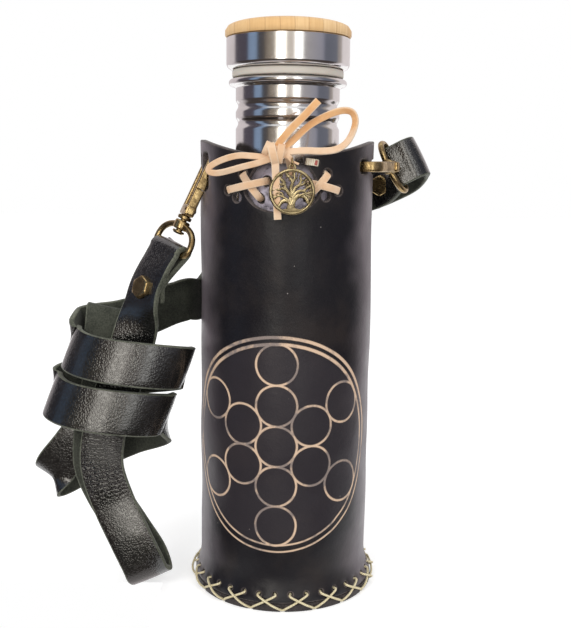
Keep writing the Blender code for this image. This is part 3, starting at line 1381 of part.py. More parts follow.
def back_run_rows():
    """The strap round the back of the case and out to the right ring, rising as it goes."""
    radius = CASE_RADIUS + CROSS_CORD_RADIUS * 3 + BACK_RUN_GAP + STRAP_THICKNESS / 2
    count = 6
    rows = []
    for step in range(count + 1):
        share = step / count
        azimuth = BACK_RUN_LEFT_AZIMUTH + (BACK_RUN_RIGHT_AZIMUTH - BACK_RUN_LEFT_AZIMUTH) * share
        height = HANK_END_SHARES[2] * HANK_DROP + BACK_RUN_RISE * share**1.5
        place = azimuth_vector(azimuth) * radius + Vector((0.0, 0.0, height))
        rows.append(np.array((*place, 0.0, 0.0, 1.0)))
    for right, back, rise in BACK_LOOP_SHARES:
        height = HANK_END_SHARES[2] * HANK_DROP + BACK_RUN_RISE * rise
        rows.append(np.array((right * HANK_REACH, back * HANK_REACH, height, 0.0, 0.0, 1.0)))
    return rows


def right_end_frame():
    """The right ring's bar: its middle, the way it runs, the pull of the strap, and the way out."""
    place = right_clasp_frame()
    spot, way = ring_bar(place, RIGHT_RING_TURN)
    if way.z < 0:
        way = -way
    pull = place.to_3x3() @ Vector((0.0, 0.0, -1.0))
    out = pull.cross(way).normalized()
    if out.x < 0:
        out = -out
    return spot, way, pull, out


def right_lap_rows():
    """The strap up to the right ring's bar, over it, and its short end back again."""
    spot, way, pull, out = right_end_frame()
    rows = []
    for distance, side in ((1.55, 1), (1.0, 1), (0.45, 1), (0.45, -1), (1.0, -1), (1.35, -1)):
        place = spot + pull * RIVET_DROP * distance + out * side * LAP_HALF_GAP
        rows.append(np.array((*place, *way)))
        if distance == 0.45 and side == 1:
            rows += fold_over_bar(spot, way, out, -pull)[::-1]
    return rows


def handover_row():
    """Where the back run takes over, one small gap past the hank's end."""
    before = hank_row(LEAVING_SHARES[-1])
    end = hank_row(HANK_END_SHARES)
    along = end[:3] - before[:3]
    start = end.copy()
    start[:3] += along / np.linalg.norm(along) * 3 * SEAT_GAP
    return start


def strap_back_run():
    """The strap from the hank round the back of the case to its riveted right end."""
    rows = [handover_row()] + back_run_rows() + right_lap_rows()
    route = rounded_route(consistent(np.array(rows)), STRAP_STEP)
    made = strip("strap_back_run", route, STRAP_WIDTH, STRAP_THICKNESS, STRAP_LEATHER)
    spot, _, pull, out = right_end_frame()
    middle = spot + pull * RIVET_DROP
    reach = out * (LAP_HALF_GAP + OVERRUN)
    hole = cylinder("right_rivet_hole", RIVET_SHANK_RADIUS + SEAT_GAP, middle - reach, middle + reach)
    combine(made, hole, "DIFFERENCE")
    return settle(made)


def left_rivet_axis():
    """The rivet's place on the strap's front layer under the left ring, and the way out of its face."""
    row = hank_row(RIVET_SHARES)
    before = hank_row(CORE_SHARES[0])
    across = Vector(row[3:6])
    out = across.cross(Vector(row[:3] - before[:3])).normalized()
    if out.y > 0:
        out = -out
    return Vector(row[:3]), out


def rivet(name, front, back, out):
    """A screw rivet between two outer faces: a six-sided head, a shank and a round back."""
    clear = STRAP_THICKNESS / 2 + SEAT_GAP
    head = cylinder(f"{name}_head", RIVET_HEAD_RADIUS, front + out * clear,
                    front + out * (clear + RIVET_HEAD_HEIGHT), segments=6)
    shank = cylinder(f"{name}_shank", RIVET_SHANK_RADIUS, front + out * (clear + RUN_GAP),
                     back - out * (clear + RUN_GAP))
    foot = cylinder(f"{name}_foot", RIVET_HEAD_RADIUS * 0.85, back - out * clear,
                    back - out * (clear + RIVET_HEAD_HEIGHT * 0.8), segments=14)
    return joined(name, [head, shank, foot], BRASS)


def left_rivet():
    middle, out = left_rivet_axis()
    return rivet("left_rivet", middle, middle - out * RIVET_LAYER_DISTANCE, out)


def right_rivet():
    spot, _, pull, out = right_end_frame()
    middle = spot + pull * RIVET_DROP
    return rivet("right_rivet", middle + out * LAP_HALF_GAP, middle - out * LAP_HALF_GAP, out)


def main():
    """Every sub-part once, from the base up and then out along the strap."""
    case_base()
    case_body()
    base_stitching()
    seam_stitching()
    front_gusset()
    lacing("lacing_left", LEFT_LACES)
    lacing("lacing_right", RIGHT_LACES)
    lacing_rise()
    rim_stitch()
    bow_knot()
    bow_part("bow_loop_left", BOW_LOOP_LEFT_ROUTE)
    bow_part("bow_loop_right", BOW_LOOP_RIGHT_ROUTE)
    bow_part("bow_tail_upper", BOW_TAIL_UPPER_ROUTE)
    bow_part("bow_tail_lower", BOW_TAIL_LOWER_ROUTE)
    charm_hanger()
    charm_jump_ring()
    charm_disc()
    bottle_shell()
    lid_seal()
    lid_plug()
    lid_cap()
    lid_wood()
    for side, place, turn in (
        ("left", left_clasp_frame(), LEFT_RING_TURN),
        ("right", right_clasp_frame(), RIGHT_RING_TURN),
    ):
        clasp_hook(f"{side}_clasp_hook", place)
        clasp_ring(f"{side}_clasp_ring", place, turn)
        gate(f"{side}_gate", place)
        gate_pin(f"{side}_gate_pin", place)
    strap_hank()
    left_rivet()
    strap_back_run()
    right_rivet()


main()
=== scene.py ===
# %% [markdown]
# # Dressing a laced leather bottle case
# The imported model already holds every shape, joint and size of the case. This lesson loads it and
# builds the visible surfaces over it: moulded leather with a carved pattern, a glossy strap wound
# in a hank, suede laces, waxed cord, old brass, brushed steel and a wooden lid. Each cell adds one
# piece or one finish.

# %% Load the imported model
import math

import bmesh
import bpy
import numpy as np
from mathutils import Matrix
from mathutils import Vector
from mathutils import noise
from mathutils.geometry import delaunay_2d_cdt


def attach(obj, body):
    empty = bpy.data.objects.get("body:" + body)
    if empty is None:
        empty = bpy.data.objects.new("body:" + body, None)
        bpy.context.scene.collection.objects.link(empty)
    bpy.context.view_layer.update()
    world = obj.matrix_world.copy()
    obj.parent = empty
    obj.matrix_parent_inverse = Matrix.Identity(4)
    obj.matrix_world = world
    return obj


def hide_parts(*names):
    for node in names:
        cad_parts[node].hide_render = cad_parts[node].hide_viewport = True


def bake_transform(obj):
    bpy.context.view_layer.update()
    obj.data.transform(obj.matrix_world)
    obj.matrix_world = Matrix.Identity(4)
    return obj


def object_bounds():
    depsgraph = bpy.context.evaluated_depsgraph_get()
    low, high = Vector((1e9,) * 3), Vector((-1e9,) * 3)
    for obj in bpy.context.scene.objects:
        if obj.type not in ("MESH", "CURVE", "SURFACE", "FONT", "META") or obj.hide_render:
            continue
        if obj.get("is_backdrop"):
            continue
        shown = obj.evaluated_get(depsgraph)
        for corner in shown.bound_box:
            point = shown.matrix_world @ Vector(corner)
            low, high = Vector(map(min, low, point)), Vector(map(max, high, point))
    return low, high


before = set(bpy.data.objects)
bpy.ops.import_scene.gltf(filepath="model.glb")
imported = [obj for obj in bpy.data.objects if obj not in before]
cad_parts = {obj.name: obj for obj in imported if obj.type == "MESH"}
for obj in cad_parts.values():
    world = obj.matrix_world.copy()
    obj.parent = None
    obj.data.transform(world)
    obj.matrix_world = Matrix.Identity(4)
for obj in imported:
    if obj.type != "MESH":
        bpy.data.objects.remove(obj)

CAD_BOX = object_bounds()

# %% [markdown]
# ## The camera
# A photograph is matched first by its camera, because all else is seen through it. The
# lid's ellipse and the base's ellipse differ in how open they are, which gives the distance, and
# the tilt follows from the two.

# %% Place the camera
CAMERA_BACK = 0.4318
CAMERA_HEIGHT = 0.19945
CAMERA_DIP = 0.1598
CAMERA_ROLL = 0.0103
CAMERA_LENS = 52.65


def place_camera():
    data = bpy.data.cameras.new("photo_camera")
    data.lens = CAMERA_LENS
    camera = bpy.data.objects.new("photo_camera", data)
    bpy.context.scene.collection.objects.link(camera)
    aim = Matrix.Rotation(math.pi / 2 - CAMERA_DIP, 4, "X") @ Matrix.Rotation(CAMERA_ROLL, 4, "Z")
    camera.matrix_world = Matrix.Translation((0.0, -CAMERA_BACK, CAMERA_HEIGHT)) @ aim
    bpy.context.scene.camera = camera
    return camera


bpy.context.scene.view_settings.view_transform = "Standard"
print("camera at", tuple(round(value, 3) for value in place_camera().location))

# %% [markdown]
# ## A small toolbox for finishes
# Every finish is a node tree that ends in one Principled shader. The same few nodes come back each
# time: a place on the object, a noise, a ramp between two colours and a bump. A class with short
# methods keeps each finish readable, so that the numbers that make it leather or brass stand out.

# %% The finish builder


class Finish:
    """A material that is being built, with short ways to add the usual nodes."""

    def __init__(self, name, **sockets):
        self.material = bpy.data.materials.new(name)
        self.material.use_nodes = True
        self.tree = self.material.node_tree
        self.shader = self.tree.nodes["Principled BSDF"]
        self.coordinates = self.tree.nodes.new("ShaderNodeTexCoord").outputs["Object"]
        for socket, value in sockets.items():
            self.shader.inputs[socket.replace("_", " ")].default_value = value

    def feed(self, socket, value):
        if isinstance(value, bpy.types.NodeSocket):
            self.tree.links.new(value, socket)
        else:
            socket.default_value = value

    def node(self, kind, inputs, **settings):
        made = self.tree.nodes.new("ShaderNode" + kind)
        for key, value in settings.items():
            setattr(made, key, value)
        for key, value in inputs.items():
            self.feed(made.inputs[key], value)
        return made

    def maths(self, operation, *values):
        return self.node("Math", dict(enumerate(values)), operation=operation).outputs[0]

    def times(self, first, second):
        return self.maths("MULTIPLY", first, second)

    def minus(self, first, second):
        return self.maths("SUBTRACT", first, second)

    def split(self, place=None):
        """The three numbers of a place."""
        return self.node("SeparateXYZ", {0: place or self.coordinates}).outputs

    def azimuth(self, x, y):
        """The angle round the upright axis, from the front to the right."""
        return self.maths("ARCTAN2", x, self.times(y, -1.0))

    def distance(self, across, up):
        """How far a place on a flat sheet is from its middle."""
        return self.maths("SQRT", self.maths("ADD", self.times(across, across), self.times(up, up)))

    def stretched(self, x, y, z, place=None):
        """The place with each of its directions scaled."""
        inputs = {0: place or self.coordinates, 3: (x, y, z)}
        return self.node("Mapping", inputs, vector_type="POINT").outputs[0]

    def noise(self, scale, detail=3.0, roughness=0.5, place=None):
        inputs = {"Scale": scale, "Detail": detail, "Roughness": roughness}
        inputs["Vector"] = place or self.coordinates
        return self.node("TexNoise", inputs).outputs["Fac"]

    def cells(self, scale, feature="F1"):
        inputs = {"Vector": self.coordinates, "Scale": scale}
        return self.node("TexVoronoi", inputs, feature=feature).outputs["Distance"]

    def between(self, value, low, high, first=0.0, last=1.0):
        """The value's share of the way from low to high, eased, as a number from first to last."""
        inputs = {0: value, 1: low, 2: high, 3: first, 4: last}
        return self.node("MapRange", inputs, interpolation_type="SMOOTHSTEP").outputs[0]

    def mixed(self, share, first, second):
        """A colour between two colours."""
        inputs = {0: share, 6: as_colour(first), 7: as_colour(second)}
        return self.node("Mix", inputs, data_type="RGBA").outputs[2]

    def toned(self, value, low, high, first, second):
        """One colour where the value is low, and another where it's high."""
        return self.mixed(self.between(value, low, high), first, second)

    def attribute(self, name, output):
        return self.node("Attribute", {}, attribute_name=name).outputs[output]

    def colour(self, value):
        self.feed(self.shader.inputs["Base Color"], as_colour(value))

    def rough(self, value, low, high, first, last):
        """Roughness from first to last as the value goes from low to high."""
        self.feed(self.shader.inputs["Roughness"], self.between(value, low, high, first, last))

    def relief(self, height, depth):
        """Raise the surface by up to this depth in metres where the height is 1."""
        bump = self.node("Bump", {"Height": height, "Distance": depth, "Strength": 1.0})
        before = self.shader.inputs["Normal"]
        if before.is_linked:
            self.tree.links.new(before.links[0].from_socket, bump.inputs["Normal"])
        self.tree.links.new(bump.outputs["Normal"], before)


def as_colour(value):
    return (*value, 1.0) if isinstance(value, tuple) and len(value) == 3 else value


# %% [markdown]
# ## The case's leather
# The tube is vegetable-tanned leather, dyed almost black with a violet cast and rubbed to a soft
# shine. Up close it has a fine grain, some browner clouds where the dye is thin, and a few pale
# specks. Noise at three scales gives the clouds, the grain and the uneven gloss. Where the tube
# turns away from the view, a pale lavender painted highlight is mixed into its colour.

# %% Leather values
DYE_DARK = (0.0085, 0.0075, 0.0100)
DYE_THIN = (0.0230, 0.0175, 0.0165)
SPECK = (0.30, 0.27, 0.25)
# A pale lavender painted highlight for where the leather turns away from the view.
PAINTED_EDGE_SHEEN = (0.135, 0.114, 0.128)
EDGE_SHEEN_START = 0.30
EDGE_SHEEN_FULL = 0.78
CASE_GRAIN = (1150.0, 0.000035)
CASE_UNEVEN = (60.0, 0.0005)
LINE_TAN = (0.66, 0.47, 0.33)
LINE_GREY = (0.24, 0.19, 0.17)
RUBBED_DYE = (0.040, 0.033, 0.039)
RUBBED_SHARE = 0.55
RUBBED_EDGE = 0.006
TONGUE_DARK = (0.045, 0.038, 0.045)
# Painted highlight colour for the tongue's bulge. Above a height, the tongue's top keeps the dark colour as
# painted shadow.
TONGUE_PAINTED_HIGHLIGHT = (0.50, 0.45, 0.52)
TONGUE_GRAIN = (900.0, 0.00005)
TONGUE_PAINTED_SHADOW_ABOVE = 0.2005
TONGUE_PAINTED_SHADOW_FADE = 0.004


def leather_grain(finish, cell_scale, depth):
    """Fine raised cells with a softer noise over them."""
    finish.relief(finish.cells(cell_scale, "SMOOTH_F1"), depth)
    finish.relief(finish.noise(cell_scale * 2.2, 2.0), depth * 0.7)


def dyed_colour(finish):
    """The clouded dye with a few pale specks."""
    dye = finish.toned(finish.noise(26.0, 4.0, 0.6), 0.46, 0.74, DYE_DARK, DYE_THIN)
    speck = finish.between(finish.cells(240.0), 0.075, 0.045)
    rare = finish.between(finish.noise(90.0, 1.0), 0.63, 0.66)
    return finish.mixed(finish.times(speck, rare), dye, SPECK)


print("dye", DYE_DARK, "to", DYE_THIN)

# %% [markdown]
# ## The carved pattern
# Thirteen circles stand in two rings round a middle one, inside a double ring. The lines are cut
# into the leather and rubbed with a pale colour. Drawing them in the shader keeps them sharp at any
# distance, and the sixfold symmetry makes it cheap: a place is folded into one sixth of the flower,
# where only three circles are left.

# %% The pattern's lines
CASE_RADIUS = 0.040
PATTERN_AZIMUTH = -0.0906
PATTERN_HEIGHT = 0.0767
CIRCLE_RADIUS = 0.00923
LINE_WIDTH = 0.00105
LINE_SOFTNESS = 0.00022
RING_INNER = 0.04610
RING_OUTER = 0.04915
RING_LINE_TOP = 0.00150
RING_LINE_LOW = 0.00085
LINE_WANDER = 0.00045
GROOVE_DEPTH = 0.00035


def unrolled_place(finish):
    """Where a point is on the unrolled leather: across and up from the pattern's middle."""
    x, y, z = finish.split()
    across = finish.times(finish.minus(finish.azimuth(x, y), PATTERN_AZIMUTH), CASE_RADIUS)
    up = finish.minus(z, PATTERN_HEIGHT)
    wander = finish.minus(finish.noise(110.0, 2.0), 0.5)
    across = finish.maths("MULTIPLY_ADD", wander, LINE_WANDER, across)
    return across, finish.maths("MULTIPLY_ADD", wander, -LINE_WANDER, up)


def line_at(finish, distance, width):
    """1 on a line of this width and 0 beside it, where distance is measured from its middle."""
    edge = finish.minus(finish.maths("ABSOLUTE", distance), finish.times(width, 0.5))
    return finish.between(edge, LINE_SOFTNESS, -LINE_SOFTNESS)


def nearest_circle(finish, reach, turn):
    """How far the nearest circle's line is, with the flower folded into one sixth of itself."""
    sixth = math.pi / 6
    folded = finish.maths("WRAP", turn, sixth, -sixth)
    side = finish.times(reach, finish.maths("SINE", folded))
    rise = finish.times(reach, finish.maths("COSINE", folded))
    nearest = None
    for ring in range(3):
        from_middle = finish.distance(side, finish.minus(rise, 2 * ring * CIRCLE_RADIUS))
        apart = finish.maths("ABSOLUTE", finish.minus(from_middle, CIRCLE_RADIUS))
        nearest = apart if nearest is None else finish.maths("MINIMUM", nearest, apart)
    return nearest


def carved_lines(finish):
    """The lines of the circles and the double ring, and the rubbed leather inside the ring."""
    across, up = unrolled_place(finish)
    reach = finish.distance(across, up)
    turn = finish.maths("ARCTAN2", across, up)
    lines = line_at(finish, nearest_circle(finish, reach, turn), LINE_WIDTH)
    width = finish.between(finish.maths("COSINE", turn), -0.6, 0.9, RING_LINE_LOW, RING_LINE_TOP)
    for radius in (RING_INNER, RING_OUTER):
        ring = line_at(finish, finish.minus(reach, radius), width)
        lines = finish.maths("MAXIMUM", lines, ring)
    return lines, finish.between(reach, RING_OUTER, RING_OUTER - RUBBED_EDGE)


print("pattern:", round(2 * CIRCLE_RADIUS, 4), "m circles, outer ring", RING_OUTER, "m")

# %% Case and tongue leather


def case_leather(name, carved=False):
    finish = Finish(name, Specular_IOR_Level=0.32, IOR=1.5)
    # Painted highlight: the colour turns pale lavender as the surface faces away from the view, broken up by
    # noise.
    facing = finish.node("LayerWeight", {"Blend": 0.5}).outputs["Facing"]
    painted_sheen = finish.maths("MULTIPLY_ADD", finish.noise(34.0, 3.0), 0.5, finish.minus(facing, 0.25))
    colour = finish.toned(painted_sheen, EDGE_SHEEN_START, EDGE_SHEEN_FULL, dyed_colour(finish), PAINTED_EDGE_SHEEN)
    leather_grain(finish, *CASE_GRAIN)
    finish.relief(finish.noise(CASE_UNEVEN[0], 3.0), CASE_UNEVEN[1])
    if carved:
        lines, ringed = carved_lines(finish)
        colour = finish.mixed(finish.times(ringed, RUBBED_SHARE), colour, RUBBED_DYE)
        paint = finish.toned(finish.noise(55.0, 5.0, 0.65), 0.40, 0.56, LINE_GREY, LINE_TAN)
        colour = finish.mixed(lines, colour, paint)
        finish.relief(lines, -GROOVE_DEPTH)
    finish.colour(colour)
    finish.rough(finish.noise(38.0, 5.0, 0.6), 0.3, 0.7, 0.30, 0.46)
    return finish.material


def tongue_leather():
    """The tongue's dark leather, with a painted lavender highlight in clouds and a painted shadow along its
    top.
    """
    finish = Finish("tongue_leather", Specular_IOR_Level=0.5)
    clouds = finish.noise(210.0, 4.0, 0.62)
    # Painted shadow along the top above a height, and a painted lavender highlight in clouds below it.
    height = finish.split()[2]
    below_painted_shadow = finish.between(height, TONGUE_PAINTED_SHADOW_ABOVE, TONGUE_PAINTED_SHADOW_ABOVE - TONGUE_PAINTED_SHADOW_FADE)
    painted_highlight = finish.times(finish.between(clouds, 0.30, 0.50), below_painted_shadow)
    finish.colour(finish.mixed(painted_highlight, TONGUE_DARK, TONGUE_PAINTED_HIGHLIGHT))
    leather_grain(finish, *TONGUE_GRAIN)
    finish.rough(clouds, 0.3, 0.7, 0.5, 0.34)
    return finish.material


CASE_LEATHER = case_leather("case_leather_carved", carved=True)
PLAIN_LEATHER = case_leather("case_leather_plain")
TONGUE_LEATHER = tongue_leather()
print("leathers:", CASE_LEATHER.name, PLAIN_LEATHER.name, TONGUE_LEATHER.name)

# %% [markdown]
# ## Cut edges and the flesh side
# A cut edge shows the inside of the hide, dulled by the dye, and the flesh side is short suede.
# Both scatter light more than the face does, so they're rough, with a fibre noise in colour and
# height.

# %% Edges and flesh sides
FIBRE_DEPTH = 0.00012
FIBRES = {
    "case_cut_edge": ((0.030, 0.024, 0.024), (0.105, 0.085, 0.080), 900.0, 0.60),
    "base_cut_edge": ((0.020, 0.016, 0.017), (0.056, 0.045, 0.043), 900.0, 0.55),
    "case_flesh_side": ((0.030, 0.024, 0.022), (0.075, 0.060, 0.052), 1200.0, 0.82),
    "strap_cut_edge": ((0.045, 0.050, 0.036), (0.150, 0.155, 0.115), 1100.0, 0.60),
    "strap_flesh_side": ((0.024, 0.026, 0.020), (0.072, 0.076, 0.058), 1300.0, 0.82),
}


def fibre_finish(name):
    """Short fibres between two colours."""
    dark, pale, scale, rough = FIBRES[name]
    finish = Finish(name, Sheen_Weight=0.15, Sheen_Roughness=0.5, Specular_IOR_Level=0.25)
    fibres = finish.noise(scale, 6.0, 0.7)
    patches = finish.times(finish.noise(scale * 0.08, 3.0), 0.35)
    share = finish.maths("MULTIPLY_ADD", fibres, 0.65, patches)
    finish.colour(finish.toned(share, 0.36, 0.64, dark, pale))
    finish.rough(fibres, 0.2, 0.8, rough - 0.1, rough + 0.1)
    finish.relief(fibres, FIBRE_DEPTH)
    return finish.material


CASE_EDGE, BASE_EDGE, CASE_FLESH, STRAP_EDGE, STRAP_FLESH = [fibre_finish(name) for name in FIBRES]
print("edges and flesh sides:", ", ".join(FIBRES))

# %% [markdown]
# ## The strap's face
# The strap is harder and glossier than the case: a pressed pebble grain under a coat of finish, so
# that a window's reflection breaks into sparkling points. Where it was bent hard it has fine
# creases across. The pieces carry a lane attribute, how far along and across the strap each point
# lies, and the creases are drawn by it.

# %% Strap finish
STRAP_DYE = ((0.0050, 0.0052, 0.0050), (0.0120, 0.0112, 0.0100))
PEBBLE_DEPTH = 0.00008
STRAP_GRAIN_DEPTH = 0.00005
CREASE_PITCH = 0.0021
CREASE_DEPTH = 0.00042


def crease_ridges(finish):
    """Ridges across the strap, where its crease attribute is set."""
    lane = finish.attribute("lane", "Vector")
    wandering = finish.noise(5.0, 2.0, place=finish.stretched(20.0, 60.0, 1.0, lane))
    along = finish.times(finish.split(lane)[0], 2 * math.pi / CREASE_PITCH)
    phase = finish.maths("MULTIPLY_ADD", wandering, 11.0, along)
    ridges = finish.between(finish.maths("SINE", phase), -1.0, 1.0)
    return finish.times(ridges, finish.attribute("crease_and_shade", "Fac"))


def strap_face():
    finish = Finish("strap_face", Specular_IOR_Level=0.9, Coat_Weight=0.6, Coat_Roughness=0.10)
    finish.colour(finish.toned(finish.noise(70.0, 3.0), 0.35, 0.7, *STRAP_DYE))
    finish.relief(finish.between(finish.cells(1050.0), 0.75, 0.15), PEBBLE_DEPTH)
    finish.relief(finish.noise(1900.0, 2.0, 0.5), STRAP_GRAIN_DEPTH)
    finish.relief(crease_ridges(finish), CREASE_DEPTH)
    finish.rough(finish.noise(260.0, 4.0, 0.6), 0.3, 0.7, 0.13, 0.24)
    return finish.material


STRAP = (strap_face(), STRAP_EDGE, STRAP_FLESH)
print("creases every", CREASE_PITCH, "m where the crease attribute is set")

# %% [markdown]
# ## Laces and cord
# The bow is a flat thong of undyed suede, cream with paler, furry cut sides, and an orange-tan
# painted shade on the upper parts of some of its ends. The cord of the crosses is waxed and
# twisted, so it gets slanting ridges from its lane attribute.

# %% Lace and cord finishes
LACE_CREAM = ((0.76, 0.54, 0.37), (0.70, 0.44, 0.26))
# The orange-tan colour is painted shade, laid on the upper parts of some bow ends.
LACE_PAINTED_SHADE = ((0.74, 0.40, 0.17), (0.66, 0.31, 0.11))
LACE_CUT = (0.80, 0.66, 0.50)
LACE_FUR = (0.78, 0.57, 0.37)
LACE_PALE_SIDE = (0.00105, 0.0016)
LACE_FUR_DEPTH = 0.00012
CORD_TWIST = 0.0016
CORD_DEPTH = 0.00016


def lace_finish():
    """Cream suede, with orange-tan painted shade wherever its points are marked for it."""
    finish = Finish("tan_suede", Sheen_Weight=0.25, Sheen_Roughness=0.4, Specular_IOR_Level=0.3)
    lane = finish.attribute("lane", "Vector")
    fibres = finish.noise(3.0, 5.0, 0.7, place=finish.stretched(160.0, 900.0, 900.0, lane))
    clouds = finish.noise(170.0, 3.0)
    cream, painted_shade_tone = [finish.toned(clouds, 0.35, 0.68, *pair) for pair in (LACE_CREAM, LACE_PAINTED_SHADE)]
    # Painted shade: the marked points take the orange-tan shade colour.
    tone = finish.mixed(finish.attribute("crease_and_shade", "Fac"), cream, painted_shade_tone)
    pale = finish.between(finish.maths("ABSOLUTE", finish.split(lane)[1]), *LACE_PALE_SIDE)
    tone = finish.mixed(finish.times(pale, 0.75), tone, LACE_CUT)
    finish.colour(finish.mixed(finish.between(fibres, 0.3, 0.75, 0.0, 0.35), tone, LACE_FUR))
    finish.relief(fibres, LACE_FUR_DEPTH)
    finish.rough(fibres, 0.2, 0.8, 0.62, 0.85)
    return finish.material


def cord_finish(name, dark, pale):
    finish = Finish(name, Specular_IOR_Level=0.45, Coat_Weight=0.12, Coat_Roughness=0.4)
    along, around, _ = finish.split(finish.attribute("lane", "Vector"))
    phase = finish.maths("MULTIPLY_ADD", along, 2 * math.pi / CORD_TWIST, around)
    strands = finish.between(finish.maths("SINE", finish.times(phase, 2.0)), -1.0, 1.0)
    stains = finish.noise(420.0, 4.0, 0.6)
    share = finish.maths("MULTIPLY_ADD", strands, 0.4, finish.times(stains, 0.6))
    finish.colour(finish.toned(share, 0.25, 0.7, dark, pale))
    finish.relief(strands, CORD_DEPTH)
    finish.rough(stains, 0.3, 0.7, 0.42, 0.62)
    return finish.material


LACE = lace_finish()
WAXED_CORD = cord_finish("waxed_cord", (0.62, 0.50, 0.27), (0.86, 0.78, 0.54))
PALE_CORD = cord_finish("pale_cord", (0.72, 0.60, 0.44), (0.90, 0.82, 0.66))
RED_THREAD = cord_finish("red_thread", (0.32, 0.05, 0.045), (0.52, 0.13, 0.10))
print("cord twists once every", CORD_TWIST, "m")

# %% [markdown]
# ## Brass, steel, wood and rubber
# The brass is plated and darkened, and bright again where it rubs: noise moves it between a brown
# patina and yellow metal. The steel is polished round the bottle, so its roughness runs in rings.
# The lid's top is laid up from bamboo strips, which show as faint joints with a little difference
# in tone from strip to strip.

# %% Metal finishes
BRASS_PIT_DEPTH = 0.00003
STEEL_TONES = ((0.72, 0.70, 0.69), (0.78, 0.76, 0.76))
BRUSH_SCALE = 5200.0
BRUSH_DEPTH = 0.00001


def brass_finish(name, patina, bright):
    finish = Finish(name, Metallic=1.0)
    worn = finish.between(finish.noise(230.0, 5.0, 0.65), 0.30, 0.66)
    finish.colour(finish.mixed(worn, patina, bright))
    finish.rough(worn, 0.0, 1.0, 0.42, 0.24)
    finish.relief(finish.noise(1500.0, 3.0, 0.6), BRASS_PIT_DEPTH)
    return finish.material


def steel_finish():
    finish = Finish("brushed_steel", Metallic=1.0)
    rings = finish.noise(1.0, 4.0, 0.7, place=finish.stretched(30.0, 30.0, BRUSH_SCALE))
    finish.colour(finish.toned(finish.noise(45.0, 4.0, 0.6), 0.3, 0.7, *STEEL_TONES))
    finish.rough(rings, 0.25, 0.75, 0.10, 0.21)
    finish.relief(rings, BRUSH_DEPTH)
    return finish.material


BRASS = brass_finish("old_brass", (0.205, 0.140, 0.066), (0.520, 0.380, 0.185))
CHARM_BRASS = brass_finish("charm_brass", (0.200, 0.158, 0.088), (0.430, 0.355, 0.205))
STEEL = steel_finish()
print("metals: two brasses and a steel")

# %% Wood and rubber finishes
WOOD_STRIP = 0.0063
WOOD_LEAN = 0.10
WOOD_TONES = ((0.73, 0.46, 0.20), (0.82, 0.58, 0.31))
WOOD_FIBRE = (0.62, 0.34, 0.13)
WOOD_JOINT = (0.45, 0.24, 0.10)
WOOD_FIBRE_DEPTH = 0.00005
WOOD_JOINT_DEPTH = 0.00008
RUBBER_TONES = ((0.52, 0.47, 0.41), (0.62, 0.57, 0.50))
RUBBER_DEPTH = 0.00002
RUBBER_SCATTER = 0.08
RUBBER_SCATTER_LENGTH = 0.002


def wood_finish():
    finish = Finish("bamboo", Specular_IOR_Level=0.4, Coat_Weight=0.10, Coat_Roughness=0.35)
    x, y, _ = finish.split()
    strips = finish.maths("DIVIDE", finish.maths("MULTIPLY_ADD", y, WOOD_LEAN, x), WOOD_STRIP)
    draw = {"W": finish.maths("FLOOR", strips)}
    tone = finish.node("TexWhiteNoise", draw, noise_dimensions="1D").outputs["Value"]
    from_joint = finish.maths("ABSOLUTE", finish.minus(finish.maths("FRACT", strips), 0.5))
    joint = finish.between(from_joint, 0.465, 0.492)
    fibres = finish.noise(1.0, 5.0, 0.65, place=finish.stretched(1500.0, 60.0, 60.0))
    base = finish.mixed(tone, *WOOD_TONES)
    base = finish.mixed(finish.between(fibres, 0.32, 0.72, 0.0, 0.5), base, WOOD_FIBRE)
    finish.colour(finish.mixed(finish.times(joint, 0.5), base, WOOD_JOINT))
    finish.relief(fibres, WOOD_FIBRE_DEPTH)
    finish.relief(joint, -WOOD_JOINT_DEPTH)
    finish.rough(fibres, 0.2, 0.8, 0.42, 0.58)
    return finish.material


def rubber_finish():
    scattering = {"Subsurface_Weight": RUBBER_SCATTER, "Subsurface_Scale": RUBBER_SCATTER_LENGTH}
    finish = Finish("pale_silicone", Specular_IOR_Level=0.35, **scattering)
    clouds = finish.noise(120.0, 3.0)
    finish.colour(finish.mixed(clouds, *RUBBER_TONES))
    finish.rough(clouds, 0.3, 0.7, 0.45, 0.6)
    finish.relief(finish.noise(2400.0, 2.0), RUBBER_DEPTH)
    return finish.material


WOOD = wood_finish()
RUBBER = rubber_finish()
print("finishes:", len(bpy.data.materials))

# %% [markdown]
# ## Forms before pieces
# Most pieces here are swept: a section carried along a route. It's easiest to collect them as plain
# arrays of points and faces, which can be merged, moved and marked, and to make the Blender mesh at
# the end. Each point keeps its lane, so that a finish can follow the strap, and each face keeps the
# number of its finish.

# %% The form and how it becomes a piece


class Form:
    """Points, faces, a finish number for each face, and for each point a lane and a mark for strap creases
    and for the laces' painted shade.
    """

    def __init__(self, points, faces, marks=None, lanes=None, creases_and_shade=None):
        self.points = np.array(points, dtype=float).reshape(-1, 3)
        self.faces = [tuple(int(corner) for corner in face) for face in faces]
        self.marks = list(marks) if marks is not None else [0] * len(self.faces)
        self.lanes = np.zeros_like(self.points) if lanes is None else np.array(lanes, dtype=float)
        self.creases_and_shade = np.zeros(len(self.points)) if creases_and_shade is None else np.array(creases_and_shade, dtype=float)

    def moved(self, place):
        turn = np.array(place.to_3x3())
        self.points = self.points @ turn.T + np.array(place.translation)
        return self

    def marked(self, mark):
        self.marks = [mark] * len(self.faces)
        return self


def merged(forms):
    """Several forms as one, each still closed by itself."""
    faces = []
    marks = []
    start = 0
    for form in forms:
        faces += [tuple(corner + start for corner in face) for face in form.faces]
        marks += form.marks
        start += len(form.points)
    points, lanes, creases_and_shade = [
        np.concatenate([getattr(form, part) for form in forms]) for part in ("points", "lanes", "creases_and_shade")
    ]
    return Form(points, faces, marks, lanes, creases_and_shade)


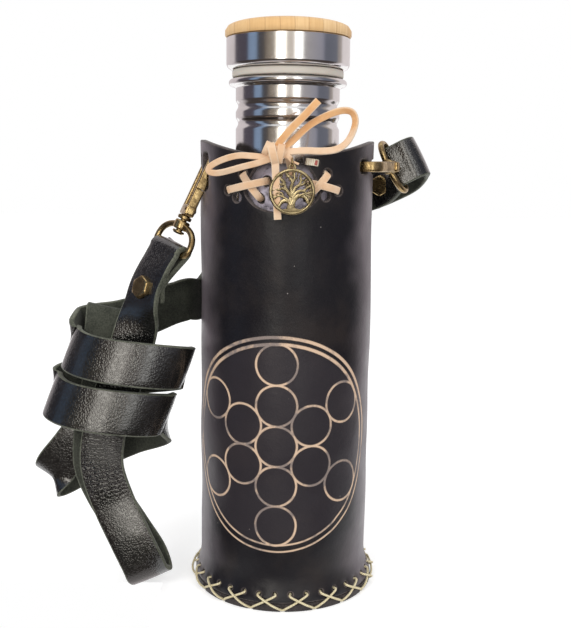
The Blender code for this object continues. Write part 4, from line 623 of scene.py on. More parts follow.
def form_of(shape):
    """The form of an edit mesh, which is then let go."""
    shape.verts.ensure_lookup_table()
    points = [vert.co[:] for vert in shape.verts]
    form = Form(points, [[vert.index for vert in face.verts] for face in shape.faces])
    shape.free()
    return form


def linked(name, data):
    """A new object in the scene."""
    made = bpy.data.objects.new(name, data)
    bpy.context.scene.collection.objects.link(made)
    return made


def add_piece(name, form, finishes, body, nodes=(), slot=None, sharp_degrees=38.0):
    """Make a mesh of the form, let it ride on a body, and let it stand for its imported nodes."""
    mesh = bpy.data.meshes.new(name)
    mesh.from_pydata(form.points.tolist(), [], form.faces)
    mesh.polygons.foreach_set("material_index", form.marks)
    for finish in finishes:
        mesh.materials.append(finish)
    lane = mesh.attributes.new("lane", "FLOAT_VECTOR", "POINT")
    lane.data.foreach_set("vector", form.lanes.astype(np.float32).ravel())
    # This attribute marks the strap's creases and, on laces, where painted shade goes.
    crease_and_shade = mesh.attributes.new("crease_and_shade", "FLOAT", "POINT")
    crease_and_shade.data.foreach_set("value", form.creases_and_shade.astype(np.float32))
    outward(mesh)
    mesh.shade_smooth()
    mesh.set_sharp_from_angle(angle=math.radians(sharp_degrees))
    piece = linked(name, mesh)
    if body:
        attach(piece, body)
    if nodes:
        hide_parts(*nodes)
    print(f"{name}: {len(mesh.polygons)} faces")
    return piece


def outward(mesh):
    """Turn every face to look out of its closed form."""
    shape = bmesh.new()
    shape.from_mesh(mesh)
    bmesh.ops.recalc_face_normals(shape, faces=shape.faces)
    shape.to_mesh(mesh)
    shape.free()


# %% [markdown]
# ## Routes
# A strap or lace follows a smooth line through a handful of known places. A Catmull-Rom curve
# passes through all of them, and the rows that come out are spaced by length, closer where the line
# bends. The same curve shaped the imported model, so a piece made here lies exactly where its solid
# does.

# %% Smooth routes through places


def rounded_route(rows, step):
    """Rows on a smooth line through rows of numbers, of which the first three are a place."""
    rows = np.array(rows, dtype=float)
    rows = np.concatenate([rows[:1] * 2 - rows[1:2], rows, rows[-1:] * 2 - rows[-2:-1]])
    fine = []
    for index in range(1, len(rows) - 2):
        a, b, c, d = rows[index - 1 : index + 3]
        count = max(2, int(math.ceil(np.linalg.norm(c[:3] - b[:3]) / step * 8)))
        for share in np.arange(count) / count:
            fine.append(
                0.5 * (2 * b + (c - a) * share + (2 * a - 5 * b + 4 * c - d) * share**2
                       + (3 * b - a - 3 * c + d) * share**3)
            )
    fine.append(rows[-2])
    return thinned(np.array(fine), step)


def thinned(fine, step, most_turn=12.0):
    """Fewer rows: one for each step, and more where the line bends by most_turn degrees."""
    legs = np.diff(fine[:, :3], axis=0)
    sizes = np.linalg.norm(legs, axis=1)
    ways = legs / sizes[:, None]
    cosines = np.clip((ways[1:] * ways[:-1]).sum(axis=1), -1.0, 1.0)
    turns = np.concatenate([[0.0], np.degrees(np.arccos(cosines))])
    load = np.cumsum(sizes / step + turns / most_turn)
    spots = np.linspace(0.0, load[-1], max(2, int(round(load[-1]))) + 1)
    load = np.concatenate([[0.0], load])
    return np.stack([np.interp(spots, load, fine[:, column]) for column in range(fine.shape[1])], axis=1)


def run_along(points):
    """How far along the route each of its points is."""
    return np.concatenate([[0.0], np.cumsum(np.linalg.norm(np.diff(points, axis=0), axis=1))])


def share_along(points):
    run = run_along(points)
    return run / run[-1]


def unit(vectors):
    return vectors / np.maximum(np.linalg.norm(vectors, axis=-1, keepdims=True), 1e-12)


def full_turn(count):
    """Angles once round, evenly."""
    return np.linspace(0.0, 2 * math.pi, count, endpoint=False)


def pressed(values, power):
    """The values raised to a power, with their signs kept: it squares a circle's corners or softens them."""
    return np.copysign(np.abs(values) ** power, values)


# %% [markdown]
# ## Sweeping a flat band
# The strap's section is a rounded rectangle with a slightly crowned face. At every row of the route
# the section stands square to the route, with its long side on the line across. The faces are
# marked as grain side, cut edge or flesh side by which side of the section they come from.

# %% Band section and sweep
CORNER_STEPS = 3
FACE_STEPS = 6


def band_section(width, thickness, corner, crown=0.0):
    """A rounded rectangle as (across, out) pairs, with a mark for each: 0 face, 1 edge, 2 flesh."""
    pairs = []
    marks = []
    corners = ((1, 1, 0), (-1, 1, 90), (-1, -1, 180), (1, -1, 270))
    for index, (side, level, start) in enumerate(corners):
        for step in range(CORNER_STEPS + 1):
            angle = math.radians(start + 90 * step / CORNER_STEPS)
            across = side * (width / 2 - corner) + corner * math.cos(angle)
            out = level * (thickness / 2 - corner) + corner * math.sin(angle)
            pairs.append((across, out))
            marks.append(1)
        if index in (0, 2):
            marks[-1] = index
            for step in range(1, FACE_STEPS):
                share = 1 - 2 * step / FACE_STEPS
                across = side * share * (width / 2 - corner)
                rise = crown * (1 - share**2) if index == 0 else 0.0
                pairs.append((across, level * (thickness / 2) + rise))
                marks.append(index)
    return np.array(pairs), marks


def swept(middles, across, out, section, marks, closed=False, scales=None):
    """A section carried along middles, with its two directions given at every row."""
    count = len(middles)
    ring = len(section)
    scales = np.ones(count) if scales is None else np.array(scales)
    sizes = section[None, :, :] * scales[:, None, None]
    points = middles[:, None, :] + sizes[..., :1] * across[:, None, :] + sizes[..., 1:] * out[:, None, :]
    run = run_along(middles)
    lanes = np.zeros((count, ring, 3))
    lanes[..., 0] = run[:, None]
    lanes[..., 1:] = section[None, :, :]
    faces = []
    face_marks = []
    for row in range(count if closed else count - 1):
        low = row * ring
        high = (row + 1) % count * ring
        for corner in range(ring):
            beside = (corner + 1) % ring
            faces.append((low + corner, low + beside, high + beside, high + corner))
            face_marks.append(marks[corner])
    if not closed:
        faces += [tuple(range(ring))[::-1], tuple((count - 1) * ring + corner for corner in range(ring))]
        face_marks += [1, 1]
    return Form(points.reshape(-1, 3), faces, face_marks, lanes.reshape(-1, 3))


def band(rows, width, thickness, corner, crown=0.0):
    """A flat strip: rows hold its middle and the line across it."""
    middles = rows[:, :3]
    along = unit(np.gradient(middles, axis=0))
    across = unit(rows[:, 3:6])
    square = unit(across - (across * along).sum(axis=1, keepdims=True) * along)
    out = np.cross(along, square)
    section, marks = band_section(width, thickness, corner, crown)
    return swept(middles, square, out, section, marks)


# %% [markdown]
# ## Round wire and turned shapes
# Cord, rings and hooks are wires. Their section is a superellipse, which is round at power 2 and
# square with soft corners at power 4. A turned shape is a profile of radius and height spun round
# the upright axis.

# %% Wires, lathe and placed blocks
WIRE_SIDE = (0.31, 0.17, 0.93)
BLOCK_SPREAD = 1.35


def wire_frames(points, closed, side_hint):
    """Two directions square to the route at each point, carried on without twisting."""
    if closed:
        along = unit(np.roll(points, -1, axis=0) - np.roll(points, 1, axis=0))
    else:
        along = unit(np.gradient(points, axis=0))
    side = np.array(side_hint, dtype=float)
    sides = []
    for way in along:
        side = side - way * np.dot(side, way)
        side /= np.linalg.norm(side)
        sides.append(side)
    sides = np.array(sides)
    return sides, np.cross(along, sides)


def wire(points, radius, closed=False, side_hint=WIRE_SIDE, steps=12, power=2.0, flat=1.0, scales=None):
    """A wire through points. flat squeezes it across the second direction; scales makes it taper."""
    points = np.array([tuple(point) for point in points], dtype=float)
    sides, outs = wire_frames(points, closed, side_hint)
    angles = full_turn(steps)
    rounds = pressed(np.cos(angles), 2 / power), pressed(np.sin(angles), 2 / power)
    section = np.stack([radius * rounds[0], radius * flat * rounds[1]], axis=1)
    form = swept(points, sides, outs, section, [0] * steps, closed, scales)
    form.marks = [0] * len(form.faces)
    form.lanes[:, 1] = np.tile(angles, len(points))
    return form


def turned(profile, segments=96):
    """A profile of (radius, height) points turned round z; points on the axis close it."""
    profile = np.array(profile, dtype=float)
    angles = full_turn(segments)
    points = []
    rows = []
    for radius, height in profile:
        if radius < 1e-7:
            rows.append([len(points)] * segments)
            points.append((0.0, 0.0, height))
        else:
            rows.append(list(range(len(points), len(points) + segments)))
            points += [(radius * math.cos(angle), radius * math.sin(angle), height) for angle in angles]
    faces = []
    for first, second in zip(rows, rows[1:]):
        for step in range(segments):
            corners = (first[step], first[(step + 1) % segments], second[(step + 1) % segments], second[step])
            faces.append(tuple(dict.fromkeys(corners)))
    return Form(points, [face for face in faces if len(face) > 2])


def soft_block(size, place, corner, steps=3):
    """A box with all its edges rounded, from a cube whose points are pushed in towards an inner box."""
    shape = bmesh.new()
    bmesh.ops.create_cube(shape, size=2.0)
    bmesh.ops.subdivide_edges(shape, edges=shape.edges, cuts=2 * steps + 1, use_grid_fill=True)
    half = Vector(size) / 2
    inner = Vector([max(value - corner, 0.0) for value in half])
    for vert in shape.verts:
        pushed = [max(-1.0, min(1.0, value * BLOCK_SPREAD)) for value in vert.co]
        spread = Vector([value * limit for value, limit in zip(pushed, half)])
        near = Vector([max(-limit, min(limit, value)) for value, limit in zip(spread, inner)])
        beyond = spread - near
        vert.co = near + (beyond.normalized() * corner if beyond.length > 1e-9 else beyond)
    return form_of(shape).moved(place)


print("forms: bands, wires, turned shapes and soft blocks")

# %% [markdown]
# ## Leather cut flat
# A real leather case starts as a flat hide: an outline, a few punched holes, and a thickness. The
# same can be done in code. The outline is filled with triangles by a constrained Delaunay
# triangulation, which makes the grain side; a copy a thickness deeper makes the flesh side, and
# rounded rows along every cut join the two. Only then is the sheet rolled into its place, so holes
# and notch come out clean with soft edges.

# %% Outlines and holes


def loop_area(loop):
    after = np.roll(loop, -1, axis=0)
    return 0.5 * (loop[:, 0] * after[:, 1] - loop[:, 1] * after[:, 0]).sum()


def even_loop(loop, step):
    """The closed line with points every step, corners kept as they fall."""
    loop = np.array(loop, dtype=float)
    closed = np.concatenate([loop, loop[:1]])
    run = run_along(closed)
    count = max(8, int(round(run[-1] / step)))
    spots = np.linspace(0.0, run[-1], count, endpoint=False)
    return np.stack([np.interp(spots, run, closed[:, column]) for column in range(2)], axis=1)


def inset(loop, distance):
    """The loop moved to its left side, which is where the leather is."""
    along = unit(np.roll(loop, -1, axis=0) - np.roll(loop, 1, axis=0))
    left = np.stack([-along[:, 1], along[:, 0]], axis=1)
    return loop + left * distance


def inside(points, loop):
    """Which of the points lie inside the closed line."""
    result = np.zeros(len(points), dtype=bool)
    x, y = points[:, 0], points[:, 1]
    for (ax, ay), (bx, by) in zip(loop, np.roll(loop, -1, axis=0)):
        if ay != by:
            crosses = (ay > y) != (by > y)
            result ^= crosses & (x < (bx - ax) * (y - ay) / (by - ay) + ax)
    return result


def near_loop(points, loop, distance):
    apart = points[:, None, :] - loop[None, :, :]
    return (np.einsum("ijk,ijk->ij", apart, apart) < distance**2).any(axis=1)


print("outlines: evened, inset and tested for what lies inside")

# %% The fill inside the outlines


def filled(loops, step):
    """Triangles that fill the first loop and leave the others open, with their points."""
    outline = loops[0]
    low, high = outline.min(axis=0), outline.max(axis=0)
    columns = np.arange(low[0] + step / 2, high[0], step)
    levels = np.arange(low[1] + step / 2, high[1], step * 0.87)
    shifts = [step / 2 if index % 2 else 0.0 for index in range(len(levels))]
    grid = np.array([(x + shift, y) for shift, y in zip(shifts, levels) for x in columns])
    keep = inside(grid, outline)
    for hole in loops[1:]:
        keep &= ~inside(grid, hole)
    for loop in loops:
        keep &= ~near_loop(grid, loop, step * 0.55)
    points = np.concatenate(loops + [grid[keep]])
    edges = []
    start = 0
    for loop in loops:
        edges += [(start + index, start + (index + 1) % len(loop)) for index in range(len(loop))]
        start += len(loop)
    result = delaunay_2d_cdt([Vector(point) for point in points], edges, [], 0, 1e-9)
    corners = np.array([tuple(point) for point in result[0]])
    if len(corners) != len(points) or np.abs(corners - points).max() > 1e-7:
        print("the fill moved or merged some points")
    triangles = np.array([face for face in result[2] if len(face) == 3])
    middles = corners[triangles].mean(axis=1)
    keep = inside(middles, outline)
    for hole in loops[1:]:
        keep &= ~inside(middles, hole)
    return corners, triangles[keep]


print("fill: a triangular grid, joined to the outlines")

# %% The sheet with its rounded cuts
EDGE_STEPS = 3


def leather_sheet(outline, holes, thickness, corner, step, roll):
    """A closed leather form. roll takes arrays of across, up and depth and gives places."""
    loops = [np.array(loop, dtype=float) for loop in (outline, *holes)]
    loops = [loop[::-1] if (loop_area(loop) > 0) == bool(index) else loop for index, loop in enumerate(loops)]
    flat, triangles = filled([inset(loop, corner) for loop in loops], step)
    count = len(flat)
    points = [roll(flat[:, 0], flat[:, 1], depth) for depth in (np.zeros(count), np.full(count, thickness))]
    faces = [tuple(face) for face in triangles] + [tuple(face[::-1] + count) for face in triangles]
    marks = [0] * len(triangles) + [2] * len(triangles)
    total = 2 * count
    start = 0
    angles = [math.pi / 2 * step_index / EDGE_STEPS for step_index in range(1, EDGE_STEPS + 1)]
    for loop in loops:
        size = len(loop)
        rows = [np.arange(size) + start]
        levels = [(corner * (1 - math.sin(angle)), corner * (1 - math.cos(angle))) for angle in angles]
        levels += [(back, thickness - depth) for back, depth in levels[::-1]]
        for back, depth in levels:
            ring = inset(loop, back)
            points.append(roll(ring[:, 0], ring[:, 1], np.full(size, depth)))
            rows.append(np.arange(size) + total)
            total += size
        rows.append(np.arange(size) + start + count)
        for first, second in zip(rows, rows[1:]):
            for index in range(size):
                beside = (index + 1) % size
                faces.append((first[index], second[index], second[beside], first[beside]))
                marks.append(1)
        start += size
    return Form(np.concatenate(points), faces, marks)


print("leather is cut flat, then rolled")

# %% [markdown]
# ## The tube
# The case is one hide rolled round a former and closed at the back with a butt seam. Its rim dips
# at the front and has an opening shaped like a keyhole. Holes for the laces, the clasps and the
# base's crosses are punched before rolling. A slow wobble of a few tenths of a millimetre breaks
# the mirror-straight highlights, as handwork does.

# %% Places on the tube
CASE_WALL = 0.003
SEAT_GAP = 0.0003
RIM_SIDE_HEIGHT = 0.211
RIM_FRONT_HEIGHT = 0.2036
BASE_RADIUS = 0.0430
BASE_THICKNESS = 0.0036
CASE_FOOT = BASE_THICKNESS + SEAT_GAP
FLARE_START = CASE_FOOT + 0.0010
FLARE_HEIGHT = 0.0120
FLARE_REACH = 0.0029
NOTCH_WIDTH = 0.032
NOTCH_DEPTH = 0.0239
NOTCH_CENTRE_X = -0.0018
NOTCH_SHARES = ((0.53, 1.0), (0.62, 0.87), (0.86, 0.63), (1.0, 0.37), (0.8, 0.16), (0.5, 0.055))
WOBBLE = 0.0006
WOBBLE_SIZE = 0.030


def azimuth_vector(degrees):
    """The way out from the axis, at so many degrees to the right of the front."""
    angle = math.radians(degrees)
    return Vector((math.sin(angle), -math.cos(angle), 0.0))


def around(degrees, radius, height):
    """A place by its azimuth, its distance from the axis and its height."""
    return azimuth_vector(degrees) * radius + Vector((0.0, 0.0, height))


def wall_radii(heights):
    """The tube's outer radius at each height: it flares over the base."""
    share = np.clip(1 - np.clip(heights - FLARE_START, 0.0, None) / FLARE_HEIGHT, 0.0, None)
    return CASE_RADIUS + FLARE_REACH * share**2


def rim_heights(angles):
    return RIM_FRONT_HEIGHT + (RIM_SIDE_HEIGHT - RIM_FRONT_HEIGHT) * np.sin(angles) ** 2


def notch_place(width_share, height_share):
    """A place by the opening: to the right of the axis, and height."""
    across = NOTCH_CENTRE_X + width_share * NOTCH_WIDTH / 2
    return across, RIM_FRONT_HEIGHT - NOTCH_DEPTH * (1 - height_share)


def on_hide(across, height):
    """The same place on the flat hide, where across is measured along the curve."""
    return CASE_RADIUS * math.asin(across / CASE_RADIUS), height


def in_front(place):
    """A place from how far it is right of the axis, out from the wall and up from the rim's front."""
    across, out, rise = place
    return Vector((across, -CASE_RADIUS - out, RIM_FRONT_HEIGHT + rise))


def wobbled(points):
    return np.array([noise.noise(Vector(point) / WOBBLE_SIZE) for point in points]) * WOBBLE


def rolled(across, up, depth):
    """Roll the flat hide into the tube."""
    angle = across / CASE_RADIUS
    ways = np.stack([np.sin(angle), -np.cos(angle), np.zeros_like(angle)], axis=1)
    points = ways * CASE_RADIUS
    points[:, 2] = up
    points = ways * (wall_radii(up) - depth + wobbled(points))[:, None]
    points[:, 2] = up
    return points


# %% Holes in the hide
LACE_HOLES = ((-1.47, 0.385), (-1.05, 0.678), (-1.22, 0.26), (1.5, 0.393), (1.19, 0.695), (1.16, 0.30))
LACE_HOLE_RADIUS = 0.0021
STITCH_HOLES = ((0.66, 0.905), (0.89, 0.885))
STITCH_HOLE_RADIUS = 0.0012
CROSS_COUNT = 18
CROSS_HOLE_RADIUS = 0.0010
CROSS_HOLE_LINE = 0.0076
CROSS_HALF_SHARE = 0.25
HOOK_HALF_WIDTH = 0.0052
LEFT_CLASP_AZIMUTH = -75.0
RIGHT_CLASP_AZIMUTH = 66.5
SLOT_WIDTH = 0.0078
SLOT_CORNER = 0.0022
SLOT_STEP = 0.0008
LEFT_SLOT = (0.1968, 0.0166)
RIGHT_SLOT = (0.1995, 0.0064)
RIGHT_REAR_SPAN = (72.9, 101.9)


def round_loop(across, up, radius, count=20):
    angles = full_turn(count)
    return np.stack([across + radius * np.cos(angles), up + radius * np.sin(angles)], axis=1)


def soft_rectangle(across, up, width, tall, corner, step=SLOT_STEP):
    """A rectangle with round corners, as an even loop."""
    points = []
    for start, side, level in ((0, 1, 1), (90, -1, 1), (180, -1, -1), (270, 1, -1)):
        for turn in range(start, start + 91, 15):
            x = across + side * (width / 2 - corner) + corner * math.cos(math.radians(turn))
            points.append((x, up + level * (tall / 2 - corner) + corner * math.sin(math.radians(turn))))
    return even_loop(points, step)


def cross_hole_azimuths():
    pitch = 360.0 / CROSS_COUNT
    for index in range(CROSS_COUNT):
        middle = (index + 0.5) * pitch
        yield middle - pitch * CROSS_HALF_SHARE, middle + pitch * CROSS_HALF_SHARE


def slot_spans():
    """Azimuth, height, width and height of each slot for the clasps."""
    half = math.degrees(math.asin(HOOK_HALF_WIDTH / (CASE_RADIUS - CASE_WALL / 2)))
    front = RIGHT_CLASP_AZIMUTH - math.degrees(math.asin(HOOK_HALF_WIDTH / CASE_RADIUS))
    low, high = RIGHT_REAR_SPAN
    yield LEFT_CLASP_AZIMUTH - half, LEFT_SLOT[0], SLOT_WIDTH, LEFT_SLOT[1]
    yield LEFT_CLASP_AZIMUTH + half, LEFT_SLOT[0], SLOT_WIDTH, LEFT_SLOT[1]
    yield front, RIGHT_SLOT[0], SLOT_WIDTH, RIGHT_SLOT[1]
    yield (low + high) / 2, RIGHT_SLOT[0], math.radians(high - low) * CASE_RADIUS, RIGHT_SLOT[1]


def hide_holes():
    """The holes for laces, stitch and crosses, then the slots."""
    holes = [round_loop(*on_hide(*notch_place(*place)), LACE_HOLE_RADIUS) for place in LACE_HOLES]
    holes += [round_loop(*on_hide(*notch_place(*place)), STITCH_HOLE_RADIUS, 14) for place in STITCH_HOLES]
    for azimuth in [azimuth for pair in cross_hole_azimuths() for azimuth in pair]:
        across = math.radians((azimuth + 180.0) % 360.0 - 180.0) * CASE_RADIUS
        holes.append(round_loop(across, CROSS_HOLE_LINE, CROSS_HOLE_RADIUS, 12))
    for azimuth, height, width, tall in slot_spans():
        holes.append(soft_rectangle(math.radians(azimuth) * CASE_RADIUS, height, width, tall, SLOT_CORNER))
    return holes


# %% The rolled hide
SEAM_GAP = 0.0005
HIDE_STEP = 0.0021
HIDE_CORNER = 0.0006
RIM_STEP = 0.0012
NOTCH_STEP = 0.0010
RIM_STEPS = 90
RIM_SHARE_LEFT_OUT = 0.02


def hide_outline():
    """Round the hide: foot, back edge, rim, the opening, rim, back edge."""
    half = math.pi - SEAM_GAP / 2 / CASE_RADIUS
    right = [notch_place(*place) for place in NOTCH_SHARES]
    left = [notch_place(-width, height) for width, height in NOTCH_SHARES[::-1]]
    notch = [on_hide(*place) for place in right + [notch_place(0.0, 0.0)] + left]
    curve = rounded_route([(across, up, 0.0) for across, up in notch], NOTCH_STEP)[:, :2]
    first = curve[0, 0] / CASE_RADIUS + RIM_SHARE_LEFT_OUT
    last = curve[-1, 0] / CASE_RADIUS - RIM_SHARE_LEFT_OUT
    rims = []
    for start, end in ((half, first), (last, -half)):
        angles = np.linspace(start, end, RIM_STEPS)
        rims.append([(angle * CASE_RADIUS, rim_heights(angle)) for angle in angles])
    feet = [(-half * CASE_RADIUS, CASE_FOOT), (half * CASE_RADIUS, CASE_FOOT)]
    return even_loop(feet + rims[0] + curve.tolist() + rims[1], RIM_STEP)


HIDE_FINISHES = (CASE_LEATHER, CASE_EDGE, CASE_FLESH)
hide = leather_sheet(hide_outline(), hide_holes(), CASE_WALL, HIDE_CORNER, HIDE_STEP, rolled)
add_piece("rolled_hide", hide, HIDE_FINISHES, "case", ("case_body",), "case_leather")

# %% [markdown]
# ## Base and tongue
# The base is a thick disc that stands out a little under the tube, with a shallow scallop wherever
# two crosses meet its edge. The tongue is a soft tab behind the opening that bulges out through it,
# with a painted highlight on its bulge and a painted shadow along its top.

# %% Base disc
SCALLOP_RADIUS = 0.0010
BASE_CORNER = 0.0006
BASE_STEP = 0.0030
BASE_EDGE_POINTS = 432


def base_outline():
    """A circle with a small bite where two crosses meet."""
    angles = full_turn(BASE_EDGE_POINTS)
    pitch = 2 * math.pi / CROSS_COUNT
    off = (angles + pitch / 2) % pitch - pitch / 2
    beside = BASE_RADIUS * np.sin(off)
    cut = BASE_RADIUS * np.cos(off) - np.sqrt(np.clip(SCALLOP_RADIUS**2 - beside**2, 0.0, None))
    radii = np.where(np.abs(beside) < SCALLOP_RADIUS, cut, BASE_RADIUS)
    return np.stack([radii * np.sin(angles), -radii * np.cos(angles)], axis=1)


def laid_flat(across, up, depth):
    return np.stack([across, up, BASE_THICKNESS - depth], axis=1)


BASE_FINISHES = (PLAIN_LEATHER, BASE_EDGE, CASE_FLESH)
base = leather_sheet(base_outline(), [], BASE_THICKNESS, BASE_CORNER, BASE_STEP, laid_flat)
add_piece("base_disc", base, BASE_FINISHES, "case", ("case_base",), "case_leather")

# %% Tongue
TONGUE_THICKNESS = 0.0020
TONGUE_MARGIN = 0.0055
TONGUE_TOP_DROP = 0.0030
TONGUE_BULGE = 0.0036
TONGUE_GAP = 0.0005
TONGUE_CORNER = 0.004
TONGUE_EDGE = 0.0005
TONGUE_STEP = 0.0011
BULGE_DROP_SHARE = 0.56
BULGE_WIDTH_SHARE = 0.74
BULGE_HEIGHT_SHARE = 0.80
TONGUE_HOLES = ((-0.42, 0.56), (-0.62, 0.25), (0.72, 0.54), (0.70, 0.28))
TONGUE_HOLE_RADIUS = LACE_HOLE_RADIUS * 0.95


def tongue_radii(across, height):
    """How far from the axis the tongue's face is: it bulges round the opening's middle."""
    middle = RIM_FRONT_HEIGHT - NOTCH_DEPTH * BULGE_DROP_SHARE
    side = (across - NOTCH_CENTRE_X) / (NOTCH_WIDTH / 2 * BULGE_WIDTH_SHARE)
    rise = (height - middle) / (NOTCH_DEPTH / 2 * BULGE_HEIGHT_SHARE)
    swell = np.clip(1 - side**2 - rise**2, 0.0, None)
    return CASE_RADIUS - CASE_WALL - TONGUE_GAP + TONGUE_BULGE * np.sqrt(swell * (2 - swell))


def tongue_roll(across, up, depth):
    angle = np.arcsin(across / CASE_RADIUS)
    radius = tongue_radii(across, up) - depth
    return np.stack([radius * np.sin(angle), -radius * np.cos(angle), up], axis=1)


def tongue():
    low = RIM_FRONT_HEIGHT - NOTCH_DEPTH - TONGUE_MARGIN
    high = RIM_FRONT_HEIGHT - TONGUE_TOP_DROP
    width = NOTCH_WIDTH + 2 * TONGUE_MARGIN
    outline = soft_rectangle(NOTCH_CENTRE_X, (low + high) / 2, width, high - low, TONGUE_CORNER)
    holes = [round_loop(*notch_place(*place), TONGUE_HOLE_RADIUS) for place in TONGUE_HOLES]
    return leather_sheet(outline, holes, TONGUE_THICKNESS, TONGUE_EDGE, TONGUE_STEP, tongue_roll)


TONGUE_FINISHES = (TONGUE_LEATHER, CASE_EDGE, CASE_FLESH)
add_piece("tongue", tongue(), TONGUE_FINISHES, "case", ("front_gusset",), "case_leather")

# %% [markdown]
# ## Crosses of waxed cord
# One cord runs round the base in a row of crosses: out of a hole, down across its neighbour, under
# the edge and up again. Each arm is a wire along its own route, and one arm of every pair stands
# off by a cord's thickness, so that it really passes over the other.

# %% Base crosses
CROSS_CORD_RADIUS = 0.00075
CROSS_FOOT_HEIGHT = 0.0012
CROSS_STEP = 0.0007
CORD_DRAWN_RADIUS = 0.00052
CORD_STAND = CROSS_CORD_RADIUS * 0.9
HOLE_DIP = 0.0004
FOOT_DIP = 0.0002


def cross_arm(hole_azimuth, foot_azimuth, lift):
    """From inside its hole over the wall and the base's edge to the foot."""
    top = CROSS_HOLE_LINE
    across = foot_azimuth - hole_azimuth
    wall = float(wall_radii(top))
    spots = [around(hole_azimuth, wall - CASE_WALL / 2, top)]
    spots.append(around(hole_azimuth, wall + CORD_STAND + lift * 0.6, top - HOLE_DIP))
    for share in (0.5, 0.8):
        height = top + (CROSS_FOOT_HEIGHT - top) * share
        radius = max(float(wall_radii(height)), BASE_RADIUS) + CORD_STAND + lift * (1.5 - share)
        spots.append(around(hole_azimuth + across * share, radius, height))
    under = BASE_RADIUS - CROSS_CORD_RADIUS * 0.4
    spots.append(around(hole_azimuth + across * 0.96, under, CROSS_FOOT_HEIGHT - FOOT_DIP))
    return [tuple(spot) for spot in spots]


def base_crosses():
    pitch = 360.0 / CROSS_COUNT
    holes = list(cross_hole_azimuths())
    holes.append((holes[0][0] + 360.0, holes[0][1] + 360.0))
    strands = []
    for index in range(CROSS_COUNT):
        foot = (index + 1) * pitch
        over = cross_arm(holes[index][0], foot, CROSS_CORD_RADIUS * 1.3)
        under = cross_arm(holes[index + 1][1], foot, 0.0)
        strands.append(wire(rounded_route(over + under[::-1], CROSS_STEP), CORD_DRAWN_RADIUS))
    return merged(strands)


add_piece("base_crosses", base_crosses(), (WAXED_CORD,), "case", ("base_stitching",), "cord")

# %% Back seam
SEAM_PITCH = 0.0145
SEAM_HALF_WIDTH = 0.0045
SEAM_BOTTOM = 0.022
SEAM_STEP = 0.0010


def seam_strand(side, lift):
    """One cord that climbs the seam from side to side, and stands off where it crosses the middle."""
    stand = CASE_RADIUS + CORD_STAND
    half = math.degrees(SEAM_HALF_WIDTH / CASE_RADIUS)
    count = int((RIM_FRONT_HEIGHT - SEAM_PITCH / 2 - SEAM_BOTTOM) / SEAM_PITCH)
    spots = []
    for index in range(count + 1):
        height = SEAM_BOTTOM + index * SEAM_PITCH
        spots.append(around(180.0 + side * half * (1 if index % 2 else -1), stand, height))
        if index < count:
            spots.append(around(180.0, stand + lift, height + SEAM_PITCH / 2))
    return wire(rounded_route([tuple(spot) for spot in spots], SEAM_STEP), CORD_DRAWN_RADIUS)


seam = merged([seam_strand(1, 0.0), seam_strand(-1, CROSS_CORD_RADIUS * 1.4)])
add_piece("seam_crosses", seam, (WAXED_CORD,), "case", ("seam_stitching",), "cord")

# %% [markdown]
# ## Laces over the opening
# On either side a pair of laces crosses from the hide into the tongue. A lace is a narrow band that
# dives into a hole at both ends, so its route is bent sharply there and the band follows it down.

# %% Crossed laces
LACE_WIDTH = 0.0032
LACE_THICKNESS = 0.0013
LACE_CORNER = 0.00038
LACE_CROWN = 0.0001
LACE_STEP = 0.0008
LACE_STAND_OFF = 0.0004
LEFT_LACES = ((LACE_HOLES[1], TONGUE_HOLES[1]), (LACE_HOLES[0], TONGUE_HOLES[0]))
RIGHT_LACES = ((LACE_HOLES[4], TONGUE_HOLES[3]), (LACE_HOLES[3], TONGUE_HOLES[2]))


def on_wall(across, radius, height):
    """The same as around, with the azimuth given by how far right of the axis it is on the wall."""
    return around(math.degrees(math.asin(across / CASE_RADIUS)), radius, height)


def laid_lace(places, square, crown=0.0, width=LACE_WIDTH, thickness=LACE_THICKNESS, step=LACE_STEP):
    """A lace through places, with the same line across it all along."""
    route = rounded_route([tuple(place) for place in places], step)
    rows = np.concatenate([route, np.tile(np.array(square), (len(route), 1))], axis=1)
    return band(rows, width, thickness, LACE_CORNER, crown)


def stitched(start, end, stops, **shape):
    """A lace from place to place: each stop is a share of the way and a distance from the axis."""
    way = np.array(end) - start
    places = []
    for share, radius in stops:
        across, height = start + way * share
        places.append(on_wall(across, radius, height))
    return laid_lace(places, Vector((-way[1], 0.0, way[0])).normalized(), **shape)


def lace_between(start, end, lift):
    """Out of a hole in the hide, and into one in the tongue."""
    start, end = notch_place(*start), notch_place(*end)
    over = LACE_THICKNESS / 2 + LACE_STAND_OFF
    inner = float(tongue_radii(*end))
    stops = (
        (-0.03, CASE_RADIUS - CASE_WALL * 0.7), (0.0, CASE_RADIUS - LACE_THICKNESS * 0.3),
        (0.10, CASE_RADIUS + over), (0.5, CASE_RADIUS + over + lift), (0.86, inner + over * 1.7),
        (0.98, inner + over * 0.4), (1.03, inner - TONGUE_THICKNESS),
    )
    return stitched(start, end, stops, crown=LACE_CROWN)


def add_lace(name, form, node):
    add_piece(name, form, (LACE,) * 3, "case", (node,), "lace")


for side, pairs in (("left", LEFT_LACES), ("right", RIGHT_LACES)):
    strands = [lace_between(*pair, index * LACE_THICKNESS) for index, pair in enumerate(pairs)]
    add_lace(side + "_laces", merged(strands), "lacing_" + side)

# %% [markdown]
# ## The bow
# A bow is only four lace ends and a knot. Each end has its own route, traced from the photograph. A
# lace never lies quite flat, so it's given a little twist along its length, which makes its cut
# edge show here and there.

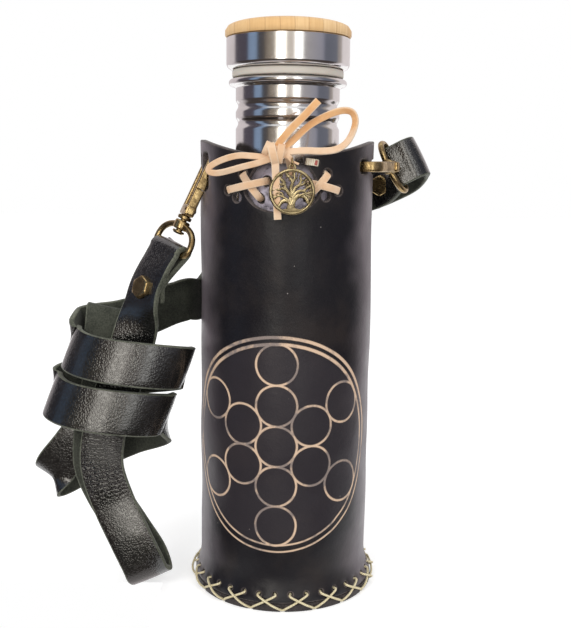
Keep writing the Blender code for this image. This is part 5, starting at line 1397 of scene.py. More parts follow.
# %% Bow routes
TENTH = 0.0001
BOW_ROUTES = {
    "loop_left": (
        (-60, 52, -4), (-97, 47, -6), (-145, 42, -2), (-195, 32, 0), (-240, 20, -8), (-290, 2, -26),
        (-326, -14, -48), (-330, -18, -67), (-300, -8, -74), (-255, 10, -66), (-191, 35, -48),
        (-128, 48, -32), (-72, 52, -14),
    ),
    "loop_right": (
        (-10, 40, 32), (24, 40, 62), (56, 40, 94), (99, 30, 131), (161, 20, 166), (224, 10, 188),
        (268, 0, 183), (284, 0, 147), (272, 5, 97), (243, 15, 52), (201, 25, 28), (146, 35, 21),
        (84, 45, 22), (30, 50, 19), (-15, 50, 12),
    ),
    "tail_upper": (
        (-45, 55, 30), (-24, 61, 64), (21, 68, 116), (69, 66, 164), (126, 60, 224),
    ),
    "tail_lower": (
        (-48, 64, -12), (-48, 62, -50), (-47, 56, -76), (-45, 56, -110), (-42, 50, -170),
        (-37, 42, -264),
    ),
}
BOW_ENDS = (
    ("loop_left", (20, 5, -15, 10, 25, 15, 0), 0.0026),
    ("loop_right", (-20, -10, 15, 35, 40, 20, 10, 25), 0.0029),
    ("tail_upper", (-10, 10, -5), LACE_WIDTH),
    ("tail_lower", (0, -8, 5, -4), LACE_WIDTH),
)
BOW_CROWN = 0.00012
# These bow ends get painted shade above a slanted line across the case's front.
PAINTED_SHADE_ENDS = ("loop_right", "tail_upper")
SHADE_LINE_SLOPE = 0.30
SHADE_LINE_RISE = 0.0030
SHADE_LINE_FADE = 0.002


def along_and_flat(rows):
    """The way a route runs, and the line square to it that lies in the plane of the case's front."""
    along = unit(np.gradient(rows, axis=0))
    return along, unit(np.stack([along[:, 2], np.zeros(len(rows)), -along[:, 0]], axis=1))


def bow_rows(places, twists):
    """Rows of a lace end: its middle, and the line across it turned by twists in degrees along the way."""
    rows = rounded_route([tuple(in_front(np.array(place) * TENTH)) for place in places], LACE_STEP)
    along, flat = along_and_flat(rows)
    turn = np.radians(np.interp(share_along(rows), np.linspace(0.0, 1.0, len(twists)), twists))[:, None]
    return np.concatenate([rows, flat * np.cos(turn) + np.cross(along, flat) * np.sin(turn)], axis=1)


for end_name, twists, width in BOW_ENDS:
    end = band(bow_rows(BOW_ROUTES[end_name], twists), width, LACE_THICKNESS, LACE_CORNER, BOW_CROWN)
    # Painted shade: points of the end above a slanted line are marked for the orange-tan shade colour.
    if end_name in PAINTED_SHADE_ENDS:
        rise = end.points[:, 2] - RIM_FRONT_HEIGHT - SHADE_LINE_SLOPE * end.points[:, 0]
        end.creases_and_shade = np.clip((rise - SHADE_LINE_RISE) / SHADE_LINE_FADE + 0.5, 0.0, 1.0)
    add_lace(end_name, end, "bow_" + end_name)

# %% Knot
KNOT_PLACE = (-0.0042, 0.0052, 0.0012)
KNOT_TURNS = (
    (-0.0017, 0.0031, 0.0040, -14.0, 0.0034), (0.0014, 0.0027, 0.0035, 10.0, 0.0030),
    (-0.0046, 0.0018, 0.0022, 24.0, 0.0026),
)
KNOT_CROWN = 0.0002
KNOT_STEPS = 40
KNOT_SIZE = (0.0044, 0.0024, 0.0031, 1.0)
KNOT_UNEVEN = 0.12


def knot_turn(across, depth, rise, lean, width):
    """A closed turn of lace round the knot's middle, leaning by this many degrees."""
    angles = full_turn(KNOT_STEPS)
    middles = np.stack([np.full(KNOT_STEPS, across), -depth * np.cos(angles), rise * np.sin(angles)], axis=1)
    along = unit(np.roll(middles, -1, axis=0) - np.roll(middles, 1, axis=0))
    square = np.tile(np.array((1.0, 0.0, 0.0)), (KNOT_STEPS, 1))
    section, marks = band_section(width, LACE_THICKNESS * 1.1, LACE_CORNER, KNOT_CROWN)
    form = swept(middles, square, np.cross(along, square), section, marks, closed=True)
    return form.moved(Matrix.Rotation(math.radians(lean), 4, "Y"))


def knot_middle():
    """The squeezed laces inside the knot, as one soft lump."""
    shape = bmesh.new()
    bmesh.ops.create_icosphere(shape, subdivisions=4, radius=1.0)
    for vert in shape.verts:
        vert.co *= 1 + KNOT_UNEVEN * noise.noise(vert.co * 1.7)
    return form_of(shape).moved(Matrix.Diagonal(KNOT_SIZE))


knot = merged([knot_middle()] + [knot_turn(*turn) for turn in KNOT_TURNS])
add_lace("knot", knot.moved(Matrix.Translation(in_front(KNOT_PLACE))), "bow_knot")

# %% Lace behind the knot and the charm's hanger
RISE_FEET = ((0.24, 0.66), (0.22, 0.78))
RISE_ROUTE = ((0.0012, 0.0013, -0.0030), (0.0006, 0.0022, -0.0006), (-0.0010, 0.0034, 0.0014))
RISE_STAND_OFF = 0.0008
CHARM_CENTRE = (0.0022, 0.0056, -0.0148)
CHARM_RADIUS = 0.0097
JUMP_RING_RADIUS = 0.0017
JUMP_RING_WIRE = 0.00045
EYE_RISE = 0.0003
EYE_RADIUS = 0.0010
HANGER_START = (0.0030, -0.0004, -0.0012)
HANGER_SAG = (0.0004, -0.0008, 0.0006)
HANGER_SEAT = 0.0007
HANGER_END = (0.0026, 0.0003, -0.0012)
HANGER_WIDTH = LACE_WIDTH * 0.62
HANGER_THICKNESS = LACE_THICKNESS * 0.75


def rise_lace():
    """Up the tongue and forward into the knot."""
    places = []
    for place in RISE_FEET:
        across, height = notch_place(*place)
        stand = float(tongue_radii(across, height)) + LACE_THICKNESS / 2 + RISE_STAND_OFF
        places.append(on_wall(across, stand, height))
    return laid_lace(places + [in_front(place) for place in RISE_ROUTE], (1.0, 0.0, 0.0))


def jump_ring_centre():
    rise = CHARM_RADIUS + EYE_RISE + JUMP_RING_RADIUS + EYE_RADIUS - JUMP_RING_WIRE - SEAT_GAP / 2
    return in_front(CHARM_CENTRE) + Vector((0.0, 0.0, rise))


def hanger():
    """The end of lace from the knot, folded over the jump ring's top."""
    through = jump_ring_centre() + Vector((0.0, 0.0, JUMP_RING_RADIUS - JUMP_RING_WIRE - HANGER_SEAT))
    start = in_front(KNOT_PLACE) + Vector(HANGER_START)
    spots = [start, start.lerp(through, 0.45) + Vector(HANGER_SAG), through, through + Vector(HANGER_END)]
    rows = rounded_route([tuple(spot) for spot in spots], LACE_STEP / 2)
    lean = np.clip((share_along(rows) - 0.35) / 0.35, 0.0, 1.0)[:, None]
    across = unit(along_and_flat(rows)[1] * (1 - lean) + np.array((0.0, -1.0, 0.0)) * lean)
    return band(np.concatenate([rows, across], axis=1), HANGER_WIDTH, HANGER_THICKNESS, LACE_CORNER * 0.8)


add_lace("rise_lace", rise_lace(), "lacing_rise")
add_lace("charm_lace", hanger(), "charm_hanger")

# %% Stitch beside the opening
RIM_STITCH_WIDTH = 0.0029
RIM_STITCH_THICKNESS = LACE_THICKNESS * 0.9
RIM_STITCH_STEP = 0.0005
RIM_STITCH_RISE = 0.0004
RIM_STITCH_DIVE = 0.0010
RED_END_PLACE = (0.81, 0.890)
RED_END_TURN = 7.0
RED_END_SIZE = (0.0026, 0.0007, 0.0022)
RED_END_CORNER = 0.00034


def short_stitch():
    """A flat stitch of pale lace from hole to hole."""
    start, end = [notch_place(*place) for place in STITCH_HOLES]
    over = CASE_RADIUS + LACE_THICKNESS / 2 + LACE_STAND_OFF
    low, high, inside = over - RIM_STITCH_RISE, over + RIM_STITCH_RISE, CASE_RADIUS - RIM_STITCH_DIVE
    stops = ((-0.16, inside), (0.0, low), (0.5, high), (1.0, low), (1.16, inside))
    shape = {"width": RIM_STITCH_WIDTH, "thickness": RIM_STITCH_THICKNESS, "step": RIM_STITCH_STEP}
    return stitched(start, end, stops, **shape).marked(0)


def red_end():
    """The dyed inside of the lace's end, seen at the right of the stitch."""
    across, height = notch_place(*RED_END_PLACE)
    place = Matrix.Translation(on_wall(across, CASE_RADIUS + LACE_THICKNESS + LACE_STAND_OFF * 0.8, height))
    round_wall = Matrix.Rotation(math.asin(across / CASE_RADIUS), 4, "Z")
    lean = Matrix.Rotation(math.radians(RED_END_TURN), 4, "Y")
    return soft_block(RED_END_SIZE, place @ round_wall @ lean, RED_END_CORNER).marked(1)


stitch = merged([short_stitch(), red_end()])
add_piece("short_stitch", stitch, (PALE_CORD, RED_THREAD), "case", ("rim_stitch",), "cord")

# %% [markdown]
# ## The charm
# The charm is a cast brass tree in a ring. Castings have no sharp insides, so the trunk, boughs and
# roots are tapered wires with soft sections that melt into each other and into the rim, and the
# leaves are small lens shapes on the ends of the boughs. The tree is listed as lines whose numbers
# are hundredths of the charm's radius.

# %% The tree in the ring
CHARM_RIM_WIDTH = 0.0015
CHARM_RIM_THICKNESS = 0.0019
CHARM_BOUGH_THICKNESS = 0.0012
CHARM_LEAN = -5.0
BOUGH_GAIN = 1.35
LEAF_SHAPE = (0.50, 1.05, 0.9)
LEAF_SWING = 0.05
LEAF_SHIFT = 0.03
LEAF_GROWTH = (0.85, 1.2)
LEAF_TWIST = 0.6
BOUGH_STEP = 0.00028
HUNDREDTH = CHARM_RADIUS / 100
TREE = (
    (15.0, 8.5, (0, -90), (2, -62), (3, -40), (1, -16), (0, 2)),
    (9.0, 4.5, (2, -60), (-8, -44), (-24, -40), (-40, -48), (-50, -66), (-58, -80)),
    (9.5, 4.5, (3, -56), (14, -28), (32, -14), (56, -18), (72, -36), (80, -56)),
    (7.5, 3.5, (2, -20), (-14, -6), (-30, 12), (-38, 34), (-56, 52), (-72, 66)),
    (5.5, 3.2, (-26, 6), (-44, 10), (-58, 2), (-74, 6), (-92, -2)),
    (4.8, 3.0, (-34, 26), (-54, 28), (-70, 36), (-90, 34)),
    (7.0, 3.4, (0, -10), (-6, 18), (-2, 40), (-14, 58), (-30, 72), (-34, 90)),
    (5.0, 3.0, (-2, 40), (6, 56), (2, 74), (6, 92)),
    (7.2, 3.4, (2, -12), (10, 14), (26, 30), (34, 50), (30, 70), (38, 86)),
    (5.0, 3.0, (26, 30), (44, 36), (52, 52), (66, 64)),
    (7.5, 3.4, (4, -30), (16, -6), (34, 6), (52, 10), (64, 24), (84, 36)),
    (4.8, 3.0, (50, 8), (64, -2), (80, 4), (94, 2)),
    (4.8, 3.0, (34, -14), (56, -4), (74, -16), (92, -16)),
    (5.2, 3.0, (-10, -40), (-34, -26), (-54, -22), (-72, -30), (-90, -28)),
    (3.6, 2.4, (-34, -26), (-44, -8), (-62, -12)),
)
LEAF_RINGS = ((0.80, 24, 0.075), (0.66, 19, 0.068), (0.52, 11, 0.060))
LEAF_PROFILE = ((0.0, 0.5), (0.55, 0.42), (0.9, 0.22), (1.0, 0.0), (0.9, -0.22), (0.55, -0.42), (0.0, -0.5))
LEAF_SPREAD = 118.0
GROUND = ((0.40, -0.72), (0.12, -0.66), (-0.10, -0.72), (-0.42, -0.80))
GROUND_REACH = 0.88
GROUND_SPREAD = 52
GROUND_STEPS = (0.0004, 0.0006)
GROUND_CORNER = 0.0002
EYE_LINE_RADIUS = EYE_RADIUS + 0.0003
EYE_WIRE = 0.00045
CHARM_SEED = 11


def charm_place():
    """Upright in front of the tongue, leaning a little to one side."""
    upright = Matrix.Rotation(math.radians(90), 4, "X")
    lean = Matrix.Rotation(math.radians(CHARM_LEAN), 4, "Z")
    return Matrix.Translation(in_front(CHARM_CENTRE)) @ upright @ lean


print("tree:", len(TREE), "boughs")

# %% Boughs, leaves and ground


def bough(thick, thin, *line):
    """One tapering bough along its line, thicker at the start."""
    route = rounded_route([(x * HUNDREDTH, y * HUNDREDTH, 0.0) for x, y in line], BOUGH_STEP)
    scales = 1 + (thin / thick - 1) * share_along(route)
    radius = thick * BOUGH_GAIN * HUNDREDTH
    flat = CHARM_BOUGH_THICKNESS / 2 / radius
    return wire(route, radius, side_hint=(0.3, 0.9, 0.0), steps=10, power=2.4, flat=flat, scales=scales)


def leaf(reach, angle, size, lean):
    """A small lens, longer along its own way."""
    spot = Vector((math.sin(angle), math.cos(angle), 0.0)) * reach * CHARM_RADIUS
    length = size * CHARM_RADIUS
    across, along, thick = LEAF_SHAPE
    shape = Matrix.Diagonal((length * across, length * along, CHARM_BOUGH_THICKNESS * thick, 1.0))
    place = Matrix.Translation(spot) @ Matrix.Rotation(-angle + lean, 4, "Z")
    return turned(LEAF_PROFILE, 14).moved(shape).moved(place)


def leaves():
    """Rings of leaves, each a little off its place."""
    draw = np.random.default_rng(CHARM_SEED)
    for reach, count, size in LEAF_RINGS:
        for index in range(count):
            angle = math.radians(LEAF_SPREAD * (2 * (index + 0.5) / count - 1))
            angle += draw.uniform(-LEAF_SWING, LEAF_SWING)
            spot = reach + draw.uniform(-LEAF_SHIFT, LEAF_SHIFT)
            yield leaf(spot, angle, size * draw.uniform(*LEAF_GROWTH), draw.uniform(-LEAF_TWIST, LEAF_TWIST))


def charm_rim():
    """A raised rim with soft corners."""
    angles = np.linspace(0.0, 2 * math.pi, 17)
    radii = CHARM_RADIUS - CHARM_RIM_WIDTH / 2 * (1 - pressed(np.cos(angles), 0.7))
    return turned(np.stack([radii, CHARM_RIM_THICKNESS / 2 * pressed(np.sin(angles), 0.7)], axis=1), 72)


def charm_flat(across, up, depth):
    return np.stack([across, up, CHARM_BOUGH_THICKNESS / 2 - depth], axis=1)


def charm_foot():
    """The solid ground under the tree."""
    angles = np.radians(np.linspace(-GROUND_SPREAD, GROUND_SPREAD, 15))
    line = [(GROUND_REACH * math.sin(angle), -GROUND_REACH * math.cos(angle)) for angle in angles]
    outline = even_loop(np.array(line + list(GROUND)) * CHARM_RADIUS, GROUND_STEPS[0])
    return leather_sheet(outline, [], CHARM_BOUGH_THICKNESS, GROUND_CORNER, GROUND_STEPS[1], charm_flat)


print("leaves:", sum(count for _, count, _ in LEAF_RINGS))

# %% The whole charm


def eye_ring():
    middle = CHARM_RADIUS + EYE_RISE
    angles = full_turn(32)
    spots = [(EYE_LINE_RADIUS * math.cos(a), middle + EYE_LINE_RADIUS * math.sin(a), 0.0) for a in angles]
    ring = wire(spots, EYE_WIRE, closed=True, side_hint=(0.0, 0.0, 1.0), steps=10, power=2.6)
    return ring.moved(Matrix.Rotation(math.radians(-CHARM_LEAN), 4, "Z"))


def add_brass(name, form, body, node, **settings):
    add_piece(name, form.marked(0), (BRASS,), body, (node,), "brass", **settings)


charm = merged([charm_rim(), charm_foot(), *[bough(*row) for row in TREE], *leaves(), eye_ring()])
charm = charm.marked(0).moved(charm_place())
add_piece("tree_charm", charm, (CHARM_BRASS,), "charm", ("charm_disc",), "brass")

# %% Jump ring


def jump_ring():
    ways = [Vector((0.0, math.cos(angle), math.sin(angle))) for angle in full_turn(40)]
    spots = [jump_ring_centre() + way * JUMP_RING_RADIUS for way in ways]
    return wire(spots, JUMP_RING_WIRE, closed=True, side_hint=(1.0, 0.0, 0.0))


add_brass("jump_ring", jump_ring(), "charm", "charm_jump_ring")

# %% [markdown]
# ## The bottle
# Turned metal is the natural case for a profile spun round an axis. The neck has two rolled grooves
# with a proud ring between them and a bead under the lip. The profile runs up the inside, over the
# lip and down the outside, so the bottle is a real vessel when it's lifted out and opened.

# %% Bottle profile
BOTTLE_RADIUS = 0.0327
BOTTLE_STEEL = 0.0010
NECK_RADIUS = 0.0238
NECK_TOP = 0.2385
LIP_ROUND = 0.0004
SHOULDER_TOP = 0.201
SHOULDER_FOOT = 0.160
FOOT_ROUND = 0.004
GROOVE_HEIGHTS = (0.2262, 0.2185)
GROOVE_REACH = 0.0011
GROOVE_HALF = 0.0030
BEAD_HEIGHT = 0.2366
BEAD_REACH = 0.0032
BEAD_HALF = 0.0016
BORE_RADIUS = NECK_RADIUS - GROOVE_REACH - BOTTLE_STEEL


def arc(centre_radius, centre_height, radius, start, end, count):
    """Points on part of a circle, from one angle in degrees to another."""
    angles = np.radians(np.linspace(start, end, count + 1))
    return [(centre_radius + radius * math.cos(a), centre_height + radius * math.sin(a)) for a in angles]


def groove(height, count=14):
    """Down one rolled groove of the neck, easing in and out of it."""
    rows = []
    for share in np.linspace(1.0, -1.0, count + 1):
        depth = GROOVE_REACH * (0.5 + 0.5 * math.cos(math.pi * share))
        rows.append((NECK_RADIUS - depth, height + GROOVE_HALF * share))
    return rows


def shoulder(count=18):
    rows = []
    for share in np.linspace(0.0, 1.0, count + 1):
        radius = NECK_RADIUS + (BOTTLE_RADIUS - NECK_RADIUS) * share * share * (3 - 2 * share)
        rows.append((radius, SHOULDER_TOP + (SHOULDER_FOOT - SHOULDER_TOP) * share))
    return rows


def bottle():
    """Up the inside, over the lip, and down the outside."""
    centre = (BOTTLE_RADIUS - FOOT_ROUND, CASE_FOOT + FOOT_ROUND)
    inside = [(0.0, CASE_FOOT + BOTTLE_STEEL)] + arc(*centre, FOOT_ROUND - BOTTLE_STEEL, -90, 0, 8)
    inside += [(radius - BOTTLE_STEEL, height) for radius, height in reversed(shoulder())]
    inside += [(BORE_RADIUS, GROOVE_HEIGHTS[1] - GROOVE_HALF), (BORE_RADIUS, NECK_TOP - LIP_ROUND)]
    lip = [(BORE_RADIUS + LIP_ROUND, NECK_TOP), (NECK_RADIUS - LIP_ROUND / 2, NECK_TOP)]
    outside = [(NECK_RADIUS, NECK_TOP - LIP_ROUND / 2)]
    outside += arc(NECK_RADIUS + BEAD_REACH - BEAD_HALF, BEAD_HEIGHT, BEAD_HALF, 100, -100, 12)
    outside += [(NECK_RADIUS, BEAD_HEIGHT - BEAD_HALF * 1.5)]
    outside += groove(GROOVE_HEIGHTS[0]) + groove(GROOVE_HEIGHTS[1]) + shoulder()
    outside += arc(*centre, FOOT_ROUND, 0, -90, 10) + [(0.0, CASE_FOOT)]
    return turned(inside + lip + outside, 128)


add_piece("steel_bottle", bottle(), (STEEL,), "bottle", ("bottle_shell",), "steel", sharp_degrees=30.0)

# %% [markdown]
# ## The lid
# The lid is a shallow steel cup with a bamboo top set into it, a grey seal under it and a threaded
# plug. They're separate pieces because each has its own finish, and because the seal only rises
# with the lid while the others turn as well.

# %% Lid pieces
SEAL_RADIUS = 0.0254
SEAL_HEIGHT = 0.0036
SEAL_WIDTH = 0.0030
SEAL_ROUND = 0.0008
LID_RADIUS = 0.0281
LID_SKIN = 0.0012
LID_BOTTOM = 0.2425
LID_ROUND = 0.0026
LID_FLOOR_ROUND = 0.001
LID_SPLIT = 0.2563
LID_EDGE = (0.0002, 0.0003)
WOOD_RADIUS = 0.0287
WOOD_CROWN = 0.2642
WOOD_SIDE = 0.0028
WOOD_EDGE = (0.0008, 0.0006)
WOOD_TENON = 0.0030
WOOD_POWER = 3.1
WOOD_FULLNESS = 1.35
PLUG_DEPTH = 0.0120
PLUG_GAP = 0.0005
PLUG_FLOOR = 0.0024
PLUG_ROUND = 0.0006
PLUG_BORE_SHARE = 0.62
THREAD_START = 0.0015
THREAD_PITCH = 0.0038
THREAD_DEPTH = 0.00045
THREAD_TURNS = 2.6


def seal():
    low = NECK_TOP + SEAT_GAP
    high = low + SEAL_HEIGHT
    inner = SEAL_RADIUS - SEAL_WIDTH
    middle = SEAL_RADIUS - SEAL_ROUND
    profile = [(inner, high), (inner, low)] + arc(middle, low + SEAL_ROUND, SEAL_ROUND, -90, 0, 4)
    return turned(profile + arc(middle, high - SEAL_ROUND, SEAL_ROUND, 0, 90, 4) + [(inner, high)], 96)


def lid_cup():
    inner = LID_RADIUS - LID_SKIN
    floor = LID_BOTTOM + LID_SKIN
    fine, coarse = LID_EDGE
    inside = [(0.0, floor), (inner - LID_FLOOR_ROUND, floor), (inner, floor + LID_FLOOR_ROUND)]
    lip = [(inner, LID_SPLIT - fine), (inner + fine, LID_SPLIT), (LID_RADIUS - coarse, LID_SPLIT)]
    outside = [(LID_RADIUS, LID_SPLIT - coarse)]
    outside += arc(LID_RADIUS - LID_ROUND, LID_BOTTOM + LID_ROUND, LID_ROUND, 0, -90, 12)
    return turned(inside + lip + outside + [(0.0, LID_BOTTOM)], 128)


def wood_top():
    """The domed top: nearly flat, then round over the shoulder, with a tenon below."""
    low = LID_SPLIT + SEAT_GAP
    tenon = LID_RADIUS - LID_SKIN - SEAT_GAP
    start = low + WOOD_SIDE
    dome = []
    for share in np.linspace(0.0, 1.0, 24):
        rise = (1 - share**WOOD_POWER) ** (1 / WOOD_POWER * WOOD_FULLNESS)
        dome.append((WOOD_RADIUS * share, start + (WOOD_CROWN - start) * rise))
    side = [(WOOD_RADIUS, low + WOOD_EDGE[0]), (WOOD_RADIUS - WOOD_EDGE[1], low), (tenon, low)]
    return turned(dome + side + [(tenon, low - WOOD_TENON), (0.0, low - WOOD_TENON)], 128)


def plug():
    """The plug under the lid, hollow below, with a few turns of thread."""
    radius = BORE_RADIUS - PLUG_GAP - THREAD_DEPTH
    top = LID_BOTTOM - SEAT_GAP
    low = NECK_TOP - PLUG_DEPTH
    bore = radius * PLUG_BORE_SHARE
    profile = [(0.0, top), (radius, top), (radius, low + PLUG_ROUND), (radius - PLUG_ROUND, low), (bore, low)]
    profile += [(bore, top - PLUG_FLOOR), (0.0, top - PLUG_FLOOR)]
    turns = np.linspace(0.0, THREAD_TURNS * 2 * math.pi, int(THREAD_TURNS * 60))
    heights = low + THREAD_START + THREAD_PITCH * turns / (2 * math.pi)
    spots = np.stack([radius * np.cos(turns), radius * np.sin(turns), heights], axis=1)
    thread = wire(spots, THREAD_DEPTH * 1.6, side_hint=(0.0, 0.0, 1.0), steps=8)
    reach = np.linalg.norm(thread.points[:, :2], axis=1, keepdims=True)
    thread.points[:, :2] *= np.minimum(1.0, (radius + THREAD_DEPTH) / reach)
    return merged([turned(profile, 96), thread]).marked(0)


add_piece("grey_seal", seal(), (RUBBER,), "lid_lift", ("lid_seal",), "seal")
add_piece("lid_cup", lid_cup(), (STEEL,), "lid", ("lid_cap",), "steel", sharp_degrees=30.0)
add_piece("bamboo_top", wood_top(), (WOOD,), "lid", ("lid_wood",), "wood")
add_piece("screw_plug", plug(), (RUBBER,), "lid", ("lid_plug",), "seal")

# %% [markdown]
# ## Brass snap clasps
# Both clasps are the same casting: a flat hook bent over at the top, a block with a swivel post, a
# gate that springs against the hook's nose, and a D ring on a boss. Each is made once in its own
# frame, with the hook's bend at the origin and the pull straight down, and then placed twice.

# %% Clasp frames
HOOK_NOSE = 0.0152
HOOK_ROOT = 0.0235
HOOK_BLOCK_HEIGHT = 0.0052
HOOK_BLOCK_THICKNESS = 0.0050
HOOK_BLOCK_MARGIN = 0.0022
HOOK_BLOCK_CORNER = 0.0011
BAR_HALF_WIDTH = 0.0023
BAR_SHARE = 0.64
GATE_EYE_RADIUS = 0.0017
GATE_EYE_ROUND = 0.0003
PIN_RADIUS = 0.0007
PIN_REACH = HOOK_BLOCK_THICKNESS / 2 + 0.00025
PIN_HEAD = 0.0004
POST_RADIUS = 0.0015
POST_HEAD_RADIUS = 0.0028
POST_HEAD_HEIGHT = 0.0015
POST_HEAD_TOP = 0.72
POST_HEAD_DOME = 1.1
POST_HEAD_ROUND = 0.0004
BOSS_RADIUS = 0.0035
BOSS_HEIGHT = 0.0044
BOSS_TOP = 0.03068
BOSS_ROUND = 0.0009
BOSS_BORE = POST_RADIUS + 0.0002
COLLAR_RADIUS = BOSS_RADIUS * 0.92
COLLAR_ROUND = 0.0005
COLLAR_BEVEL = 0.0004
RING_WIRE = 0.00145
RING_HALF_WIDTH = 0.0125
RING_BAR_DROP = 0.0460
RING_CORNER = 0.0040
RING_FULLNESS = 0.86
LEFT_CLASP_RADIUS = 0.0351
LEFT_CLASP_HEIGHT = 0.2025
LEFT_CLASP_LEAN = 25.5
LEFT_RING_TURN = 30.0
RIGHT_CLASP_HEIGHT = 0.1995
RIGHT_INNER_ARM_REACH = 0.0350
RIGHT_RING_TURN = 118.0
RUN_GAP = 0.0005
UPRIGHT = Vector((0.0, 0.0, 1.0))


def clasp_frame(origin, down, across):
    up = -Vector(down).normalized()
    side = (Vector(across) - Vector(across).dot(up) * up).normalized()
    normal = side.cross(up)
    return Matrix.Translation(origin) @ Matrix((normal, side, up)).transposed().to_4x4()


def left_clasp_frame():
    """Leaning out of its slot."""
    out = azimuth_vector(LEFT_CLASP_AZIMUTH)
    lean = math.radians(LEFT_CLASP_LEAN)
    origin = around(LEFT_CLASP_AZIMUTH, LEFT_CLASP_RADIUS, LEFT_CLASP_HEIGHT)
    return clasp_frame(origin, out * math.sin(lean) - UPRIGHT * math.cos(lean), out.cross(UPRIGHT))


def right_clasp_frame():
    """Lying level round the wall, pulled towards the back."""
    out = azimuth_vector(RIGHT_CLASP_AZIMUTH)
    down = UPRIGHT.cross(out)
    middle = around(RIGHT_CLASP_AZIMUTH, RIGHT_INNER_ARM_REACH + HOOK_HALF_WIDTH, RIGHT_CLASP_HEIGHT)
    return clasp_frame(middle - down * HOOK_HALF_WIDTH, down, -out)


def clasp_wire(outline, radius, **shape):
    """A wire along an outline that lies in the clasp's own plane."""
    spots = [(0.0, across, height) for across, height in outline]
    return wire(spots, radius, side_hint=(1.0, 0.0, 0.0), **shape)


def flat_bar(outline, half_width=BAR_HALF_WIDTH, share=BAR_SHARE):
    return clasp_wire(outline, half_width, steps=24, power=5.0, flat=share)


# %% Hook and block


def hook():
    """From the nose up, round the bend, and down into the block."""
    half = HOOK_HALF_WIDTH
    outline = [(-half, height) for height in np.linspace(-HOOK_NOSE, -half, 8)]
    outline += arc(0.0, -half, half, 180, 0, 24)[1:]
    outline += [(half, height) for height in np.linspace(-half, -HOOK_ROOT - HOOK_BLOCK_HEIGHT / 2, 12)[1:]]
    return flat_bar(outline)


def swivel_block():
    """The block over the swivel, with the collar, the post and its head."""
    size = (HOOK_BLOCK_THICKNESS, 2 * (HOOK_HALF_WIDTH + HOOK_BLOCK_MARGIN), HOOK_BLOCK_HEIGHT)
    middle = Matrix.Translation((0.0, 0.0, -HOOK_ROOT - HOOK_BLOCK_HEIGHT / 2))
    low = -HOOK_ROOT - HOOK_BLOCK_HEIGHT
    end = -BOSS_TOP - RUN_GAP * 2 - BOSS_HEIGHT
    collar = [(0.0, -BOSS_TOP)]
    collar += arc(COLLAR_RADIUS - COLLAR_ROUND, -BOSS_TOP + COLLAR_ROUND, COLLAR_ROUND, -90, 0, 4)
    collar += [(COLLAR_RADIUS, low - COLLAR_BEVEL), (BOSS_RADIUS * 0.62, low), (0.0, low + RUN_GAP)]
    post = [(0.0, low), (POST_RADIUS, low), (POST_RADIUS, end)]
    post += arc(POST_HEAD_RADIUS - POST_HEAD_ROUND, end - POST_HEAD_ROUND, POST_HEAD_ROUND, 90, 0, 3)
    post += [(POST_HEAD_RADIUS, end - 2 * POST_HEAD_ROUND)]
    post += [(POST_HEAD_RADIUS * POST_HEAD_TOP, end - POST_HEAD_HEIGHT)]
    post += [(0.0, end - POST_HEAD_HEIGHT * POST_HEAD_DOME)]
    return merged([soft_block(size, middle, HOOK_BLOCK_CORNER), turned(collar, 48), turned(post, 48)])


print("hook and block")

# %% Gate and pin


def gate_axis():
    """The gate's pin lies across the clasp, in its block."""
    pivot = (0.0, -HOOK_HALF_WIDTH, -HOOK_ROOT - HOOK_BLOCK_HEIGHT * 0.42)
    return Matrix.Translation(pivot) @ Matrix.Rotation(math.radians(90), 4, "Y")


def mirrored(half):
    """A profile whose lower half mirrors its upper one."""
    return half + [(radius, -height) for radius, height in reversed(half)]


def gate():
    """The gate's flat bar, rounded over at the nose, with an eye round its pin."""
    heights = np.linspace(gate_axis().translation.z, -HOOK_NOSE - RUN_GAP, 16)
    outline = [(-HOOK_HALF_WIDTH, height) for height in heights]
    bar = flat_bar(outline, BAR_HALF_WIDTH * 0.94, BAR_SHARE * 0.92)
    half = BAR_HALF_WIDTH * 0.9
    eye = [(0.0, half), (GATE_EYE_RADIUS - GATE_EYE_ROUND, half), (GATE_EYE_RADIUS, half - GATE_EYE_ROUND)]
    return merged([bar, turned(mirrored(eye), 32).moved(gate_axis())])


def pin():
    """A riveted pin, a little wider at its two heads."""
    head = [(0.0, PIN_REACH), (PIN_RADIUS * 0.7, PIN_REACH), (PIN_RADIUS * 1.25, PIN_REACH - PIN_HEAD / 2)]
    return turned(mirrored(head + [(PIN_RADIUS, PIN_REACH - PIN_HEAD)]), 24).moved(gate_axis())


print("gate and pin")

# %% Ring, and both clasps in place


def d_ring():
    """A straight bar below and one wide bow above, through the boss."""
    side = RING_HALF_WIDTH - RING_CORNER
    level = RING_CORNER - RING_BAR_DROP
    rise = -BOSS_TOP - RUN_GAP - BOSS_HEIGHT / 2 - level
    outline = [(across, -RING_BAR_DROP) for across in np.linspace(-side, side, 10)]
    outline += arc(side, level, RING_CORNER, -80, 0, 8)
    for angle in np.radians(np.linspace(6, 174, 41)):
        across = RING_HALF_WIDTH * pressed(math.cos(angle), RING_FULLNESS)
        outline.append((across, level + rise * math.sin(angle) ** RING_FULLNESS))
    outline += arc(-side, level, RING_CORNER, 180, 260, 8)
    return clasp_wire(outline, RING_WIRE, closed=True, steps=18)


def boss():
    top = -BOSS_TOP - RUN_GAP
    low = top - BOSS_HEIGHT
    middle = BOSS_RADIUS - BOSS_ROUND
    profile = [(BOSS_BORE, top)] + arc(middle, top - BOSS_ROUND, BOSS_ROUND, 90, 0, 5)
    profile += arc(middle, low + BOSS_ROUND, BOSS_ROUND, 0, -90, 5)
    return turned(profile + [(BOSS_BORE, low), (BOSS_BORE, top)], 48)


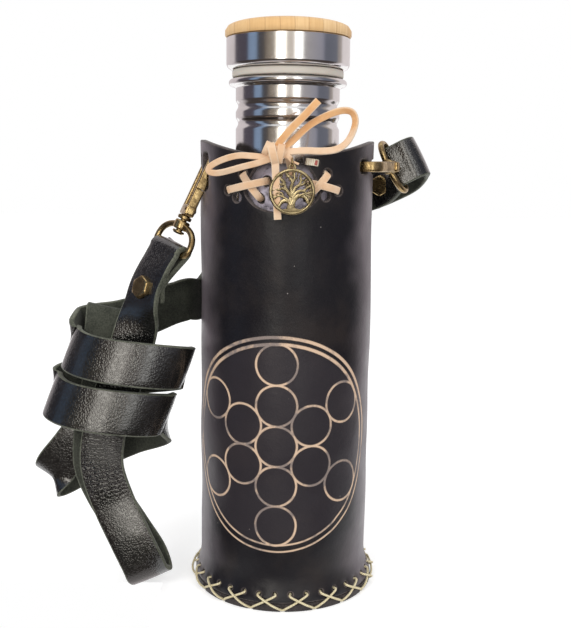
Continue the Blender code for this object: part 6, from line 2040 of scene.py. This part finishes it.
for side, place, ring_turn, body in (
    ("left", left_clasp_frame(), LEFT_RING_TURN, "left_clasp"),
    ("right", right_clasp_frame(), RIGHT_RING_TURN, "case"),
):
    ring_place = place @ Matrix.Rotation(math.radians(ring_turn), 4, "Z")
    add_brass(side + "_hook", merged([hook(), swivel_block()]).moved(place), body, side + "_clasp_hook")
    add_brass(side + "_d_ring", merged([d_ring(), boss()]).moved(ring_place), body, side + "_clasp_ring")
    add_brass(side + "_snap_gate", gate().moved(place), side + "_gate", side + "_gate")
    add_brass(side + "_pin", pin().moved(place), body, side + "_gate_pin")

# %% [markdown]
# ## The strap's hank
# The strap hangs from the left ring in a hank: down, round a hanging loop, up again, and one and a
# half times round itself, which shows as two bands across the front. It is one unbroken band here
# as it is in the hand. The table gives its way as shares of the hank's size, with how many layers
# behind the middle each place lies and how the line across the strap leans and turns.

# %% The hank's way
STRAP_WIDTH = 0.0202
STRAP_THICKNESS = 0.0026
STRAP_CORNER = 0.00065
STRAP_CROWN = 0.00030
STRAP_STEP = 0.0016
LAYER = STRAP_THICKNESS + 0.0010
SOLID_RING_WIRE = 0.0013
FOLD_RADIUS = SOLID_RING_WIRE + SEAT_GAP * 2 + STRAP_THICKNESS / 2
HANK_REACH = 0.064
HANK_DROP = 0.1612
HANK_CENTRE_Y = -0.0135
HANK_FLOOR_GAP = 0.0004
WRAP_HALF_WIDTH = 0.0284
WRAP_FRONT_DEPTH = 0.0185
WRAP_BACK_DEPTH = 0.0092
WRAP_LEFTWARD = 0.0307
WRAP_START_HEIGHT = 0.0842
WRAP_RISE = 0.0111
WRAP_DRIFT = 0.0046
WRAP_HALF_TURNS = 3
WRAP_ACROSS = (0.34, 0.20, 0.94)
WRAP_FULLNESS = 0.92
WRAP_ROWS = 9
RIVET_SHARES = (0.172, -1.15, 0.893, 0, 42)
RING_END_SHARES = ((0.158, 0.25, 0.862, 0, 43), (0.130, 0.10, 0.915, 0, 43))
CORE_SHARES = (
    (0.105, -1.15, 0.950, 0, 43), RIVET_SHARES, (0.206, -1.20, 0.836, 0, 36), (0.232, -1.20, 0.785, -8, 12),
    (0.290, -1.20, 0.705, -18, 0), (0.350, -1.20, 0.630, -22, 0), (0.420, -1.20, 0.560, -22, 0),
    (0.485, -1.30, 0.465, -16, 0), (0.500, -1.55, 0.370, 4, 0), (0.420, -1.75, 0.265, 20, 0),
    (0.290, -2.55, 0.160, 24, 0), (0.205, -2.70, 0.088, 24, 0), (0.172, -2.20, 0.050, 24, 0),
)
HANG_FOLD_SHARES = (0.150, -0.55, 24.0)
RETURN_SHARES = (
    (0.205, 0.40, 0.088, 24, 0), (0.330, 0.35, 0.170, 24, 0), (0.480, 0.25, 0.270, 22, 0),
    (0.570, 0.10, 0.365, 8, 0), (0.560, 0.00, 0.465, -10, 0), (0.520, 0.05, 0.560, -20, 0),
    (0.490, 0.20, 0.630, -20, 0), (0.490, 0.35, 0.700, -16, 0), (0.468, 0.50, 0.770, -12, 0),
    (0.460, 0.72, 0.808, -12, 0), (0.458, 1.13, 0.824, -12, 0), (0.456, 1.54, 0.808, -12, 0),
    (0.448, 1.64, 0.770, -12, 0), (0.450, 1.60, 0.700, -16, 0), (0.478, 1.55, 0.630, -20, 0),
    (0.535, 1.45, 0.560, -24, 0), (0.612, 1.25, 0.485, -30, 0), (0.750, 1.10, 0.410, -36, 0),
    (0.870, 1.30, 0.350, -46, 0), (0.900, 1.85, 0.318, -52, 0), (0.860, 2.45, 0.314, -56, 0),
    (0.740, 2.85, 0.340, -58, 0), (0.560, 3.10, 0.395, -62, 0), (0.330, 3.20, 0.438, -68, 0),
    (0.120, 2.80, 0.468, -78, 0),
)
LEAVING_SHARES = (
    (0.702, 1.15, 0.748, 88, 0), (0.668, 2.90, 0.763, 88, 0), (0.565, 3.75, 0.770, 86, 0),
    (0.414, 3.85, 0.778, 84, 0), (0.226, 4.15, 0.797, 86, 0), (0.055, 4.95, 0.824, 88, 0),
)
HANK_END_SHARES = (-0.040, 5.85, 0.834, 90, 0)


print("hank rows:", len(CORE_SHARES) + len(RETURN_SHARES) + len(LEAVING_SHARES))

# %% The hank's route


def ring_bar(place, turn):
    """The middle of a D ring's bar and the way it runs."""
    way = place.to_3x3() @ (Matrix.Rotation(math.radians(turn), 3, "Z") @ Vector((0.0, 1.0, 0.0)))
    return place @ Vector((0.0, 0.0, -RING_BAR_DROP)), way.normalized()


def across_vector(lean, turn):
    lean = math.radians(lean)
    turn = math.radians(turn)
    return np.array((math.cos(lean) * math.cos(turn), -math.sin(turn), math.sin(lean) * math.cos(turn)))


LEFT_BAR, LEFT_BAR_WAY = ring_bar(left_clasp_frame(), LEFT_RING_TURN)


def hank_row(shares):
    """A row of the route from a row of shares: the strap's middle and the line across it."""
    reach, layers, height, lean, turn = shares
    place = (LEFT_BAR.x - reach * HANK_REACH, HANK_CENTRE_Y + layers * LAYER, height * HANK_DROP)
    return np.concatenate([place, across_vector(lean, turn)])


def fold_over_bar(spot, way, face, up, count=6):
    """The strap's half turn over a ring's bar, from its back side to its face side."""
    rows = []
    for angle in np.linspace(0.0, math.pi, count + 1):
        place = spot + (up * math.sin(angle) - face * math.cos(angle)) * FOLD_RADIUS
        rows.append(np.array((*place, *way)))
    return rows


def hang_fold():
    """The lowest fold, whose lower corner just clears the floor."""
    reach, layers, lean = HANG_FOLD_SHARES
    row = hank_row((reach, layers, 0.0, lean, 0))
    tilt = math.radians(lean)
    row[2] = HANK_FLOOR_GAP + (STRAP_WIDTH * math.sin(tilt) + STRAP_THICKNESS * math.cos(tilt)) / 2
    return row


def wrap_rows():
    """Three half turns round the core: a flattened coil that rises and drifts evenly."""
    rows = []
    for step in range(WRAP_HALF_TURNS * WRAP_ROWS + 1):
        turns = step / WRAP_ROWS
        angle = math.pi * turns
        depth = WRAP_FRONT_DEPTH if math.sin(angle) > 0 else WRAP_BACK_DEPTH
        across = WRAP_HALF_WIDTH * pressed(math.cos(angle), WRAP_FULLNESS)
        x = LEFT_BAR.x - WRAP_LEFTWARD + WRAP_DRIFT * turns + across
        y = HANK_CENTRE_Y - depth * pressed(math.sin(angle), WRAP_FULLNESS)
        rows.append(np.array((x, y, WRAP_START_HEIGHT + WRAP_RISE * turns, *WRAP_ACROSS)))
    return rows


def consistent(rows):
    """Turn each line across the strap the same way as the one before."""
    for index in range(1, len(rows)):
        if np.dot(rows[index, 3:6], rows[index - 1, 3:6]) < 0:
            rows[index, 3:6] *= -1
    return rows


def hank_route():
    """To the ring, over its bar, down the core, round the loop, up again, round itself, and away."""
    way = -LEFT_BAR_WAY if LEFT_BAR_WAY.x < 0 else LEFT_BAR_WAY
    face = way.cross(UPRIGHT).normalized()
    face = -face if face.x > 0 else face
    up = (UPRIGHT - way * UPRIGHT.dot(way)).normalized()
    rows = [hank_row(row) for row in RING_END_SHARES] + fold_over_bar(LEFT_BAR, way, face, up)
    rows += [hank_row(row) for row in CORE_SHARES] + [hang_fold()] + [hank_row(row) for row in RETURN_SHARES]
    rows += wrap_rows() + [hank_row(row) for row in LEAVING_SHARES] + [hank_row(HANK_END_SHARES)]
    return consistent(np.array(rows))


# %% The hank as a leather band
CREASE_PLACE = (-0.086, 0.064)
CREASE_REACH = 0.017
CREASE_GAIN = 1.3
EASE_ROUNDS = 6


def eased(rows):
    """A strap's route, with the small kinks between its table rows smoothed out."""
    rows = rounded_route(rows, STRAP_STEP)
    for _ in range(EASE_ROUNDS):
        rows[1:-1, 3:6] = unit(rows[:-2, 3:6] + 2 * rows[1:-1, 3:6] + rows[2:, 3:6])
    return rows


def crease_run(rows):
    """How far along the strap the creases of the hanging loop's front lie."""
    front = rows[:np.argmin(rows[:, 2])]
    apart = np.hypot(front[:, 0] - CREASE_PLACE[0], front[:, 2] - CREASE_PLACE[1])
    return run_along(front[:, :3])[np.argmin(apart)]


def strap_band(rows):
    return band(rows, STRAP_WIDTH, STRAP_THICKNESS, STRAP_CORNER, STRAP_CROWN)


hank_rows = eased(hank_route())
hank = strap_band(hank_rows)
from_crease = abs(hank.lanes[:, 0] - crease_run(hank_rows)) / CREASE_REACH
hank.creases_and_shade = np.clip(CREASE_GAIN - from_crease, 0.0, 1.0)
print("hank length", round(float(run_along(hank_rows[:, :3])[-1]), 3), "m")
add_piece("hank", hank, STRAP, "left_clasp", ("strap_hank",), "strap_leather")

# %% [markdown]
# ## The strap round the back
# From the hank the strap runs behind the case and comes out at the right clasp, where it folds over
# the ring and is riveted to itself. It rides on no body: its shape is baked where it lies.

# %% Back run
RIVET_LAYER_DISTANCE = 0.0054
BACK_RUN_GAP = 0.0020
HANDOVER_GAP = -0.0008
HANDOVER_RUN = 0.0040
BACK_RUN_AZIMUTHS = (248.0, 166.0)
BACK_RUN_RISE = 0.0435
BACK_RUN_EASE = 1.15
BEND_ROWS = 17
LAP_FROM_BEHIND = (
    (0.0290, 0.0530, -0.0170), (0.0430, 0.0505, -0.0125), (0.0530, 0.0465, -0.0080),
    (0.0612, 0.0405, -0.0030), (0.0650, 0.0333, 0.0030),
)
LAP_TILTS = (0.0, 0.35, 0.7, 1.0, 1.0)
LAP_TO_BAR = ((0.0128, -0.0042), (0.0120, 0.0004), (0.0100, 0.0031), (0.0070, 0.0043), (0.0040, 0.0038))
LAP_INSIDE = (
    ((0.0545, 0.0290, 0.0000), (-0.30, 0.10, 1.0)), ((0.0535, 0.0350, -0.0040), (-0.15, 0.0, 1.0)),
    ((0.0500, 0.0412, -0.0085), (0.0, 0.0, 1.0)), ((0.0440, 0.0462, -0.0120), (0.0, 0.0, 1.0)),
)
RIGHT_RIVET_FRONT = (0.0482, 0.0432, -0.0095)
RIGHT_RIVET_BACK = (0.0497, 0.0474, -0.0095)


def back_run_rows():
    """Round the back of the case, rising to the right."""
    radius = CASE_RADIUS + CROSS_CORD_RADIUS * 3 + BACK_RUN_GAP + STRAP_THICKNESS / 2
    start = HANK_END_SHARES[2] * HANK_DROP
    first, last = BACK_RUN_AZIMUTHS
    rows = []
    for share in np.linspace(0.0, 1.0, 7):
        place = around(first + (last - first) * share, radius, start + BACK_RUN_RISE * share**BACK_RUN_EASE)
        rows.append(np.array((*place, *UPRIGHT)))
    return rows


def right_lap_rows():
    """From behind the case round to the ring's front, over its bar, and back inside to the rivet."""
    spot, way = ring_bar(right_clasp_frame(), RIGHT_RING_TURN)
    way = -way if way.z < 0 else way
    leave = Vector((way.z, 0.0, -way.x)).normalized()
    face = leave.cross(way).normalized()
    rows = []
    for place, tilted in zip(LAP_FROM_BEHIND, LAP_TILTS):
        rows.append(np.array((*at_right_clasp(place), *UPRIGHT.lerp(way, tilted))))
    rows += [np.array((*(spot + leave * right + face * front), *way)) for right, front in LAP_TO_BAR]
    rows += fold_over_bar(spot, way, face, -leave)[::-1]
    rows += [np.array((*at_right_clasp(place), *across)) for place, across in LAP_INSIDE]
    return rows


def at_right_clasp(place):
    """A place whose height is counted from the right clasp."""
    return Vector(place) + UPRIGHT * RIGHT_CLASP_HEIGHT


def handover_rows():
    """Where the back run takes over from the hank's end, in the same direction."""
    along = unit(hank_row(HANK_END_SHARES)[:3] - hank_row(LEAVING_SHARES[-1])[:3])
    for distance in (HANDOVER_GAP, HANDOVER_RUN):
        row = hank_row(HANK_END_SHARES)
        row[:3] += along * distance
        yield row


back_rows = consistent(np.array(list(handover_rows()) + back_run_rows() + right_lap_rows()))
back_rows[:, 3:6] *= -1
back_rows = eased(back_rows)
back_run = add_piece("back_run", strap_band(back_rows), STRAP, None, ("strap_back_run",), "strap_leather")
bend_start = Vector(back_rows[0, :3])
bend_end = Vector(back_rows[BEND_ROWS, :3])
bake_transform(back_run)

# %% [markdown]
# ## Rivets
# Each end of the strap is closed by a screw rivet with a six-sided head. The head is a hexagon with
# its corners turned down, which is what makes a nut look machined rather than cut from card.

# %% Hexagonal rivets
RIVET_HEAD_RADIUS = 0.0054
RIVET_HEAD_HEIGHT = 0.0024
RIVET_SHANK_RADIUS = 0.0016
RIVET_FOOT = ((0.85, 0.0), (0.80, 0.0008), (0.50, 0.0013), (0.0, 0.0014))
HEAD_ROWS = ((0.0, 0.0), (0.62, 0.0), (0.80, 0.0), (0.95, 0.00035), (1.0, 0.0008), (1.0, 0.0016))
HEAD_POINTS = 72
HEAD_TURNED_REACH = 1.06
HEAD_TURNED_LOSS = 0.32
HEAD_TURNED_FROM = 0.5
RIVET_CLEAR = STRAP_THICKNESS / 2 + SEAT_GAP * 0.4


def hexagon_head():
    """A hexagon whose top is turned to a round face."""
    ring = HEAD_POINTS
    angles = full_turn(ring)
    off = (angles + math.pi / 6) % (math.pi / 3) - math.pi / 6
    reach = RIVET_HEAD_RADIUS * math.cos(math.pi / 6) / np.cos(off)
    points = []
    for level, inset_by in HEAD_ROWS:
        turned_share = HEAD_TURNED_REACH - HEAD_TURNED_LOSS * max(0.0, level - HEAD_TURNED_FROM)
        radii = np.minimum(reach, RIVET_HEAD_RADIUS * turned_share) - inset_by
        height = level * RIVET_HEAD_HEIGHT
        points += [(r * math.cos(a), r * math.sin(a), height) for r, a in zip(radii, angles)]
    faces = [tuple(range(ring))[::-1], tuple(range(len(points) - ring, len(points)))]
    for start in range(0, len(points) - ring, ring):
        for step in range(ring):
            low, beside = start + step, start + (step + 1) % ring
            faces.append((low, beside, beside + ring, low + ring))
    return Form(points, faces)


def rivet(front, back, out):
    """The head on the front face, the shank through both layers, and a round foot behind."""
    out = Vector(out).normalized()
    side = out.cross(UPRIGHT).normalized()
    turn = Matrix((side, out.cross(side), out)).transposed().to_4x4()
    depth = (front - back).length + 2 * RIVET_CLEAR
    shank = [(0.0, 0.0), (RIVET_SHANK_RADIUS, 0.0), (RIVET_SHANK_RADIUS, -depth), (0.0, -depth)]
    foot = [(RIVET_HEAD_RADIUS * share, -depth - drop) for share, drop in RIVET_FOOT]
    made = merged([hexagon_head(), turned(shank, 24), turned([(0.0, -depth)] + foot, 36)])
    return made.moved(Matrix.Translation(front + out * RIVET_CLEAR) @ turn)


def left_rivet():
    """Square to the strap where it comes down from the ring."""
    row = hank_row(RIVET_SHARES)
    out = Vector(row[3:6]).cross(Vector(row[:3] - hank_row(CORE_SHARES[0])[:3])).normalized()
    out = -out if out.y > 0 else out
    middle = Vector(row[:3])
    return rivet(middle, middle - out * RIVET_LAYER_DISTANCE, out)


def right_rivet():
    front, back = at_right_clasp(RIGHT_RIVET_FRONT), at_right_clasp(RIGHT_RIVET_BACK)
    return rivet(front, back, front - back)


add_brass("left_screw_rivet", left_rivet(), "left_clasp", "left_rivet", sharp_degrees=25.0)
add_brass("right_screw_rivet", right_rivet(), "case", "right_rivet", sharp_degrees=25.0)

# %% [markdown]
# ## The room in the reflections
# Black leather and steel are seen mostly by what they mirror. The photograph was taken in a room
# with two bright windows in front, dark furniture between, and pale walls behind, and the steel lid
# shows all of it as upright bands. A tall drum round the object carries those bands as light. Only
# reflections see it: the lamps and the plain sky do the lighting, so the colours stay as they're
# written.

# %% The drum
DRUM_RADIUS = 3.0
DRUM_SIDES = 96
DRUM_LOW = -1.2
TABLE_TONE = (0.74, 0.69, 0.68)
TABLE_NEAR = 0.95
TABLE_FAR = 1.6
HORIZON_DARK = -0.62
HORIZON_LIGHT = -0.12
DRUM_HIGH = 4.2
ROOM_BANDS = (
    (-180, (0.74, 0.68, 0.69)), (-118, (0.72, 0.66, 0.67)), (-111, (0.10, 0.09, 0.11)),
    (-80, (0.08, 0.07, 0.09)), (-76, (0.24, 0.33, 0.48)), (-61, (0.26, 0.36, 0.52)),
    (-56, (0.07, 0.07, 0.08)), (-44, (0.09, 0.08, 0.08)), (-40, (0.24, 0.20, 0.16)),
    (-22, (0.38, 0.33, 0.27)), (-17, (4.6, 4.4, 4.0)), (-8, (4.6, 4.4, 4.0)), (-4, (0.62, 0.56, 0.50)),
    (11, (0.66, 0.59, 0.52)), (15, (2.6, 2.6, 2.5)), (24, (2.6, 2.6, 2.5)), (28, (0.44, 0.42, 0.42)),
    (66, (0.32, 0.32, 0.38)), (71, (0.15, 0.16, 0.20)), (101, (0.17, 0.18, 0.22)),
    (106, (0.36, 0.32, 0.30)), (114, (0.42, 0.38, 0.35)), (120, (0.86, 0.80, 0.80)),
    (180, (0.80, 0.74, 0.75)),
)
LOW_BANDS = (
    (-180, (0.74, 0.69, 0.71)), (-132, (0.72, 0.67, 0.69)), (-110, (0.060, 0.050, 0.050)),
    (0, (0.075, 0.058, 0.048)), (102, (0.060, 0.050, 0.050)), (118, (0.95, 0.89, 0.91)),
    (180, (0.85, 0.80, 0.82)),
)


def band_ramp(finish, share, bands):
    """A colour for each azimuth, blended from band to band."""
    ramp = finish.node("ValToRGB", {0: share})
    stops = ramp.color_ramp.elements
    while len(stops) > 1:
        stops.remove(stops[-1])
    for index, (degrees, colour) in enumerate(bands):
        stop = stops[0] if index == 0 else stops.new(degrees / 360 + 0.5)
        stop.position = degrees / 360 + 0.5
        stop.color = (*colour, 1.0)
    return ramp.outputs[0]


def room_light():
    """Light by the way out from the object: one row of bands above the horizon and one below."""
    finish = Finish("room_bands", Roughness=1.0, Specular_IOR_Level=0.0)
    x, y, z = finish.split()
    share = finish.maths("MULTIPLY_ADD", finish.azimuth(x, y), 0.5 / math.pi, 0.5)
    table = finish.between(finish.distance(x, y), TABLE_FAR, TABLE_NEAR)
    low = finish.mixed(table, band_ramp(finish, share, LOW_BANDS), TABLE_TONE)
    above = finish.between(z, HORIZON_DARK, HORIZON_LIGHT)
    finish.colour((0.0, 0.0, 0.0))
    bands = finish.mixed(above, low, band_ramp(finish, share, ROOM_BANDS))
    finish.feed(finish.shader.inputs["Emission Color"], bands)
    finish.feed(finish.shader.inputs["Emission Strength"], 1.0)
    return finish.material


def drum():
    """A tall tube with a floor, open at the top."""
    ways = [(DRUM_RADIUS * math.cos(angle), DRUM_RADIUS * math.sin(angle)) for angle in full_turn(DRUM_SIDES)]
    points = [(*way, z) for z in (DRUM_LOW, DRUM_HIGH) for way in ways]
    faces = [tuple(range(DRUM_SIDES))]
    for first in range(DRUM_SIDES):
        beside = (first + 1) % DRUM_SIDES
        faces.append((first, beside, beside + DRUM_SIDES, first + DRUM_SIDES))
    mesh = bpy.data.meshes.new("room_drum")
    mesh.from_pydata(points, [], faces)
    mesh.materials.append(room_light())
    made = linked("room_drum", mesh)
    made.visible_camera = False
    made.visible_diffuse = False
    made.visible_shadow = False
    return made


room = drum()
room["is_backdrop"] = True
print("room bands:", len(ROOM_BANDS))

# %% [markdown]
# ## Floor, sky and lamps
# The floor is a pale sheet that the object really stands on, so it fills the undersides with light
# and takes a soft shadow. For the camera, and in reflections, a little light of its own lifts it to
# the white of the photograph's background. Its front left corner is left out: the strap's lowest
# loop hangs over it, and would mirror the pale sheet where the photograph shows it dark.

# %% Floor and sky
FLOOR_FRONT = -0.062
FLOOR_NOTCH_X = -0.058
FLOOR_NOTCH_Y = -0.014
FLOOR_BACK = 3.2
FLOOR_FRONT_HALF = 0.17
FLOOR_BACK_HALF = 1.6
FLOOR_COLOUR = 0.80
FLOOR_GAINS = (1.0, 1.04)
FLOOR_LIFT = 0.42
SKY_LIGHT = 0.80


def seen_rays(tree):
    """1 for camera, glossy and transmission rays."""
    path = tree.nodes.new("ShaderNodeLightPath")
    seen = path.outputs["Is Camera Ray"]
    for ray in ("Is Glossy Ray", "Is Transmission Ray"):
        most = tree.nodes.new("ShaderNodeMath")
        most.operation = "MAXIMUM"
        tree.links.new(seen, most.inputs[0])
        tree.links.new(path.outputs[ray], most.inputs[1])
        seen = most.outputs[0]
    return seen


def floor_finish():
    finish = Finish("pale_floor", Roughness=0.9, Specular_IOR_Level=0.1)
    tones = [(FLOOR_COLOUR * gain,) * 3 for gain in FLOOR_GAINS]
    finish.colour(finish.mixed(finish.noise(1.5, 2.0), *tones))
    finish.feed(finish.shader.inputs["Emission Color"], (1.0, 1.0, 1.0, 1.0))
    lift = finish.times(seen_rays(finish.tree), FLOOR_LIFT)
    finish.feed(finish.shader.inputs["Emission Strength"], lift)
    return finish.material


def floor():
    """A sheet that widens to the back, without its front left corner."""
    shape = bmesh.new()
    bmesh.ops.create_grid(shape, x_segments=24, y_segments=24, size=1.0)
    for vert in shape.verts:
        back = vert.co.y * 0.5 + 0.5
        half = FLOOR_FRONT_HALF + (FLOOR_BACK_HALF - FLOOR_FRONT_HALF) * back
        vert.co = (vert.co.x * half, FLOOR_FRONT + (FLOOR_BACK - FLOOR_FRONT) * back, 0.0)
    for way, place in ((Vector((1.0, 0.0, 0.0)), FLOOR_NOTCH_X), (Vector((0.0, 1.0, 0.0)), FLOOR_NOTCH_Y)):
        everything = shape.verts[:] + shape.edges[:] + shape.faces[:]
        bmesh.ops.bisect_plane(shape, geom=everything, plane_co=way * place, plane_no=way)
    middles = [(face, face.calc_center_median()) for face in shape.faces]
    corner = [face for face, middle in middles if middle.x < FLOOR_NOTCH_X and middle.y < FLOOR_NOTCH_Y]
    bmesh.ops.delete(shape, geom=corner, context="FACES")
    mesh = bpy.data.meshes.new("floor")
    shape.to_mesh(mesh)
    shape.free()
    mesh.materials.append(floor_finish())
    return linked("floor", mesh)


def sky():
    world = bpy.data.worlds.new("plain_sky")
    bpy.context.scene.world = world
    world.use_nodes = True
    tree = world.node_tree
    background = tree.nodes["Background"]
    background.inputs["Color"].default_value = (1.0, 1.0, 1.0, 1.0)
    strength = tree.nodes.new("ShaderNodeMapRange")
    strength.inputs["To Min"].default_value = SKY_LIGHT
    strength.inputs["To Max"].default_value = 1.0
    tree.links.new(seen_rays(tree), strength.inputs["Value"])
    tree.links.new(strength.outputs["Result"], background.inputs["Strength"])


ground = floor()
ground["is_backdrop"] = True
sky()

# %% Lamps
LAMP_AIM = (0.0, 0.0, 0.12)
LAMPS = (
    ("window_left", (-0.9, -1.5, 1.3), 0.9, 14.0),
    ("window_right", (1.0, -1.4, 1.2), 0.9, 8.0),
)


def soft_lamp(name, place, size, power):
    data = bpy.data.lights.new(name, "AREA")
    data.shape = "DISK"
    data.size = size
    data.energy = power
    lamp = linked(name, data)
    aim = (Vector(LAMP_AIM) - Vector(place)).to_track_quat("-Z", "Y")
    lamp.matrix_world = Matrix.Translation(place) @ aim.to_matrix().to_4x4()
    lamp.visible_glossy = False
    lamp.visible_camera = False


for lamp_row in LAMPS:
    soft_lamp(*lamp_row)

# %% [markdown]
# ## Measure and finish
# Both boxes, the imported model's and the dressed one's, are printed side by side. The dressed
# model mustn't outgrow the imported one.

# %% Sizes of both models
visual_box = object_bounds()
for label, (low, high) in (("packed", CAD_BOX), ("dressed", visual_box)):
    print(label, [round((b - a) * 1000, 1) for a, b in zip(low, high)], "mm")
